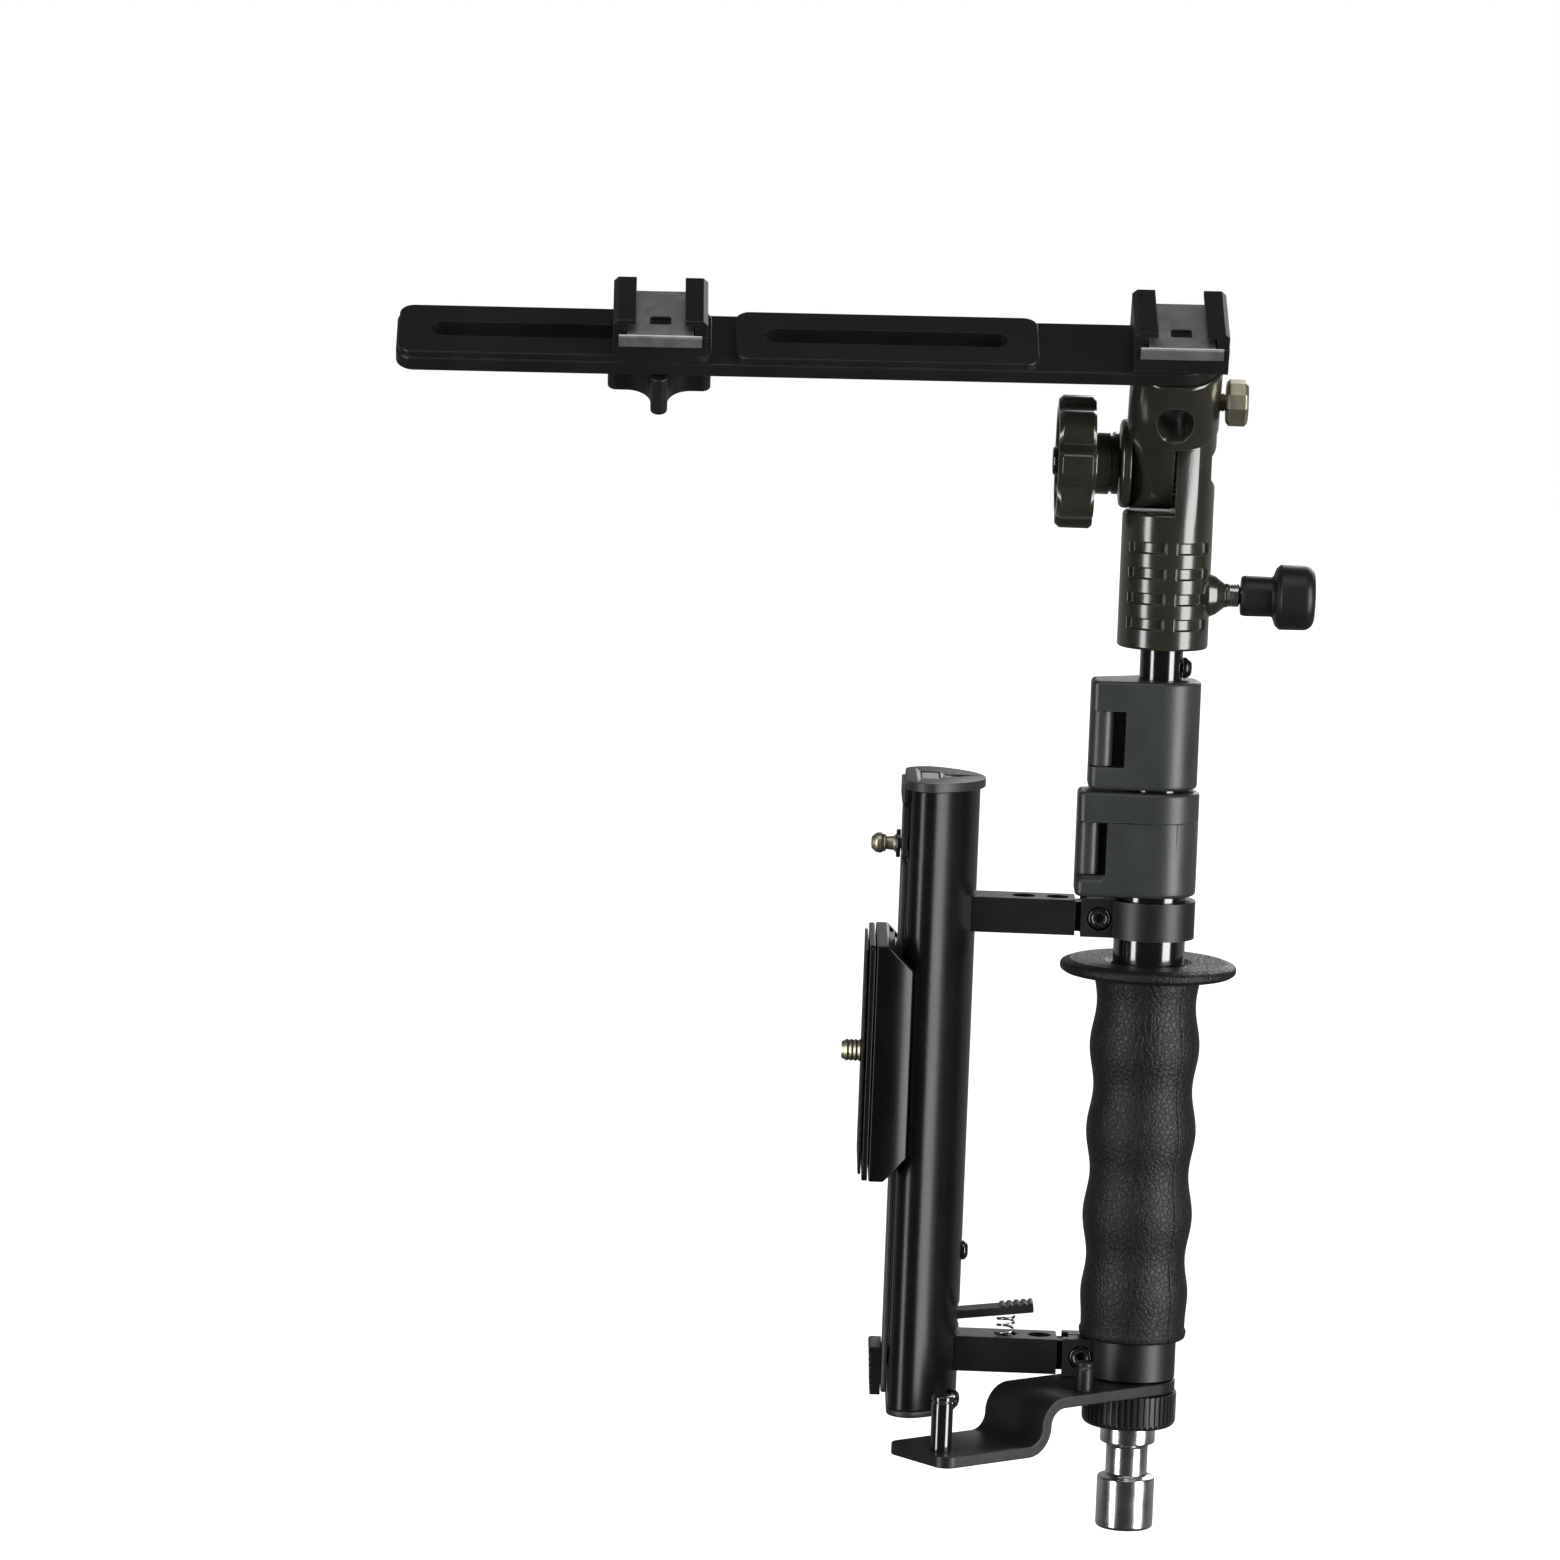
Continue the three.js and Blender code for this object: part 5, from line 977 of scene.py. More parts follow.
grip_line = rounded([
    (grip_bore, grip_low.z), (lip_radius - 0.3, grip_low.z, 0.9), (lip_radius, grip_low.z + 2.0, 0.8),
    (grip_mean - 0.05, grip_low.z + lip_height, 0.8),
    (grip_mean, grip_low.z + lip_height + 1),
], closed=False)
wave_start = grip_low.z + lip_height + 1
wave_end = grip_top - 2.2
for step in range(1, grip_steps + 1):
    height = wave_start + (wave_end - wave_start) * step / grip_steps
    phase = 2 * math.pi * (height - grip_low.z - first_crest) / swell_pitch
    ease = min(step / ease_steps, 1)
    grip_line.append((grip_mean + grip_swell * math.cos(phase) * ease, height))
neck_radius = grip_line[-1][0]
grip_line += rounded([
    (neck_radius, wave_end), (neck_radius, grip_top - 0.2, 1.6),
    (guard_radius - 1.4, grip_top + 0.1, 1.2), (guard_radius, grip_top + 1.0, 1.1),
    (guard_radius, grip_high.z - 0.9, 1.3), (guard_radius - 2.6, grip_high.z, 1.6),
    (grip_bore + 2, grip_high.z - 0.25, 0.5), (grip_bore, grip_high.z - 0.9),
], closed=False)[1:]
seam_turn = math.radians(-49)
seam_depth = 0.25
seam_steps = 360


def seamed(angle, radius, height):
    """Sinks one step of the round where the two halves of the mould met, on both sides."""
    off = (angle - seam_turn + math.pi / 2) % math.pi - math.pi / 2
    return radius - seam_depth if abs(off) < math.pi / seam_steps and radius > lip_radius - 2 else radius


grip = smooth(turned("hand_grip_moulded", grip_line, seam_steps, seamed), 50)
dress(grip, soft_rubber, "hand_grip")
print("grip:", round(grip_high.z - grip_low.z, 1), "mm long")
print("guard:", round(2 * guard_radius, 1), "mm across")

# %% [markdown]
# Each clamp is a ring with a square block on one side, slit so that a screw can close it. The
# ring is turned and joined to the block. Then the tube's bore, the slit, the slot for the arm
# and the counterbore for the screw are cut, which is the order a machinist would follow.

# %% Ring clamps
clamp_wall = 2.2
clamp_block_half = 6.3
clamp_slot_half = 3.5
clamp_slot_floor = 17.7
clamp_slit_half = 0.6
clamp_slit_end = 8
screw_reach = 14.3
screw_head_radius = 3.1
counterbore = screw_head_radius + 0.35
counterbore_floor = 2.5


def ring_clamp(name, node):
    low, high = extent(node)
    middle = (low.z + high.z) / 2
    over = high.z - low.z
    clamp = rod(name, high.x, low.z, high.z, 128)
    join(clamp, block("block", (low.x, -clamp_block_half, low.z), (0, clamp_block_half, high.z)))
    carve(
        clamp,
        rod("bore", high.x - clamp_wall, low.z - over, high.z + over, 128),
        block(
            "slot", (low.x - over, -clamp_slot_half, low.z - over),
            (-clamp_slot_floor, clamp_slot_half, high.z + over),
        ),
        block(
            "slit", (low.x, -clamp_slit_half, low.z - over),
            (-clamp_slit_end, clamp_slit_half, high.z + over),
        ),
        moved(rod("head_seat", counterbore, counterbore_floor, 2 * over), -screw_reach, 0, middle, along_y),
    )
    soften(clamp, 0.35)
    return dress(clamp, satin_turned, node)


def hexagon(radius, turn=0.0):
    turns = [turn + math.pi * corner / 3 for corner in range(6)]
    return [(radius * math.cos(angle), radius * math.sin(angle)) for angle in turns]


def clamp_screw(name, node):
    low, high = extent(node)
    middle = (low.z + high.z) / 2
    front = -low.y
    shank, under_head = 1.6, front - 3.2
    line = rounded([
        (0, front - 4), (shank, front - 4), (shank, under_head), (screw_head_radius, under_head),
        (screw_head_radius, front, 0.75), (2.0, front, 0.25), (1.75, front - 0.5), (0, front - 0.5),
    ], closed=False)
    screw = turned(name, line, 72)
    carve(screw, raised("key_hole", hexagon(1.5, 0.35), front - 2.2, front + 1))
    smooth(screw, 28)
    moved(screw, -screw_reach, 0, middle, along_y)
    return dress(screw, gloss_black, node)


for side in ("lower", "upper"):
    ring_clamp(side + "_ring_clamp", side + "_clamp")
    clamp_screw(side + "_cap_screw", side + "_clamp_screw")

# %% [markdown]
# ## Column outline and square arms
# The column is an extruded D: a slightly pointed nose, rounded shoulders and a flat back.
# Other pieces fit against it, so the outline is a function that can grow or shrink it evenly.
# The square arms are milled bars whose ends are cut to that same curve.

# %% Column outline
column_low, column_high = extent("column_tube")
column_nose = 13.3
nose_power = 1.45
column_corner = 6.0
column_centre = column_low.x + column_corner
column_half = column_high.y
column_wall = 1.8


def column_outline(grow, steps=64):
    """The column's outline about its own centre line, grown by some millimetres."""
    line = []
    for step in range(steps + 1):
        angle = math.radians(-90 + 180 * step / steps)
        reach = (column_nose + grow) * math.cos(angle) ** nose_power
        line.append((reach, (column_half + grow) * math.sin(angle)))
    shoulder = column_half - column_corner
    line += arc(0, shoulder, column_corner + grow, 90, 180, 14)[1:]
    line += arc(0, -shoulder, column_corner + grow, 180, 270, 14)[:-1]
    return [(x + column_centre, y) for x, y in line]


print("column section:", round(column_nose + column_corner, 1), "by", round(2 * column_half, 1), "mm")

# %% [markdown]
# Each arm has two holes and a thin tang that goes into the clamp's slot. The end at the column
# is cut with the column's outline, grown a little, so the arm meets it on a curve. The hole in
# the lower arm that holds the release spring is blind, and gives the spring a floor.

# %% Square arms
arm_half_depth = 6.4
arm_half_height = 4.9
arm_hole_radius = 3.2
arm_holes = (-25.8, -35.2)
tang_half = 3.2
spring_seat_depth = 5.6
arm_inner_end = -21.0


def square_arm(name, node, blind):
    low, high = extent(node)
    middle = (low.z + high.z) / 2
    top, foot = middle + arm_half_height, middle - arm_half_height
    arm = block(name, (column_centre, -arm_half_depth, foot), (arm_inner_end, arm_half_depth, top))
    carve(arm, raised("column", column_outline(0.12), foot - 5, top + 5))
    for i, reach in enumerate(arm_holes):
        hole_foot = top - spring_seat_depth if blind and i == 1 else foot - 5
        carve(arm, moved(rod("hole", arm_hole_radius, hole_foot, top + 5), reach))
    soften(arm, 0.45)
    tang = block("tang", (arm_inner_end - 0.5, -tang_half, foot + 0.8), (high.x, tang_half, top - 0.8))
    join(arm, tang)
    smooth(arm, 28)
    return dress(arm, satin_black_arm, node)


square_arm("lower_square_arm", "lower_arm", True)
square_arm("upper_square_arm", "upper_arm", False)

# %% [markdown]
# ## Flip locks
# Each lock is a nylon body that squeezes the pole, with a hinged lever closed round its back.
# The plan is a D: square at the hinge side and round at the other. The front leans back a little
# above the hinge window, as moulded parts do so that they leave the mould. The lean is made
# by stacking the same plan at four heights before the edges are rounded. The straight front gets
# a point every millimetre, because one long face with cuts in it would shade like a fan.

# %% Lock bodies
lock_corner = 2.5
lock_round = 1.2
lock_lean = 0.5
ear_back = 1.35
window_edge = 0.3
throat_height = 8.0
lever_way = 3.2
front_steps = 12
knuckle_radius = 3.3
knuckle_inset = 1.2
lock_far = 60
lock_seam_half = 0.12
lock_seam_depth = 0.2


def stacked(name, outline, levels):
    """Joins one outline at several heights. Each level is a height and how far Y leans back."""
    count = len(outline)
    points, faces = [], []
    for height, lean in levels:
        points += [(x, y * (1 - lean), height) for x, y in outline]
    for level in range(len(levels) - 1):
        for i in range(count):
            after = (i + 1) % count
            first = level * count
            faces.append([first + i, first + after, first + after + count, first + i + count])
    faces.append(list(range(count)))
    faces.append(list(range((len(levels) - 1) * count, len(levels) * count)))
    return solid(name, points, faces)


def lock_body(name, node, lever_node, window_left, barrel, throat, seam):
    low, high = extent(node)
    lever_low, lever_high = extent(lever_node)
    window_low, window_high = lever_low.z - window_edge, lever_high.z + window_edge
    radius, left = high.x, low.x
    plan = arc(left + lock_corner, lock_corner - radius, lock_corner, 180, 270, 10)
    straight = -left - lock_corner
    plan += [(-straight * (1 - step / front_steps), -radius) for step in range(1, front_steps)]
    plan += arc(0, 0, radius, -90, 135, 96)
    plan += [(left, ear_back)]
    hinge_back = -radius + knuckle_inset + 2 * knuckle_radius + window_edge
    lean = lock_lean / radius
    levels = [(low.z, lean * 0.6), (low.z + 3.2, 0), (window_high + 0.4, 0), (high.z, lean)]
    body = stacked(name, plan, levels)
    soften(body, lock_round, segments=5, angle=50)
    reach = lock_far
    carve(
        body,
        block("window", (-reach, -reach, window_low), (-window_left, hinge_back, window_high)),
        block("lever_way", (-reach, hinge_back - 1, window_low), (left + lever_way, reach, window_high)),
        rod("throat", throat + 0.15, low.z - 5, high.z + 5, 96),
        rod("bore", barrel + 0.15, low.z - 5, high.z - throat_height, 96),
    )
    behind = block("behind", (-reach, 0, window_low), (0, reach, window_high))
    carve(behind, rod("core", radius - 0.02, low.z, high.z, 128))
    carve(body, behind)
    soften(body, 0.22, segments=2, angle=50)
    if seam:
        seam_foot, seam_top = window_high - lock_seam_half, window_high + lock_seam_half
        seam_floor = radius - lock_seam_depth
        ring = turned("seam", [
            (seam_floor, seam_foot), (reach, seam_foot), (reach, seam_top), (seam_floor, seam_top),
        ], 128)
        carve(ring, block(
            "left_part", (-reach * 2, -reach * 2, low.z), (-window_left + 1, reach * 2, high.z),
        ))
        carve(body, ring)
        even_light(body)
    return dress(body, lock_plastic, node)


lock_body("lower_lock_moulded", "lower_lock_body", "lower_lock_lever", 13.4, 9.9, 8.0, True)
lock_body("upper_lock_moulded", "upper_lock_body", "upper_lock_lever", 9.4, 8.0, 5.9, False)

# %% [markdown]
# The lever is a strip of even thickness that runs from a round knuckle on the hinge pin, bends
# round the corner and follows the lock's round back. A strip along a line is easiest to make by
# stepping half the thickness to each side of the line.

# %% Lock levers
lever_thickness = 2.4
hinge_pin_radius = 1.2


def strip(line, thickness):
    """Outline of a strip of even thickness along a line of points."""
    left, right = [], []
    for i, point in enumerate(line):
        before, after = Vector(line[max(i - 1, 0)]), Vector(line[min(i + 1, len(line) - 1)])
        along = (after - before).normalized()
        side = Vector((-along.y, along.x)) * thickness / 2
        left.append((point[0] + side.x, point[1] + side.y))
        right.append((point[0] - side.x, point[1] - side.y))
    return left + right[::-1]


def curve_between(start, pull_start, pull_end, end, steps=20):
    """Points on a smooth curve from start to end, led by two pull points."""
    points = []
    for step in range(steps + 1):
        t = step / steps
        weights = ((1 - t) ** 3, 3 * t * (1 - t) ** 2, 3 * t * t * (1 - t), t ** 3)
        corners = (start, pull_start, pull_end, end)
        points.append(tuple(sum(w * c[i] for w, c in zip(weights, corners)) for i in (0, 1)))
    return points


def lock_lever(name, node, body_node, wrap_start=115, wrap_end=42, pull=5.0):
    low, high = extent(node)
    body_low, body_high = extent(body_node)
    radius, left = body_high.x, body_low.x
    hinge_x = left + knuckle_radius
    hinge_y = -radius + knuckle_inset + knuckle_radius
    side_x = left + lever_thickness / 2
    wrap = radius + 0.5 + lever_thickness / 2
    turn = math.radians(wrap_start)
    meet = (wrap * math.cos(turn), wrap * math.sin(turn))
    lead = (meet[0] - math.sin(turn) * pull, meet[1] + math.cos(turn) * pull)
    line = [(side_x, hinge_y)] + curve_between((side_x, 0), (side_x, pull * 1.6), lead, meet)
    line += arc(0, 0, wrap, wrap_start, wrap_end, 28)[1:]
    lever = raised(name, strip(line, lever_thickness), low.z, high.z)
    join(lever, moved(rod("knuckle", knuckle_radius, low.z, high.z, 72), hinge_x, hinge_y))
    carve(lever, moved(rod("pin", hinge_pin_radius + 0.15, low.z - 5, high.z + 5, 40), hinge_x, hinge_y))
    soften(lever, 0.3, segments=3, angle=40)
    return dress(lever, lock_plastic, node)


lock_lever("lower_flip_lever", "lower_lock_lever", "lower_lock_body")
lock_lever("upper_flip_lever", "upper_lock_lever", "upper_lock_body")

# %% [markdown]
# ## Pole sections
# The inner tube shows as a gloss spigot between the upper lock and the head. A small domed screw
# in its side keeps it from being pulled out. The dome is turned with a hexagon hole in its top.

# %% Inner tube and its screw
tube("mid_tube_turned", "mid_tube", 1.4, gloss_black)
tube("inner_tube_turned", "inner_tube", 1.5, gloss_black)


def dome_screw(name, node, radius, dome, depth, placed):
    """A domed screw whose head rises along the local Z."""
    shank = 1.3
    line = rounded([
        (0, -depth), (shank, -depth), (shank, 0), (radius, 0, 0.2), (radius, dome * 0.42, 0.5),
        (radius * 0.74, dome * 0.86, 0.6), (radius * 0.5, dome, 0.2), (0, dome),
    ], closed=False)
    screw = turned(name, line, 64)
    carve(screw, raised("key_hole", hexagon(radius * 0.42), dome * 0.35, dome + 1))
    smooth(screw, 35)
    return dress(screw, gloss_black, node, placed)


screw_low, screw_high = extent("spigot_screw")
screw_middle = (screw_low + screw_high) / 2
inner_high = extent("inner_tube")[1]
spigot_placed = Matrix.Translation(Vector((inner_high.x + 0.05, 0, screw_middle.z)) * MM) @ along_x
dome_screw("spigot_dome_screw", "spigot_screw", 2.9, screw_high.x - inner_high.x - 0.05, 2.5, spigot_placed)

# %% [markdown]
# ## Socket of the tilting head
# The head sits in local frames of its own: one leans 30 degrees about the tilt bolt, and the
# arm is turned a little more on top of that. Both angles are read from the joints' axes, so a
# piece can be drawn upright and then placed as a whole.

# %% Frames of the head and the arm
tilt_place = Vector(joints["head_tilt"]["pos_m"])
swing_axis = Vector(joints["arm_swing"]["axis"])
slide_axis = Vector(joints["flash_shoe_slide"]["axis"])
head_lean = math.atan2(-swing_axis.y, swing_axis.z)
head_placed = Matrix.Translation(tilt_place) @ Matrix.Rotation(head_lean, 4, "X")
slide_local = head_placed.to_3x3().inverted() @ slide_axis
arm_yaw = math.atan2(slide_local.y, slide_local.x)
arm_placed = head_placed @ Matrix.Rotation(arm_yaw, 4, "Z")
tilt_z = tilt_place.z / MM
print("head leans", round(math.degrees(head_lean), 1), "degrees")
print("arm turned", round(math.degrees(arm_yaw), 1), "degrees")

# %% [markdown]
# The socket is a cylinder with four rows of shallow pockets between upright ribs. The turned
# maker's shape rule sinks the pockets, with walls that slope a little, as a casting's do. Then
# the cylinder is cut down beside the round ear for the tilt bolt, and a cone is joined on for
# the clamp screw.

# %% Socket body
socket_low = extent("socket_body")[0]
socket_radius = -socket_low.x
socket_foot = socket_low.z
ear_radius = 12.2
ear_face = 1.35
shoulder_z = tilt_z - ear_radius - 0.3
pocket_depth = 1.1
pocket_height = 3.5
pocket_pitch = 7.0
first_pocket = 5.4
pocket_rows = 4
pocket_wall = 0.55
front_rib_half = 1.5
side_rib_half = 6.0
rib_turn = math.radians(4.6)
shoulder_round = 1.5
boss_z = Vector(joints["socket_knob_turn"]["pos_m"]).z / MM
boss_reach = 17.5
spigot_radius = 5.9
bolt_bore = 4.3

reach = socket_radius + 2
ear_top = tilt_z + ear_radius


def eased(share):
    """Runs from 0 to 1 with a soft start and a soft end."""
    share = min(max(share, 0), 1)
    return share * share * (3 - 2 * share)


def pocketed(angle, radius, height):
    """Sinks the surface between the ribs, in four rows."""
    above = height - socket_foot - first_pocket
    row = min(max(math.floor((above + pocket_wall) / pocket_pitch), 0), pocket_rows - 1)
    above -= row * pocket_pitch
    inside = min(above, pocket_height - above)
    across, along = radius * math.cos(angle - rib_turn), radius * math.sin(angle - rib_turn)
    beside = min(abs(across) - front_rib_half, abs(along) - side_rib_half)
    sunk = eased(inside / pocket_wall) * eased(beside / pocket_wall)
    return radius - pocket_depth * sunk if radius > socket_radius - 0.01 else radius


socket_line = rounded([
    (0, socket_foot), (socket_radius, socket_foot, 0.9), (socket_radius, socket_foot + 2),
], closed=False)
for row in range(pocket_rows):
    pocket_foot = socket_foot + first_pocket + row * pocket_pitch
    for wall in (pocket_foot, pocket_foot + pocket_height - pocket_wall):
        socket_line += [(socket_radius, wall + pocket_wall * share / 5) for share in range(6)]
socket_line += [(socket_radius, shoulder_z - 4), (socket_radius, ear_top + 1), (0, ear_top + 1)]
socket = turned("socket_body_cast", socket_line, 360, pocketed)

shoulder_in = socket_radius - shoulder_round
shoulder_line = [
    (socket_radius + 1, shoulder_z - shoulder_round), (socket_radius + 1, shoulder_z + 1),
    (shoulder_in, shoulder_z + 1),
]
shoulder_line += arc(shoulder_in, shoulder_z - shoulder_round, shoulder_round + 0.02, 90, 0, 8)
shoulder_ring = turned("shoulder_ring", shoulder_line, 360)
ear_gap = block("ear_gap", (-reach, -reach, shoulder_z - 4), (ear_face, reach, ear_top + 3))
combine(shoulder_ring, [ear_gap], "INTERSECT")
beyond_ear = block("beyond_ear", (ear_face - 1, -reach, tilt_z), (reach, reach, ear_top + 3))
carve(beyond_ear, moved(rod("ear_disc", ear_radius, ear_face - 3, reach + 2, 144), 0, 0, tilt_z, along_x))
carve(
    socket,
    block("above_shoulder", (-reach, -reach, shoulder_z), (ear_face, reach, ear_top + 3)),
    shoulder_ring,
    beyond_ear,
)

boss_line = rounded([
    (0, spigot_radius + 0.5), (6.6, spigot_radius + 0.5), (6.4, socket_radius - 0.6, 1.4), (5.4, 14.2, 1.6),
    (3.9, 16.0, 1.2), (3.4, 16.6, 0.3), (3.4, boss_reach, 0.3), (0, boss_reach),
], closed=False)
join(socket, moved(turned("boss", boss_line, 80), 0, 0, boss_z, along_x))
carve(
    socket,
    rod("spigot_bore", spigot_radius + 0.12, socket_foot - 5, socket_foot + 26, 96),
    moved(rod("screw_bore", 2.3, 5, 20, 48), 0, 0, boss_z, along_x),
    moved(rod("bolt_bore", bolt_bore, 0, 20, 64), 0, 0, tilt_z, along_x),
    moved(raised("bolt_pocket", hexagon(6.5), 8.1, 20), 0, 0, tilt_z, along_x),
)
soften(socket, 0.25, segments=3, angle=50)
dress(socket, head_paint, "socket_body")
print("socket:", round(2 * socket_radius, 1), "mm across,", pocket_rows, "rows of pockets")

# %% [markdown]
# Between the two ears sits a ring of teeth that locks the tilt. It is only seen as a dark
# toothed edge in the joint, so its outline has one square tooth for every four points.

# %% Rosette between the ears
rosette_teeth = 40
rosette_radius = 11.9
tooth_depth = 0.9
rosette_bore = 5
tooth_ring = []
for tooth in range(rosette_teeth * 4):
    turn = 2 * math.pi * (tooth + 0.5) / (rosette_teeth * 4)
    pull = 0 if tooth % 4 in (0, 1) else tooth_depth
    tooth_ring.append(((rosette_radius - pull) * math.cos(turn), (rosette_radius - pull) * math.sin(turn)))
rosette = raised("socket_rosette", tooth_ring, 0.5, ear_face)
carve(rosette, rod("rosette_bore", rosette_bore, -2, 4, 64))
moved(rosette, 0, 0, tilt_z, along_x)
smooth(rosette, 25)
dress(rosette, gloss_black, "socket_body", replaces=False)

# %% [markdown]
# The clamp screw and the umbrella screw show a few threads. A real thread is a spiral, but at
# this size a row of rounded rings reads the same, and it stays a clean closed solid.

# %% Clamp screw and its knob
def threaded(radius, start, end, pitch=0.8, depth=0.32):
    """Profile points of a threaded length, from start to end."""
    count = max(int((end - start) / pitch), 1)
    line = []
    for ring in range(count):
        foot = start + ring * pitch
        line += [(radius - depth, foot), (radius, foot + pitch * 0.42), (radius, foot + pitch * 0.58)]
    return line + [(radius - depth, start + count * pitch)]


screw_low, screw_high = extent("socket_screw")
knob_low, knob_high = extent("socket_knob")
core_radius = 1.9
clamp_thread_radius = 3.3
clamp_pitch = 0.7
clamp_thread_depth = 0.28
line = [(0, screw_low.x), (core_radius, screw_low.x), (core_radius, boss_reach + 0.1)]
line += threaded(
    clamp_thread_radius, boss_reach + 0.1, knob_low.x, clamp_pitch, clamp_thread_depth,
)
line += [(core_radius, knob_low.x - 0.1), (core_radius, screw_high.x), (0, screw_high.x)]
clamp_thread = smooth(turned("socket_clamp_screw", line, 48), 40)
moved(clamp_thread, 0, 0, boss_z, along_x)
dress(clamp_thread, chrome, "socket_screw")

hub_radius = 5.6
hub_end = knob_low.x + 9.5
knob_radius = knob_high.y
knob_end = knob_high.x - 0.8
knob_line = rounded([
    (2.5, knob_low.x + 5), (2.5, knob_low.x), (hub_radius - 0.3, knob_low.x, 0.5),
    (hub_radius, knob_low.x + 1.2, 0.4), (hub_radius - 0.1, hub_end - 0.8, 0.6),
    (knob_radius - 1.1, hub_end + 0.1, 0.6), (knob_radius, hub_end + 1.3, 0.8),
    (knob_radius - 0.15, knob_end, 3.7), (knob_radius * 0.35, knob_end + 0.15, 2.0), (0, knob_end),
], closed=False, steps=12)
knob_line = [(0, knob_low.x + 5)] + knob_line
socket_knob = smooth(turned("socket_thumb_knob", knob_line, 128), 32)
moved(socket_knob, 0, 0, boss_z, along_x)
dress(socket_knob, knob_plastic, "socket_knob")

# %% [markdown]
# ## Tilting head
# The upper part is a cylinder that stands on one flat ear. Seen from the front, its lower rim
# shows as a curved line across the joint. The umbrella shaft's hole is countersunk at both ends.

# %% Tilting head body
head_radius = socket_radius
head_high = extent("tilt_head", head_placed)[1].z
neck_height = 13.0
head_ear_face = 0.45
head_ear_reach = 13.9
disc_back = -10.9
umbrella_height = 21.4
umbrella_radius = 4.5
umbrella_mouth = 5.65
mouth_depth = 1.6

barrel_line = rounded([
    (0, neck_height), (head_radius, neck_height, 0.5), (head_radius, head_high, 1.0), (0, head_high),
], closed=False)
tilt_head = turned("tilt_head_cast", barrel_line, 128)
neck = rod("neck", head_radius - 0.35, -ear_radius, neck_height + 1, 144)
neck_keep = block("neck_keep", (-reach, -ear_radius, 0), (head_ear_face, ear_radius, neck_height + 1))
join(neck_keep, moved(rod("neck_end", ear_radius - 0.02, -reach, head_ear_face, 144), turn=along_x))
combine(neck, [neck_keep], "INTERSECT")
disc_line = rounded([
    (0, -head_ear_reach), (ear_radius, -head_ear_reach, 1.4), (ear_radius, disc_back, 0.5), (0, disc_back),
], closed=False)
disc = moved(turned("ear_disc", disc_line, 144), turn=along_x)
join(tilt_head, neck, disc)
mouth_line = [
    (0, -reach), (umbrella_mouth, -reach), (umbrella_mouth, -head_radius + 0.3),
    (umbrella_radius, -head_radius + 0.3 + mouth_depth), (umbrella_radius, head_radius - 0.3 - mouth_depth),
    (umbrella_mouth, head_radius - 0.3), (umbrella_mouth, reach), (0, reach),
]
carve(
    tilt_head,
    moved(turned("umbrella_hole", mouth_line, 96), 0, 0, umbrella_height, along_y),
    moved(rod("umbrella_screw_hole", 2.8, 0, reach, 48), 0, 0, umbrella_height, along_x),
    moved(rod("bolt_bore", bolt_bore, -reach - 2, reach, 64), turn=along_x),
    rod("arm_screw_hole", 3.2, head_high - 6.6, head_high + 1, 48),
)
soften(tilt_head, 0.3, segments=3, angle=40)
dress(tilt_head, head_paint, "tilt_head", head_placed)

# %% [markdown]
# The umbrella screw has a small nickel head with ten flat sides. Turning it with a shape rule
# gives the flats and keeps the round thread, and both stay one closed solid.

# %% Umbrella screw
nut_start, nut_end = 14.0, extent("umbrella_screw", head_placed)[1].x
nut_facets = 10
nut_face_radius = 6.4
shaft_start = 4.8
shaft_radius = 2.2
shaft_thread_radius = 2.55
shaft_thread_start = 10.5
shaft_pitch = 0.75


def faceted(angle, radius, height):
    """Flattens the wide part of the turned line to the screw head's flat sides."""
    share = (angle * nut_facets / (2 * math.pi)) % 1 - 0.5
    flat = radius * math.cos(math.pi / nut_facets) / math.cos(2 * math.pi * share / nut_facets)
    return flat if radius > nut_face_radius * 0.7 else radius


line = [(0, shaft_start), (shaft_radius, shaft_start)]
line += threaded(shaft_thread_radius, shaft_thread_start, nut_start - 0.4, shaft_pitch)
line += rounded([
    (2.3, nut_start), (nut_face_radius - 0.9, nut_start, 0.2), (nut_face_radius, nut_start + 0.8, 0.3),
    (nut_face_radius, nut_end - 0.8, 0.3), (nut_face_radius - 0.9, nut_end, 0.3), (3.4, nut_end, 0.2),
    (3.0, nut_end - 0.5), (0, nut_end - 0.5),
], closed=False)
umbrella_screw = smooth(turned("umbrella_thumb_screw", line, nut_facets * 12, faceted), 24)
moved(umbrella_screw, 0, 0, umbrella_height, along_x)
dress(umbrella_screw, nickel, "umbrella_screw", head_placed)

# %% [markdown]
# The big knob pulls the ears together. Eight lobes give the hand a hold, so its outline is a
# cosine wave with broad crests and narrow dips. Its outer face is hollow around a boss, where
# the end of the bolt shows.

# %% Tilt knob
tilt_knob_low, tilt_knob_high = extent("tilt_knob")
lobe_radius = tilt_knob_high.y
lobe_dip = 2.1
lobe_count = 8
knob_thickness = 10.2
knob_face = tilt_knob_low.x
knob_back = knob_face + knob_thickness
hub_end = tilt_knob_high.x
hub_radius = 8.65
hollow_radius = 13.6
hollow_depth = 3.4
inner_boss_radius = 7.0


def lobed(angle, radius, height):
    """Pulls the rim in between the lobes, and leaves the hollow and the hub round."""
    valley = (1 - math.cos(lobe_count * angle)) / 2
    share = max(radius - hollow_radius - 1.5, 0) / (lobe_radius - hollow_radius - 1.5)
    return radius - lobe_dip * valley ** 2 * share


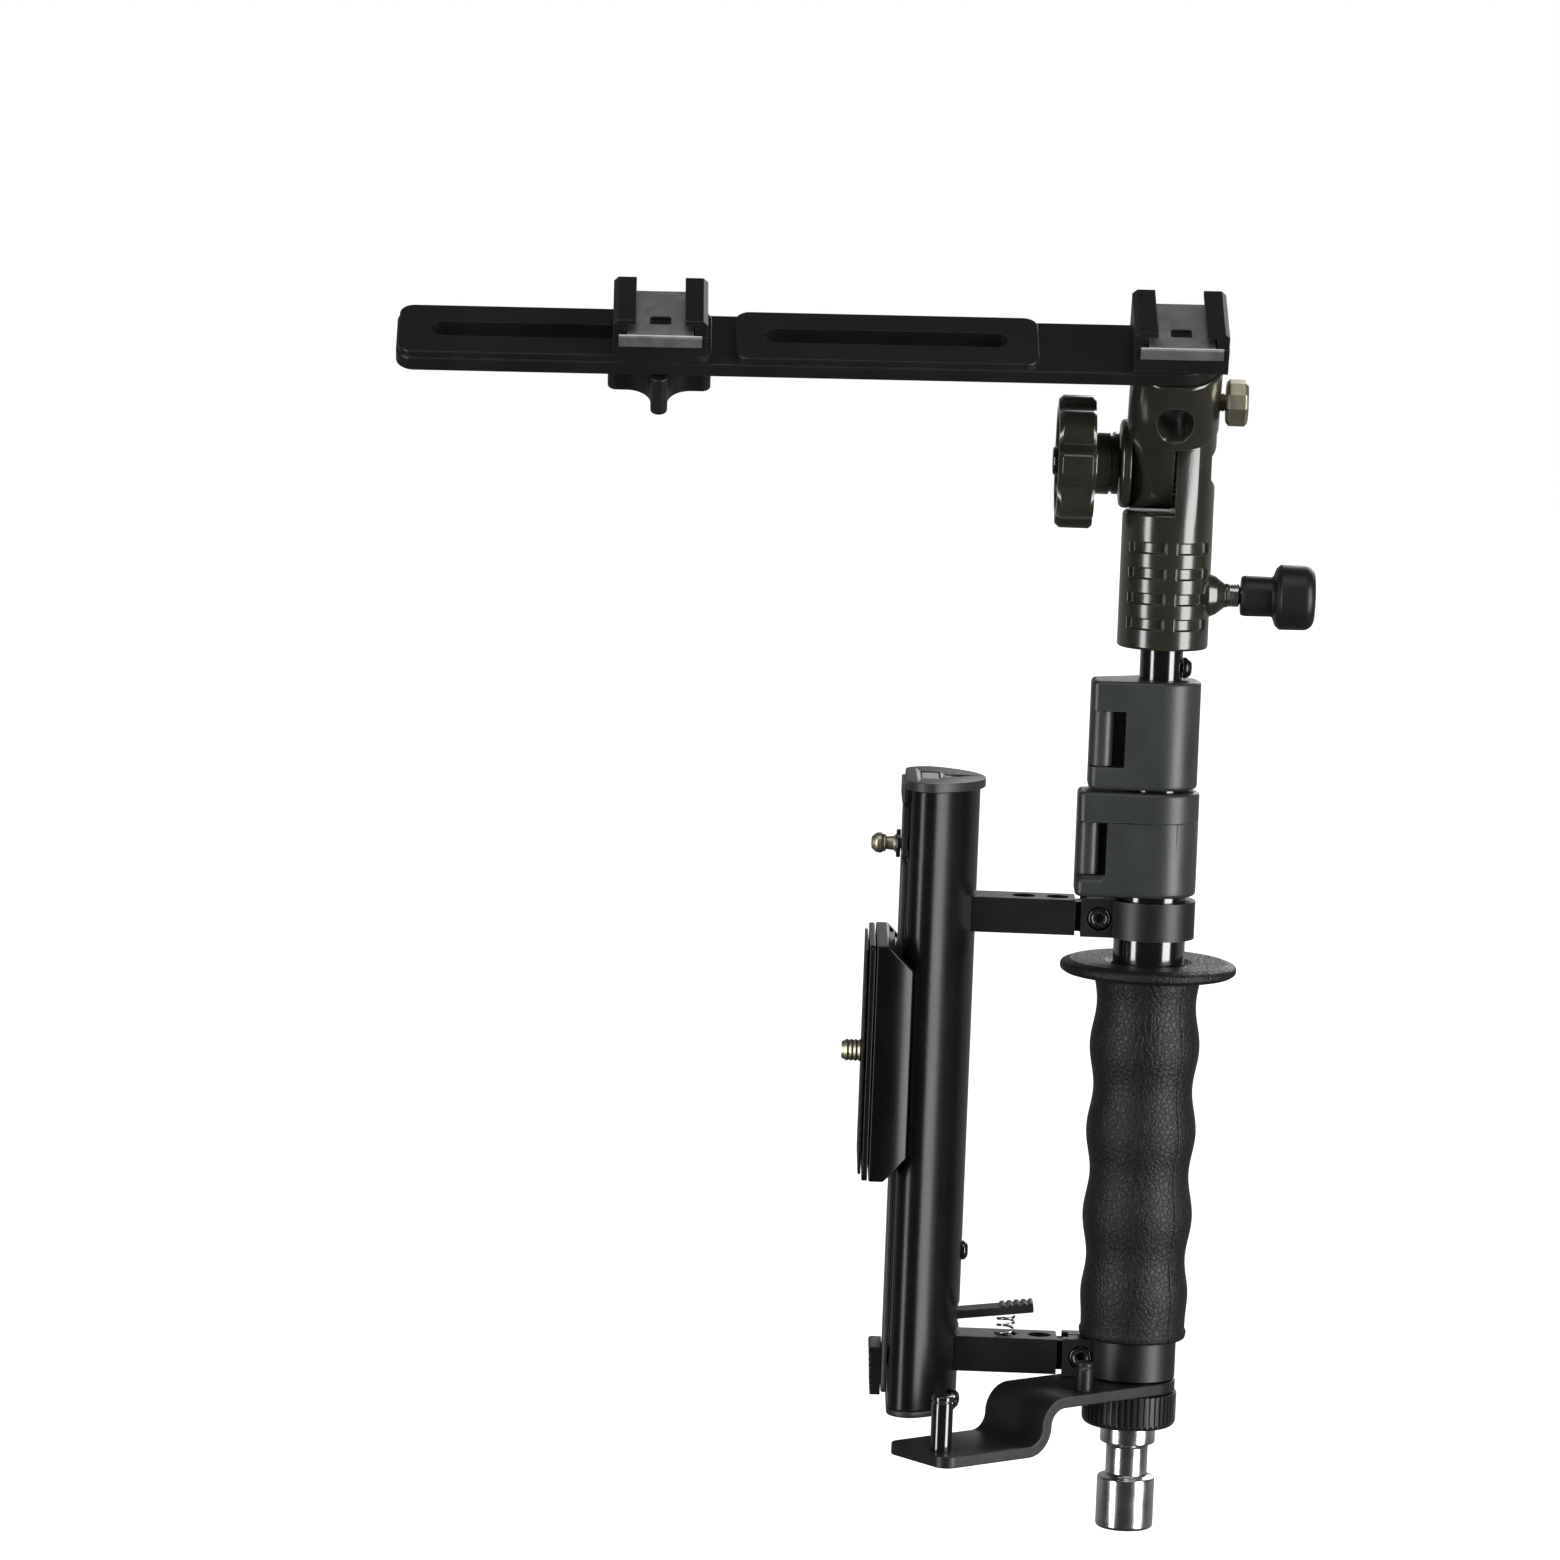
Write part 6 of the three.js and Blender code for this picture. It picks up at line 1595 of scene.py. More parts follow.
hollow_floor = knob_face + hollow_depth
rim_line = rounded([
    (bolt_bore, knob_face + 0.6), (inner_boss_radius, knob_face + 0.6, 0.4),
    (inner_boss_radius, hollow_floor, 0.5), (hollow_radius, hollow_floor, 0.6),
    (hollow_radius, knob_face, 0.5), (lobe_radius - 1.1, knob_face, 0.3),
    (lobe_radius, knob_face + 1.2, 0.5), (lobe_radius, knob_back - 0.9, 0.3),
    (lobe_radius - 0.8, knob_back, 0.3), (hub_radius, knob_back, 0.9),
    (hub_radius, hub_end - 2.6, 0.15), (hub_radius - 0.7, hub_end - 2.3, 0.1),
    (hub_radius - 0.7, hub_end - 1.9, 0.1), (hub_radius - 0.1, hub_end - 1.6, 0.15),
    (hub_radius - 0.1, hub_end, 0.3), (bolt_bore, hub_end),
], closed=False, steps=5)
tilt_knob = smooth(turned("tilt_knob_lobed", rim_line, lobe_count * 40, lobed), 28)
moved(tilt_knob, 0, 0, tilt_z, along_x)
dress(tilt_knob, head_paint, "tilt_knob")
print("tilt knob:", round(2 * lobe_radius, 1), "mm across,", lobe_count, "lobes")

# %% [markdown]
# The bolt goes right through both ears and the knob. Its dark end shows in the knob's boss, and
# its hexagon head lies in a pocket of the socket, so that it can't turn.

# %% Tilt bolt
bolt_low, bolt_high = extent("tilt_bolt")
tilt_bolt_radius = 3.9
tilt_bolt_head_radius = 6.15
tilt_bolt_neck = bolt_high.x - 2.4
line = rounded([
    (0, bolt_low.x), (tilt_bolt_radius, bolt_low.x, 0.7), (tilt_bolt_radius, tilt_bolt_neck),
    (tilt_bolt_radius, bolt_high.x - 2), (0, bolt_high.x - 2),
], closed=False)
tilt_bolt = turned("tilt_bolt_turned", line, 64)
bolt_head = rod("bolt_head", tilt_bolt_head_radius, tilt_bolt_neck, bolt_high.x, 6)
soften(bolt_head, 0.35, 3)
join(tilt_bolt, bolt_head)
smooth(tilt_bolt, 30)
moved(tilt_bolt, 0, 0, tilt_z, along_x)
dress(tilt_bolt, gloss_black, "tilt_bolt")

# %% [markdown]
# ## Flash arm and accessory shoes
# The arm is a flat bar with a round end on the head, two raised plates and two long slots. The
# bar and the plates are rounded one by one before they are joined, so each keeps its own rim,
# and the slots are cut last, right through both.

# %% Flash arm
arm_low, arm_high = extent("flash_arm", arm_placed)
arm_half = arm_high.y
arm_bar_low = arm_low.z
arm_bar_high = arm_bar_low + 4.0
plate_high = arm_high.z
arm_corner = 5
arm_screw_hole = 3.2
plate_inset = 0.6
plate_corner = 4.0
slot_half = 3.35
slot_margin = 9.1
outer_plate = (arm_low.x + plate_inset, -126.7)
inner_plate = (-120.3, -38.0)
outer_slot = (arm_low.x + slot_margin, -132.5)
inner_slot = (-112.6, -46.4)


def round_box(x0, x1, half, radius, steps=10):
    """A box outline with four rounded corners."""
    corners = [(x0, -half, radius), (x1, -half, radius), (x1, half, radius), (x0, half, radius)]
    return rounded(corners, steps=steps)


bar_outline = arc(0, 0, arm_half, -90, 90, 48)
bar_outline += rounded([
    (0, arm_half), (arm_low.x, arm_half, arm_corner), (arm_low.x, -arm_half, arm_corner), (0, -arm_half),
], closed=False, steps=12)[1:-1]
flash_arm = raised("flash_arm_slotted", bar_outline, arm_bar_low, arm_bar_high)
soften(flash_arm, 0.5, angle=50)
for start, end in (outer_plate, inner_plate):
    plate_outline = round_box(start, end, arm_half - plate_inset, plate_corner)
    plate = raised("plate", plate_outline, arm_bar_low + 1.5, plate_high)
    soften(plate, 0.4, angle=50)
    join(flash_arm, plate)
for start, end in (outer_slot, inner_slot):
    slot_outline = round_box(start, end, slot_half, slot_half, 24)
    carve(flash_arm, raised("slot", slot_outline, arm_bar_low - 2, plate_high + 2))
carve(flash_arm, rod("screw_hole", arm_screw_hole, arm_bar_low - 2, plate_high + 2, 48))
soften(flash_arm, 0.25, segments=2, angle=50)
dress(flash_arm, satin_black_arm, "flash_arm", arm_placed)
print("flash arm:", round(arm_high.x - arm_low.x, 1), "mm long")

# %% [markdown]
# An accessory shoe is a short rail with two lips that hold the foot of a flash. Its end view is
# drawn once and pushed along. The lips stop just short of the front, and a bent spring plate
# covers the floor with its front lip folded down over the edge.

# %% Accessory shoes
shoe_half = 12.8
channel_half = 9.4
lip_half = 6.6
channel_height = 2.9
lip_thickness = 1.6
shoe_bevel = 1.3
shoe_front = -12.0
shoe_back = 10.5
lip_start = -10.7
shoe_screw_room = 5.9


def accessory_shoe(name, node, middle_x, floor_height, holder):
    low = extent(node, arm_placed)[0]
    base, floor_z = low.z, low.z + floor_height
    under = floor_z + channel_height
    top = under + lip_thickness
    section = [
        (-shoe_half, base), (shoe_half, base), (shoe_half, top - shoe_bevel), (shoe_half - shoe_bevel, top),
        (lip_half, top), (lip_half, under), (channel_half, under), (channel_half, floor_z),
        (-channel_half, floor_z), (-channel_half, under), (-lip_half, under), (-lip_half, top),
        (shoe_bevel - shoe_half, top), (-shoe_half, top - shoe_bevel),
    ]
    shoe = moved(raised(name, section, -shoe_back, -shoe_front), turn=along_y)
    carve(shoe, block("front_step", (-20, shoe_front - 2, floor_z + 0.25), (20, lip_start, top + 2)))
    carve(shoe, rod("screw_head_room", shoe_screw_room, base - 1, base + 3, 48))
    soften(shoe, 0.3, segments=3, angle=30)
    moved(shoe, middle_x)
    return dress(shoe, holder, node, arm_placed)


shoe_middle = sum(corner.x for corner in extent("slide_shoe", arm_placed)) / 2
accessory_shoe("head_accessory_shoe", "head_shoe", 0, 7.7, satin_black_arm)
accessory_shoe("sliding_accessory_shoe", "slide_shoe", shoe_middle, 6.3, satin_black_arm)

# %% [markdown]
# The spring plate is half a millimetre of brushed steel. Its side view is drawn with the fold,
# pushed across, and trimmed at both sides, so that only the folded lip keeps its full width.
# A small hole with rounded corners is cut through it.

# %% Spring plates
spring_thick = 0.5
spring_half = 9.0
spring_lip_half = 11.2
spring_hole_across, spring_hole_along = 2.9, 2.0
spring_hole_corner = 0.5
spring_hole_middle = -5.0


def spring_plate(name, node, middle_x):
    low, high = extent(node, arm_placed)
    front, back = low.y, high.y
    side = [
        (back, high.z), (back, high.z - spring_thick), (front + spring_thick, high.z - spring_thick, 0.25),
        (front + spring_thick, low.z), (front, low.z), (front, high.z, 0.75),
    ]
    outline = rounded([(-corner[0], *corner[1:]) for corner in side], steps=6)
    plate = raised(name, outline, -spring_lip_half, spring_lip_half)
    turn_side = Matrix(((0, 0, 1, 0), (-1, 0, 0, 0), (0, 1, 0, 0), (0, 0, 0, 1)))
    moved(plate, turn=turn_side)
    for side_x in (-1, 1):
        start, end = sorted((side_x * spring_half, side_x * 20))
        trim_front = front + spring_thick + 0.05
        carve(plate, block("side_trim", (start, trim_front, low.z - 1), (end, back + 1, high.z + 1)))
    hole = round_box(
        -spring_hole_across, spring_hole_across, spring_hole_along, spring_hole_corner, steps=6,
    )
    carve(plate, moved(raised("hole", hole, low.z - 1, high.z + 1), 0, spring_hole_middle))
    soften(plate, 0.12, segments=2, angle=50)
    moved(plate, middle_x)
    return dress(plate, spring_steel, node, arm_placed)


spring_plate("head_spring_plate", "head_shoe_spring", 0)
spring_plate("sliding_spring_plate", "slide_shoe_spring", shoe_middle)

# %% [markdown]
# The knob under the sliding shoe has four wings with round tips and deep round hollows between
# them. Its outline is one wing's arcs, turned four times.

# %% Wing knob under the sliding shoe
wing_low, wing_high = extent("slide_shoe_knob", arm_placed)
wing_radius = 14.0
wing_half = 2.3
wing_fillet = 6.5
wing_hole = 3.2
wing_line = []
for wing in range(4):
    turn = Matrix.Rotation(wing * math.pi / 2, 2)
    tip = arc(wing_radius - wing_half, 0, wing_half, -90, 90, 14)
    hollow = arc(wing_half + wing_fillet, wing_half + wing_fillet, wing_fillet, 270, 180, 14)
    wing_line += [tuple(turn @ Vector(point)) for point in tip + hollow]
wing_knob = raised("wing_knob_moulded", wing_line, wing_low.z, wing_high.z)
carve(wing_knob, rod("stud_hole", wing_hole, wing_low.z + 2, wing_high.z + 2, 48))
soften(wing_knob, 0.9, segments=5, angle=50)
moved(wing_knob, shoe_middle)
dress(wing_knob, knob_plastic, "slide_shoe_knob", arm_placed)

# %% [markdown]
# ## Camera column
# The column is an extrusion, so its outline is pushed up and hollowed with the same outline made
# smaller. The slot for the release lever is cut through the nose. Both caps repeat the outline:
# the lower one is flush, and the upper one stands proud all round with a lip behind the rail.

# %% Column tube
lever_pivot = Vector(joints["release_lever_press"]["pos_m"]) / MM
lever_incline = math.radians(6.9)
lever_blade_width = 7.0
window_middle = lever_pivot.z + (column_centre + column_nose - lever_pivot.x) * math.tan(lever_incline)
window_half = 3.2
side_screws = {"upper_side_screw": 0, "lower_side_screw": -18}


def out_of_nose(angle, height):
    """Frame whose Z points straight out of the column's nose at an angle in degrees."""
    turn = math.radians(angle)
    across, along = column_nose * math.cos(turn), column_half * math.sin(turn)
    share = math.hypot(across, along)
    foot = Vector((column_centre + column_nose * across / share, column_half * along / share, height))
    return Matrix.Translation(foot * MM) @ Matrix.Rotation(turn, 4, "Z") @ along_x


column = raised("column_tube_extruded", column_outline(0, 72), column_low.z, column_high.z)
lever_half = lever_blade_width / 2 + 0.3
carve(
    column,
    raised("inside", column_outline(-column_wall, 72), column_low.z - 5, column_high.z + 5),
    block(
        "lever_slot", (column_centre, -lever_half, window_middle - window_half),
        (0, lever_half, window_middle + window_half),
    ),
)
for node, angle in side_screws.items():
    node_low, node_high = extent(node)
    hole = rod("screw_hole", 1.5, -4, 4, 32)
    hole.data.transform(out_of_nose(angle, (node_low.z + node_high.z) / 2))
    carve(column, hole)
soften(column, 0.35, segments=3, angle=50)
dress(column, satin_black, "column_tube")
print("column:", round(column_high.z - column_low.z, 1), "mm long")

# %% [markdown]
# The lower cap is the column's outline with a soft edge. Its plug is the same outline, shrunk by
# the wall and a gap, and goes up into the tube. The stem of the thumb latch comes down there when
# the latch slides, so a slot in the plug leaves it room.

# %% Lower cap
foot_cap_low, foot_cap_high = extent("column_bottom_cap")
foot_cap_edge = column_low.z - 0.3
foot_cap = raised("column_foot_cap", column_outline(0.25, 72), foot_cap_low.z, foot_cap_edge)
soften(foot_cap, 0.6, segments=4, angle=50)
plug_gap = 0.3
plug_outline = column_outline(-column_wall - plug_gap)
plug = raised("plug", plug_outline, foot_cap_edge - 0.5, foot_cap_high.z)

latch_low, latch_high = extent("thumb_latch")
stem_low = latch_low.z + 9.0
stem_half = 2.4
stem_room = 0.4
latch_travel = 3.5
way_half = stem_half + stem_room
way_low = (column_low.x - 2, -way_half, stem_low - latch_travel - stem_room)
way_high = (latch_high.x + 0.5, way_half, foot_cap_high.z + 1)
carve(plug, block("stem_way", way_low, way_high))
join(foot_cap, plug)
smooth(foot_cap, 40)
dress(foot_cap, cap_plastic, "column_bottom_cap")
print("latch stem stays", round(way_low[2] + stem_room, 1), "mm above the ground or more")

# %% [markdown]
# The upper cap stands proud all round and has a lip behind the rail. Its window is sunk into the
# top, with a very shallow round dimple beside it.

# %% Upper cap
top_cap_low, top_cap_high = extent("column_top_cap")
cap_overhang = 1.4
cap_foot = column_high.z + 0.3
cap_lip_half = 12.0
cap_lip_foot = cap_foot - 4.0
cap_plug_length = 8
recess_gap = 0.3
window_low, window_high = extent("cap_window")
top_cap = raised("column_top_cap_moulded", column_outline(cap_overhang, 96), cap_foot, top_cap_high.z)
lip_outline = round_box(top_cap_low.x, column_low.x - 0.3, cap_lip_half, 0.8)
lip = raised("lip", lip_outline, cap_lip_foot, cap_foot + 1.0)
join(top_cap, lip)
soften(top_cap, 0.55, segments=4, angle=50)
plug = raised("plug", plug_outline, cap_foot - cap_plug_length, cap_foot + 0.5)
join(top_cap, plug)
recess_outline = round_box(
    window_low.x - recess_gap, window_high.x + recess_gap, window_high.y + recess_gap, 0.9,
)
recess = raised("recess", recess_outline, window_low.z - recess_gap, top_cap_high.z + 3)
dimple_x = column_centre + 5.5
dimple = turned("dimple", [
    (0, top_cap_high.z - 0.28), (2.6, top_cap_high.z - 0.2),
    (3.1, top_cap_high.z + 2), (0, top_cap_high.z + 2),
], 48)
carve(top_cap, recess, moved(dimple, dimple_x))
smooth(top_cap, 40)
dress(top_cap, cap_plastic, "column_top_cap")

# %% Cap window
pane = raised(
    "cap_window_pane",
    round_box(window_low.x, window_high.x, window_high.y, 0.7), window_low.z, window_high.z,
)
soften(pane, 0.25, segments=3, angle=50)
dress(pane, pale_plastic, "cap_window")

# %% [markdown]
# ## Rail, ball stud and latch
# A thin strip with rounded corners is the rail for the carriage, on the column's flat back.
# Above it sits a dark plastic block with a warm nickel ball stud. The strip is drawn lying down,
# pushed up and then tipped upright, because the outline maker works in the flat.

# %% Rail plate and end block
stand_up = Matrix(((0, 0, -1, 0), (0, 1, 0, 0), (1, 0, 0, 0), (0, 0, 0, 1)))
rail_low, rail_high = extent("rail_plate")
rail_half = rail_high.y
rail_corner = 2.5
rail_foot = rail_low.z - 1.4
rail_outline = round_box(rail_foot, rail_high.z, rail_half, rail_corner)
rail = raised("rail_plate_strip", rail_outline, -rail_high.x, -rail_low.x)
moved(rail, turn=stand_up)
soften(rail, 0.6, segments=4, angle=50)
# The rail's light coat is partly its own grey and partly painted highlight.
dress(rail, satin_rail_grey_and_highlight, "rail_plate")

end_low, end_high = extent("rail_end_block")
ball_place_z = sum(corner.z for corner in extent("ball_stud")) / 2
end_outline = round_box(end_low.z, end_high.z, end_high.y, 1.6)
end_block = raised("rail_end_moulded", end_outline, -end_high.x, -end_low.x)
moved(end_block, turn=stand_up)
ball_room = rod("ball_hole", 1.6, -20, 20, 32)
carve(end_block, moved(ball_room, (end_low.x + end_high.x) / 2, 0, ball_place_z, along_x))
soften(end_block, 0.35, segments=3, angle=50)
dress(end_block, cap_plastic, "rail_end_block")

# %% [markdown]
# The ball stud is turned: a ball with a blunt end, a waist, and a foot that sits on a black
# washer. Both are drawn as one line each and laid along X.

# %% Ball stud and washer
washer_low, washer_high = extent("ball_stud_washer")
washer_radius = (washer_high.y - washer_low.y) / 2
washer_bore = 2.1
washer_line = rounded([
    (washer_bore, washer_low.x), (washer_radius, washer_low.x, 0.45),
    (washer_radius, washer_high.x, 0.3), (washer_bore, washer_high.x),
], steps=5)
washer = smooth(turned("ball_washer_turned", washer_line, 64), 40)
dress(moved(washer, 0, 0, ball_place_z, along_x), gloss_black, "ball_stud_washer")

ball_low, ball_high = extent("ball_stud")
ball_radius = (ball_high.y - ball_low.y) / 2
ball_end = ball_low.x + 4.0
ball_neck = 2.0
ball_shank = 1.45
ball_line = rounded([
    (0, ball_low.x), (ball_radius * 0.55, ball_low.x + 0.05, 1.2),
    (ball_radius - 0.05, ball_low.x + 1.5, 1.6), (ball_radius, ball_end - 1.1, 0.5),
    (ball_radius - 0.45, ball_end - 0.5, 0.2), (ball_radius - 0.3, ball_end, 0.2),
    (ball_neck - 0.2, ball_end + 0.1, 0.3), (ball_neck, washer_low.x - 0.6, 0.5),
    (ball_neck + 0.7, washer_low.x, 0.2), (ball_neck, washer_low.x + 0.05),
    (ball_neck, washer_low.x + 0.3), (ball_shank, washer_low.x + 0.4),
    (ball_shank, ball_high.x), (0, ball_high.x),
], closed=False)
ball = smooth(turned("ball_stud_turned", ball_line, 72), 35)
dress(moved(ball, 0, 0, ball_place_z, along_x), nickel, "ball_stud")

# %% [markdown]
# The thumb latch is a small ribbed slider on the rail. Its side view is a thin wedge with seven
# ridges for the thumb, and a stem at its back goes into the column.

# %% Thumb latch
latch_face = rail_low.x - 0.15
latch_foot_thick = 3.0
latch_top_thick = 3.6
latch_top = latch_high.z - 1.0
latch_foot = latch_low.z + 1.4
latch_ridges = 7
ridge_depth = 0.5
stem_height = 4.0
side = [
    (-latch_face, latch_foot, 0.2), (-latch_face, latch_top, 0.3),
    (-latch_face + latch_top_thick, latch_top, 0.9),
]
for ridge in range(latch_ridges * 4):
    share = (ridge + 1.5) / (latch_ridges * 4 + 1)
    thick = latch_top_thick + (latch_foot_thick - latch_top_thick) * share
    pull = (0, 0.5, 1, 0.5)[ridge % 4] * ridge_depth
    height = latch_top - 0.9 - (latch_top - latch_foot - 1.2) * share
    side.append((-latch_face + thick - pull, height, 0.2))
side.append((-latch_face + latch_foot_thick, latch_foot, 0.4))
latch = raised("thumb_latch_ribbed", rounded(side, steps=3), -latch_high.y, latch_high.y)
upright_side = Matrix(((-1, 0, 0, 0), (0, 0, 1, 0), (0, 1, 0, 0), (0, 0, 0, 1)))
moved(latch, turn=upright_side)
soften(latch, 0.3, segments=3, angle=50)
stem = block(
    "stem", (latch_face - 0.3, -stem_half, stem_low), (latch_high.x, stem_half, stem_low + stem_height),
)
join(latch, stem)
smooth(latch, 35)
dress(latch, knob_plastic, "thumb_latch")

# %% [markdown]
# Two small domed screws sit in the column's nose. One points straight out of it, and the other
# is turned a little aside.

# %% Side screws
side_screw_radius = 2.7
side_screw_dome = 1.7
side_screw_depth = 5.5
for node, angle in side_screws.items():
    node_low, node_high = extent(node)
    placed = out_of_nose(angle, (node_low.z + node_high.z) / 2)
    dome_screw(
        node + "_domed", node, side_screw_radius, side_screw_dome, side_screw_depth, placed,
    )

# %% [markdown]
# ## Release lever and spring
# The lever is a flat blade on a pin inside the column, with a comb of five teeth at its thumb
# end. Under it a small coil spring stands in the square arm. The spring is a wire along a helix,
# with its last turns closer together, as real spring ends are, so that they sit flat.

# %% Release lever
blade_high = extent("release_lever")[1]
blade_thick = 2.3
blade_length = (blade_high.x - lever_pivot.x) / math.cos(lever_incline) - 0.3
tooth_run = 10.0
tooth_count = 5
tooth_rise = 0.5
eye_radius = 2.6
lever_pin_hole = 1.05
pitch = tooth_run / tooth_count
half_blade = blade_thick / 2
tooth_top = half_blade + tooth_rise
side = [(0, -half_blade), (blade_length, -half_blade, 0.4), (blade_length, tooth_top, 0.45)]
for tooth in range(tooth_count):
    x = blade_length - tooth * pitch
    side += [(x - pitch * 0.56, tooth_top, 0.3), (x - pitch * 0.68, half_blade, 0.2)]
    side.append((x - pitch * 0.88, half_blade, 0.2))
    if tooth < tooth_count - 1:
        side.append((x - pitch, tooth_top, 0.3))
side.append((0, half_blade))
half_width = lever_blade_width / 2
release = raised("release_lever_blade", rounded(side, steps=4), -half_width, half_width)
moved(release, turn=along_y)
eye_half = half_width - 0.15
join(release, moved(rod("eye", eye_radius, -eye_half, eye_half, 48), turn=along_y))
carve(release, moved(rod("pin_hole", lever_pin_hole, -10, 10, 32), turn=along_y))
soften(release, 0.22, segments=3, angle=40)
lever_placed = Matrix.Translation(lever_pivot * MM) @ Matrix.Rotation(-lever_incline, 4, "Y")
dress(release, steel_black, "release_lever", lever_placed)

# %% [markdown]
# The coil is a ring of points carried along the helix, with faces from each ring to the next.

# %% Release spring
coil_low, coil_high = extent("release_spring")
coil_middle = Vector(((coil_low.x + coil_high.x) / 2, 0, 0))
wire_radius = 0.375
coil_radius = 2.3
coil_foot, coil_top = coil_low.z + wire_radius, coil_high.z - wire_radius
coil_turns = 5
coil_gather = 0.045
steps_per_turn = 36
wire_sides = 12
count = coil_turns * steps_per_turn
path = []
for step in range(count + 1):
    turn = 2 * math.pi * step / steps_per_turn
    share = step / count
    gathered = share - coil_gather * math.sin(2 * math.pi * share)
    height = coil_foot + (coil_top - coil_foot) * gathered
    path.append(Vector((coil_radius * math.cos(turn), coil_radius * math.sin(turn), height)))
points, faces = [], []
for step, middle in enumerate(path):
    along = (path[min(step + 1, count)] - path[max(step - 1, 0)]).normalized()
    out = Vector((middle.x, middle.y, 0)).normalized()
    out = (out - along * out.dot(along)).normalized()
    aside = along.cross(out)
    for side in range(wire_sides):
        around = 2 * math.pi * side / wire_sides
        points.append(middle + (out * math.cos(around) + aside * math.sin(around)) * wire_radius)
for step in range(count):
    for side in range(wire_sides):
        first = step * wire_sides + side
        second = step * wire_sides + (side + 1) % wire_sides
        faces.append([first, second, second + wire_sides, first + wire_sides])
faces += [list(range(wire_sides)), list(range(count * wire_sides, (count + 1) * wire_sides))]
spring = smooth(moved(solid("release_spring_coil", points, faces), coil_middle.x), 50)
dress(spring, spring_wire_steel, "release_spring")
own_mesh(spring)
print("spring:", coil_turns, "turns,", round(coil_high.z - coil_low.z, 1), "mm long")

# %% [markdown]
# ## Carriage and camera platform
# The carriage is a milled block that slides on the rail and half wraps the column. Its plan and
# its side view are drawn as flat outlines, and the block is what both have in common. The channel
# for column and rail and the three notched grooves of the top bevel are cut afterwards.

# %% Carriage
carriage_low, carriage_high = extent("carriage")
carriage_half = carriage_high.y
side_bevel = 4.4
side_bevel_depth = 2.5
top_bevel = 7.0
foot_bevel = 6.3
groove_count = 3
groove_pitch = 2.1
groove_size = 0.75
groove_margin = 4.2
over = 10
left, right_edge = carriage_low.x, carriage_high.x
plan = [
    (left, -carriage_half), (right_edge - side_bevel, -carriage_half),
    (right_edge, side_bevel_depth - carriage_half), (right_edge, carriage_half - side_bevel_depth),
    (right_edge - side_bevel, carriage_half), (left, carriage_half),
]
carriage = raised("carriage_milled", plan, carriage_low.z - over, carriage_high.z + over)
side = [
    (left - over, carriage_low.z), (right_edge - foot_bevel, carriage_low.z),
    (right_edge, carriage_low.z + foot_bevel), (right_edge, carriage_high.z - top_bevel),
    (right_edge - top_bevel, carriage_high.z), (left - over, carriage_high.z),
]
profile = raised("side_view", side, -carriage_half - over, carriage_half + over)
moved(profile, turn=along_y)
combine(carriage, [profile], "INTERSECT")
channel_gap = 0.3
head_pocket_radius = 6.65
head_pocket_depth = 2.5
pocket = rod("head_pocket", head_pocket_radius, left - over, left + head_pocket_depth, 64)
carve(
    carriage,
    raised("channel", column_outline(channel_gap, 72), 0, column_high.z),
    block(
        "rail_channel", (rail_low.x - channel_gap, -rail_half - channel_gap, 0),
        (column_low.x + 1, rail_half + channel_gap, column_high.z),
    ),
    moved(pocket, 0, 0, (carriage_low.z + carriage_high.z) / 2, along_x),
)
soften(carriage, 0.55, segments=4, angle=35)
for groove in range(groove_count):
    along = (groove + 0.8) * groove_pitch / math.sqrt(2)
    groove_half = carriage_half - groove_margin
    notch = block(
        "notch", (-groove_size, -groove_half, -groove_size), (groove_size, groove_half, groove_size),
    )
    carve(carriage, moved(notch, right_edge - top_bevel + along, 0, carriage_high.z - along))
smooth(carriage, 30)
# The carriage wears the darker copy of the satin coat, which is painted shade.
dress(carriage, satin_painted_shade, "carriage")
print("carriage:", round(carriage_high.z - carriage_low.z, 1), "mm tall")

# %% [markdown]
# The platform is a milled plate with a rubber pad, and the camera's screw comes through both.
# Its thread is a row of rings, like the other threads.

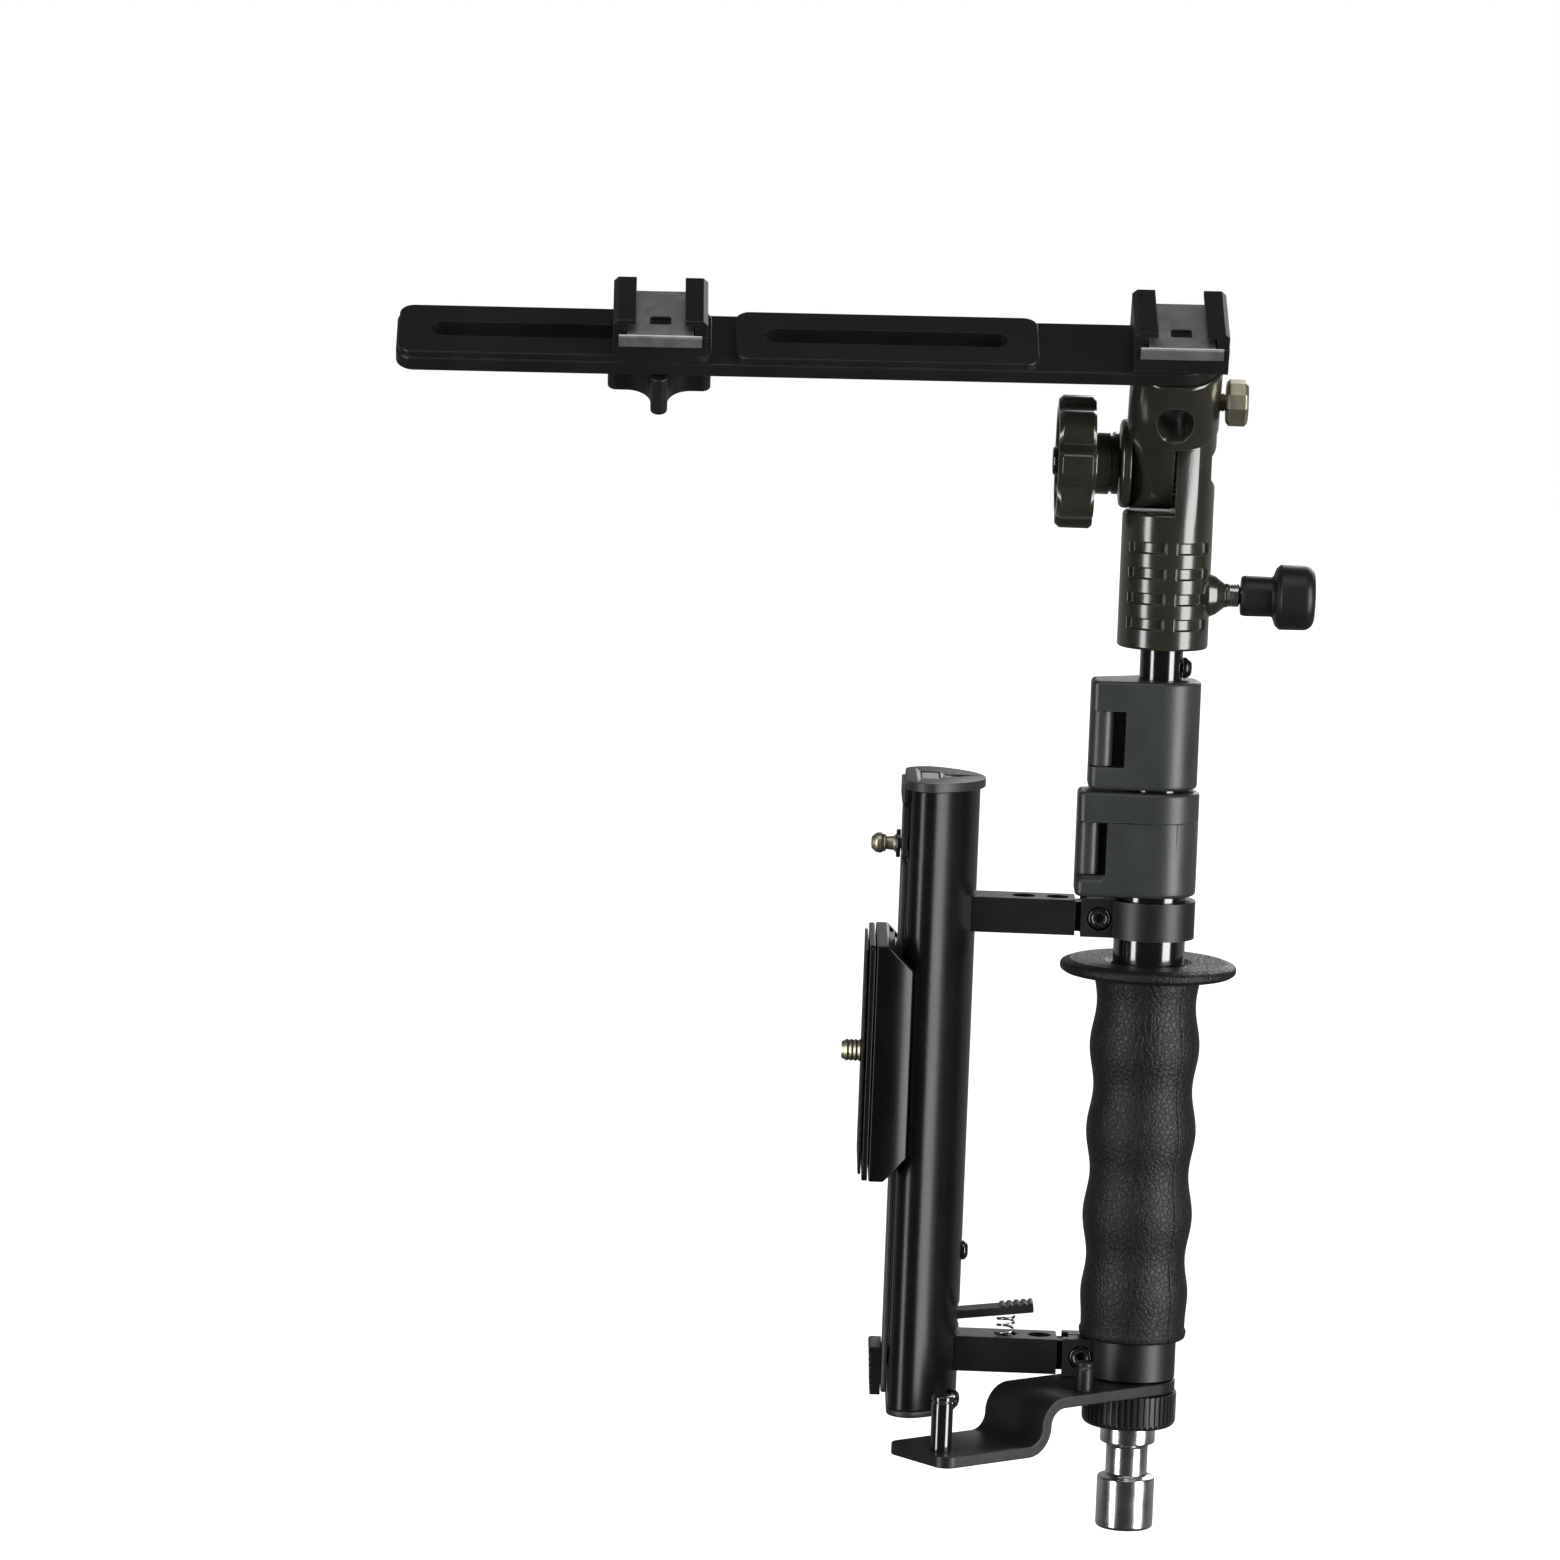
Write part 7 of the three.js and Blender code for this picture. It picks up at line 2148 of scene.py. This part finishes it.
# %% Platform plate, pad and camera screw
platform_hole = 3.4
camera_thread_points = 12
camera_thread_step = 0.6
camera_thread_depth = 0.35
for name, node, finish, width in (
    ("platform_plate_milled", "platform_plate", satin_black, 0.35),
    ("platform_pad_rubber", "platform_pad", soft_rubber, 0.25),
):
    low, high = extent(node)
    plate = raised(name, round_box(low.z, high.z, high.y, 2.0), -high.x, -low.x)
    moved(plate, turn=stand_up)
    hole = rod("screw_hole", platform_hole, low.x - 5, high.x + 5, 64)
    carve(plate, moved(hole, 0, 0, (low.z + high.z) / 2, along_x))
    soften(plate, width, segments=3, angle=50)
    dress(plate, finish, node)

bolt_low, bolt_high = extent("camera_screw")
bolt_middle = (bolt_low + bolt_high) / 2
bolt_head_radius = (bolt_high.y - bolt_low.y) / 2
bolt_radius = 3.1
bolt_head = 2.1
thread = []
for ring in range(camera_thread_points):
    groove = camera_thread_depth if ring % 2 == 0 else 0
    thread.append((bolt_radius - groove, bolt_low.x + 0.9 + ring * camera_thread_step))
bolt_line = [(0, bolt_low.x), (bolt_radius - 0.8, bolt_low.x)] + thread + rounded([
    (bolt_radius - 0.1, bolt_high.x - bolt_head - 0.6), (bolt_radius - 0.1, bolt_high.x - bolt_head, 0.1),
    (bolt_head_radius, bolt_high.x - bolt_head, 0.3), (bolt_head_radius, bolt_high.x, 0.5), (0, bolt_high.x),
], closed=False)
camera_bolt = smooth(turned("camera_screw_threaded", bolt_line, 72), 40)
moved(camera_bolt, 0, 0, bolt_middle.z, along_x)
dress(camera_bolt, nickel, "camera_screw")

# %% [markdown]
# ## Pieces kept from the frame
# What sits inside the tubes, and a few pins and screws, are simple turned pieces whose shape in
# the frame is already right. They keep their mesh and only get the finer finish of their slot.

# %% Finishes for the kept nodes
kept_finishes = {
    "chrome": chrome, "knob_plastic": knob_plastic, "steel_black": steel_black, "gloss_black": gloss_black,
    "satin_black": satin_black, "soft_rubber": soft_rubber, "lock_plastic": lock_plastic, "nickel": nickel,
    "head_paint": head_paint, "spring_steel": spring_steel, "pale_plastic": pale_plastic,
}
kept = 0
for node, holder in frame["nodes"].items():
    for i in range(len(holder.material_slots)):
        holder.material_slots[i].material = kept_finishes[record_slots[node]]
    kept += 1
print("pieces made:", len(dressed), "frame nodes finished:", kept)

# %% Measure the two boxes and finish
new_low, new_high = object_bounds()
changes = [abs(new - old) for new, old in zip(new_low[:] + new_high[:], cad_low[:] + cad_high[:])]
print("largest change of a side:", round(max(changes) / MM, 2), "mm")
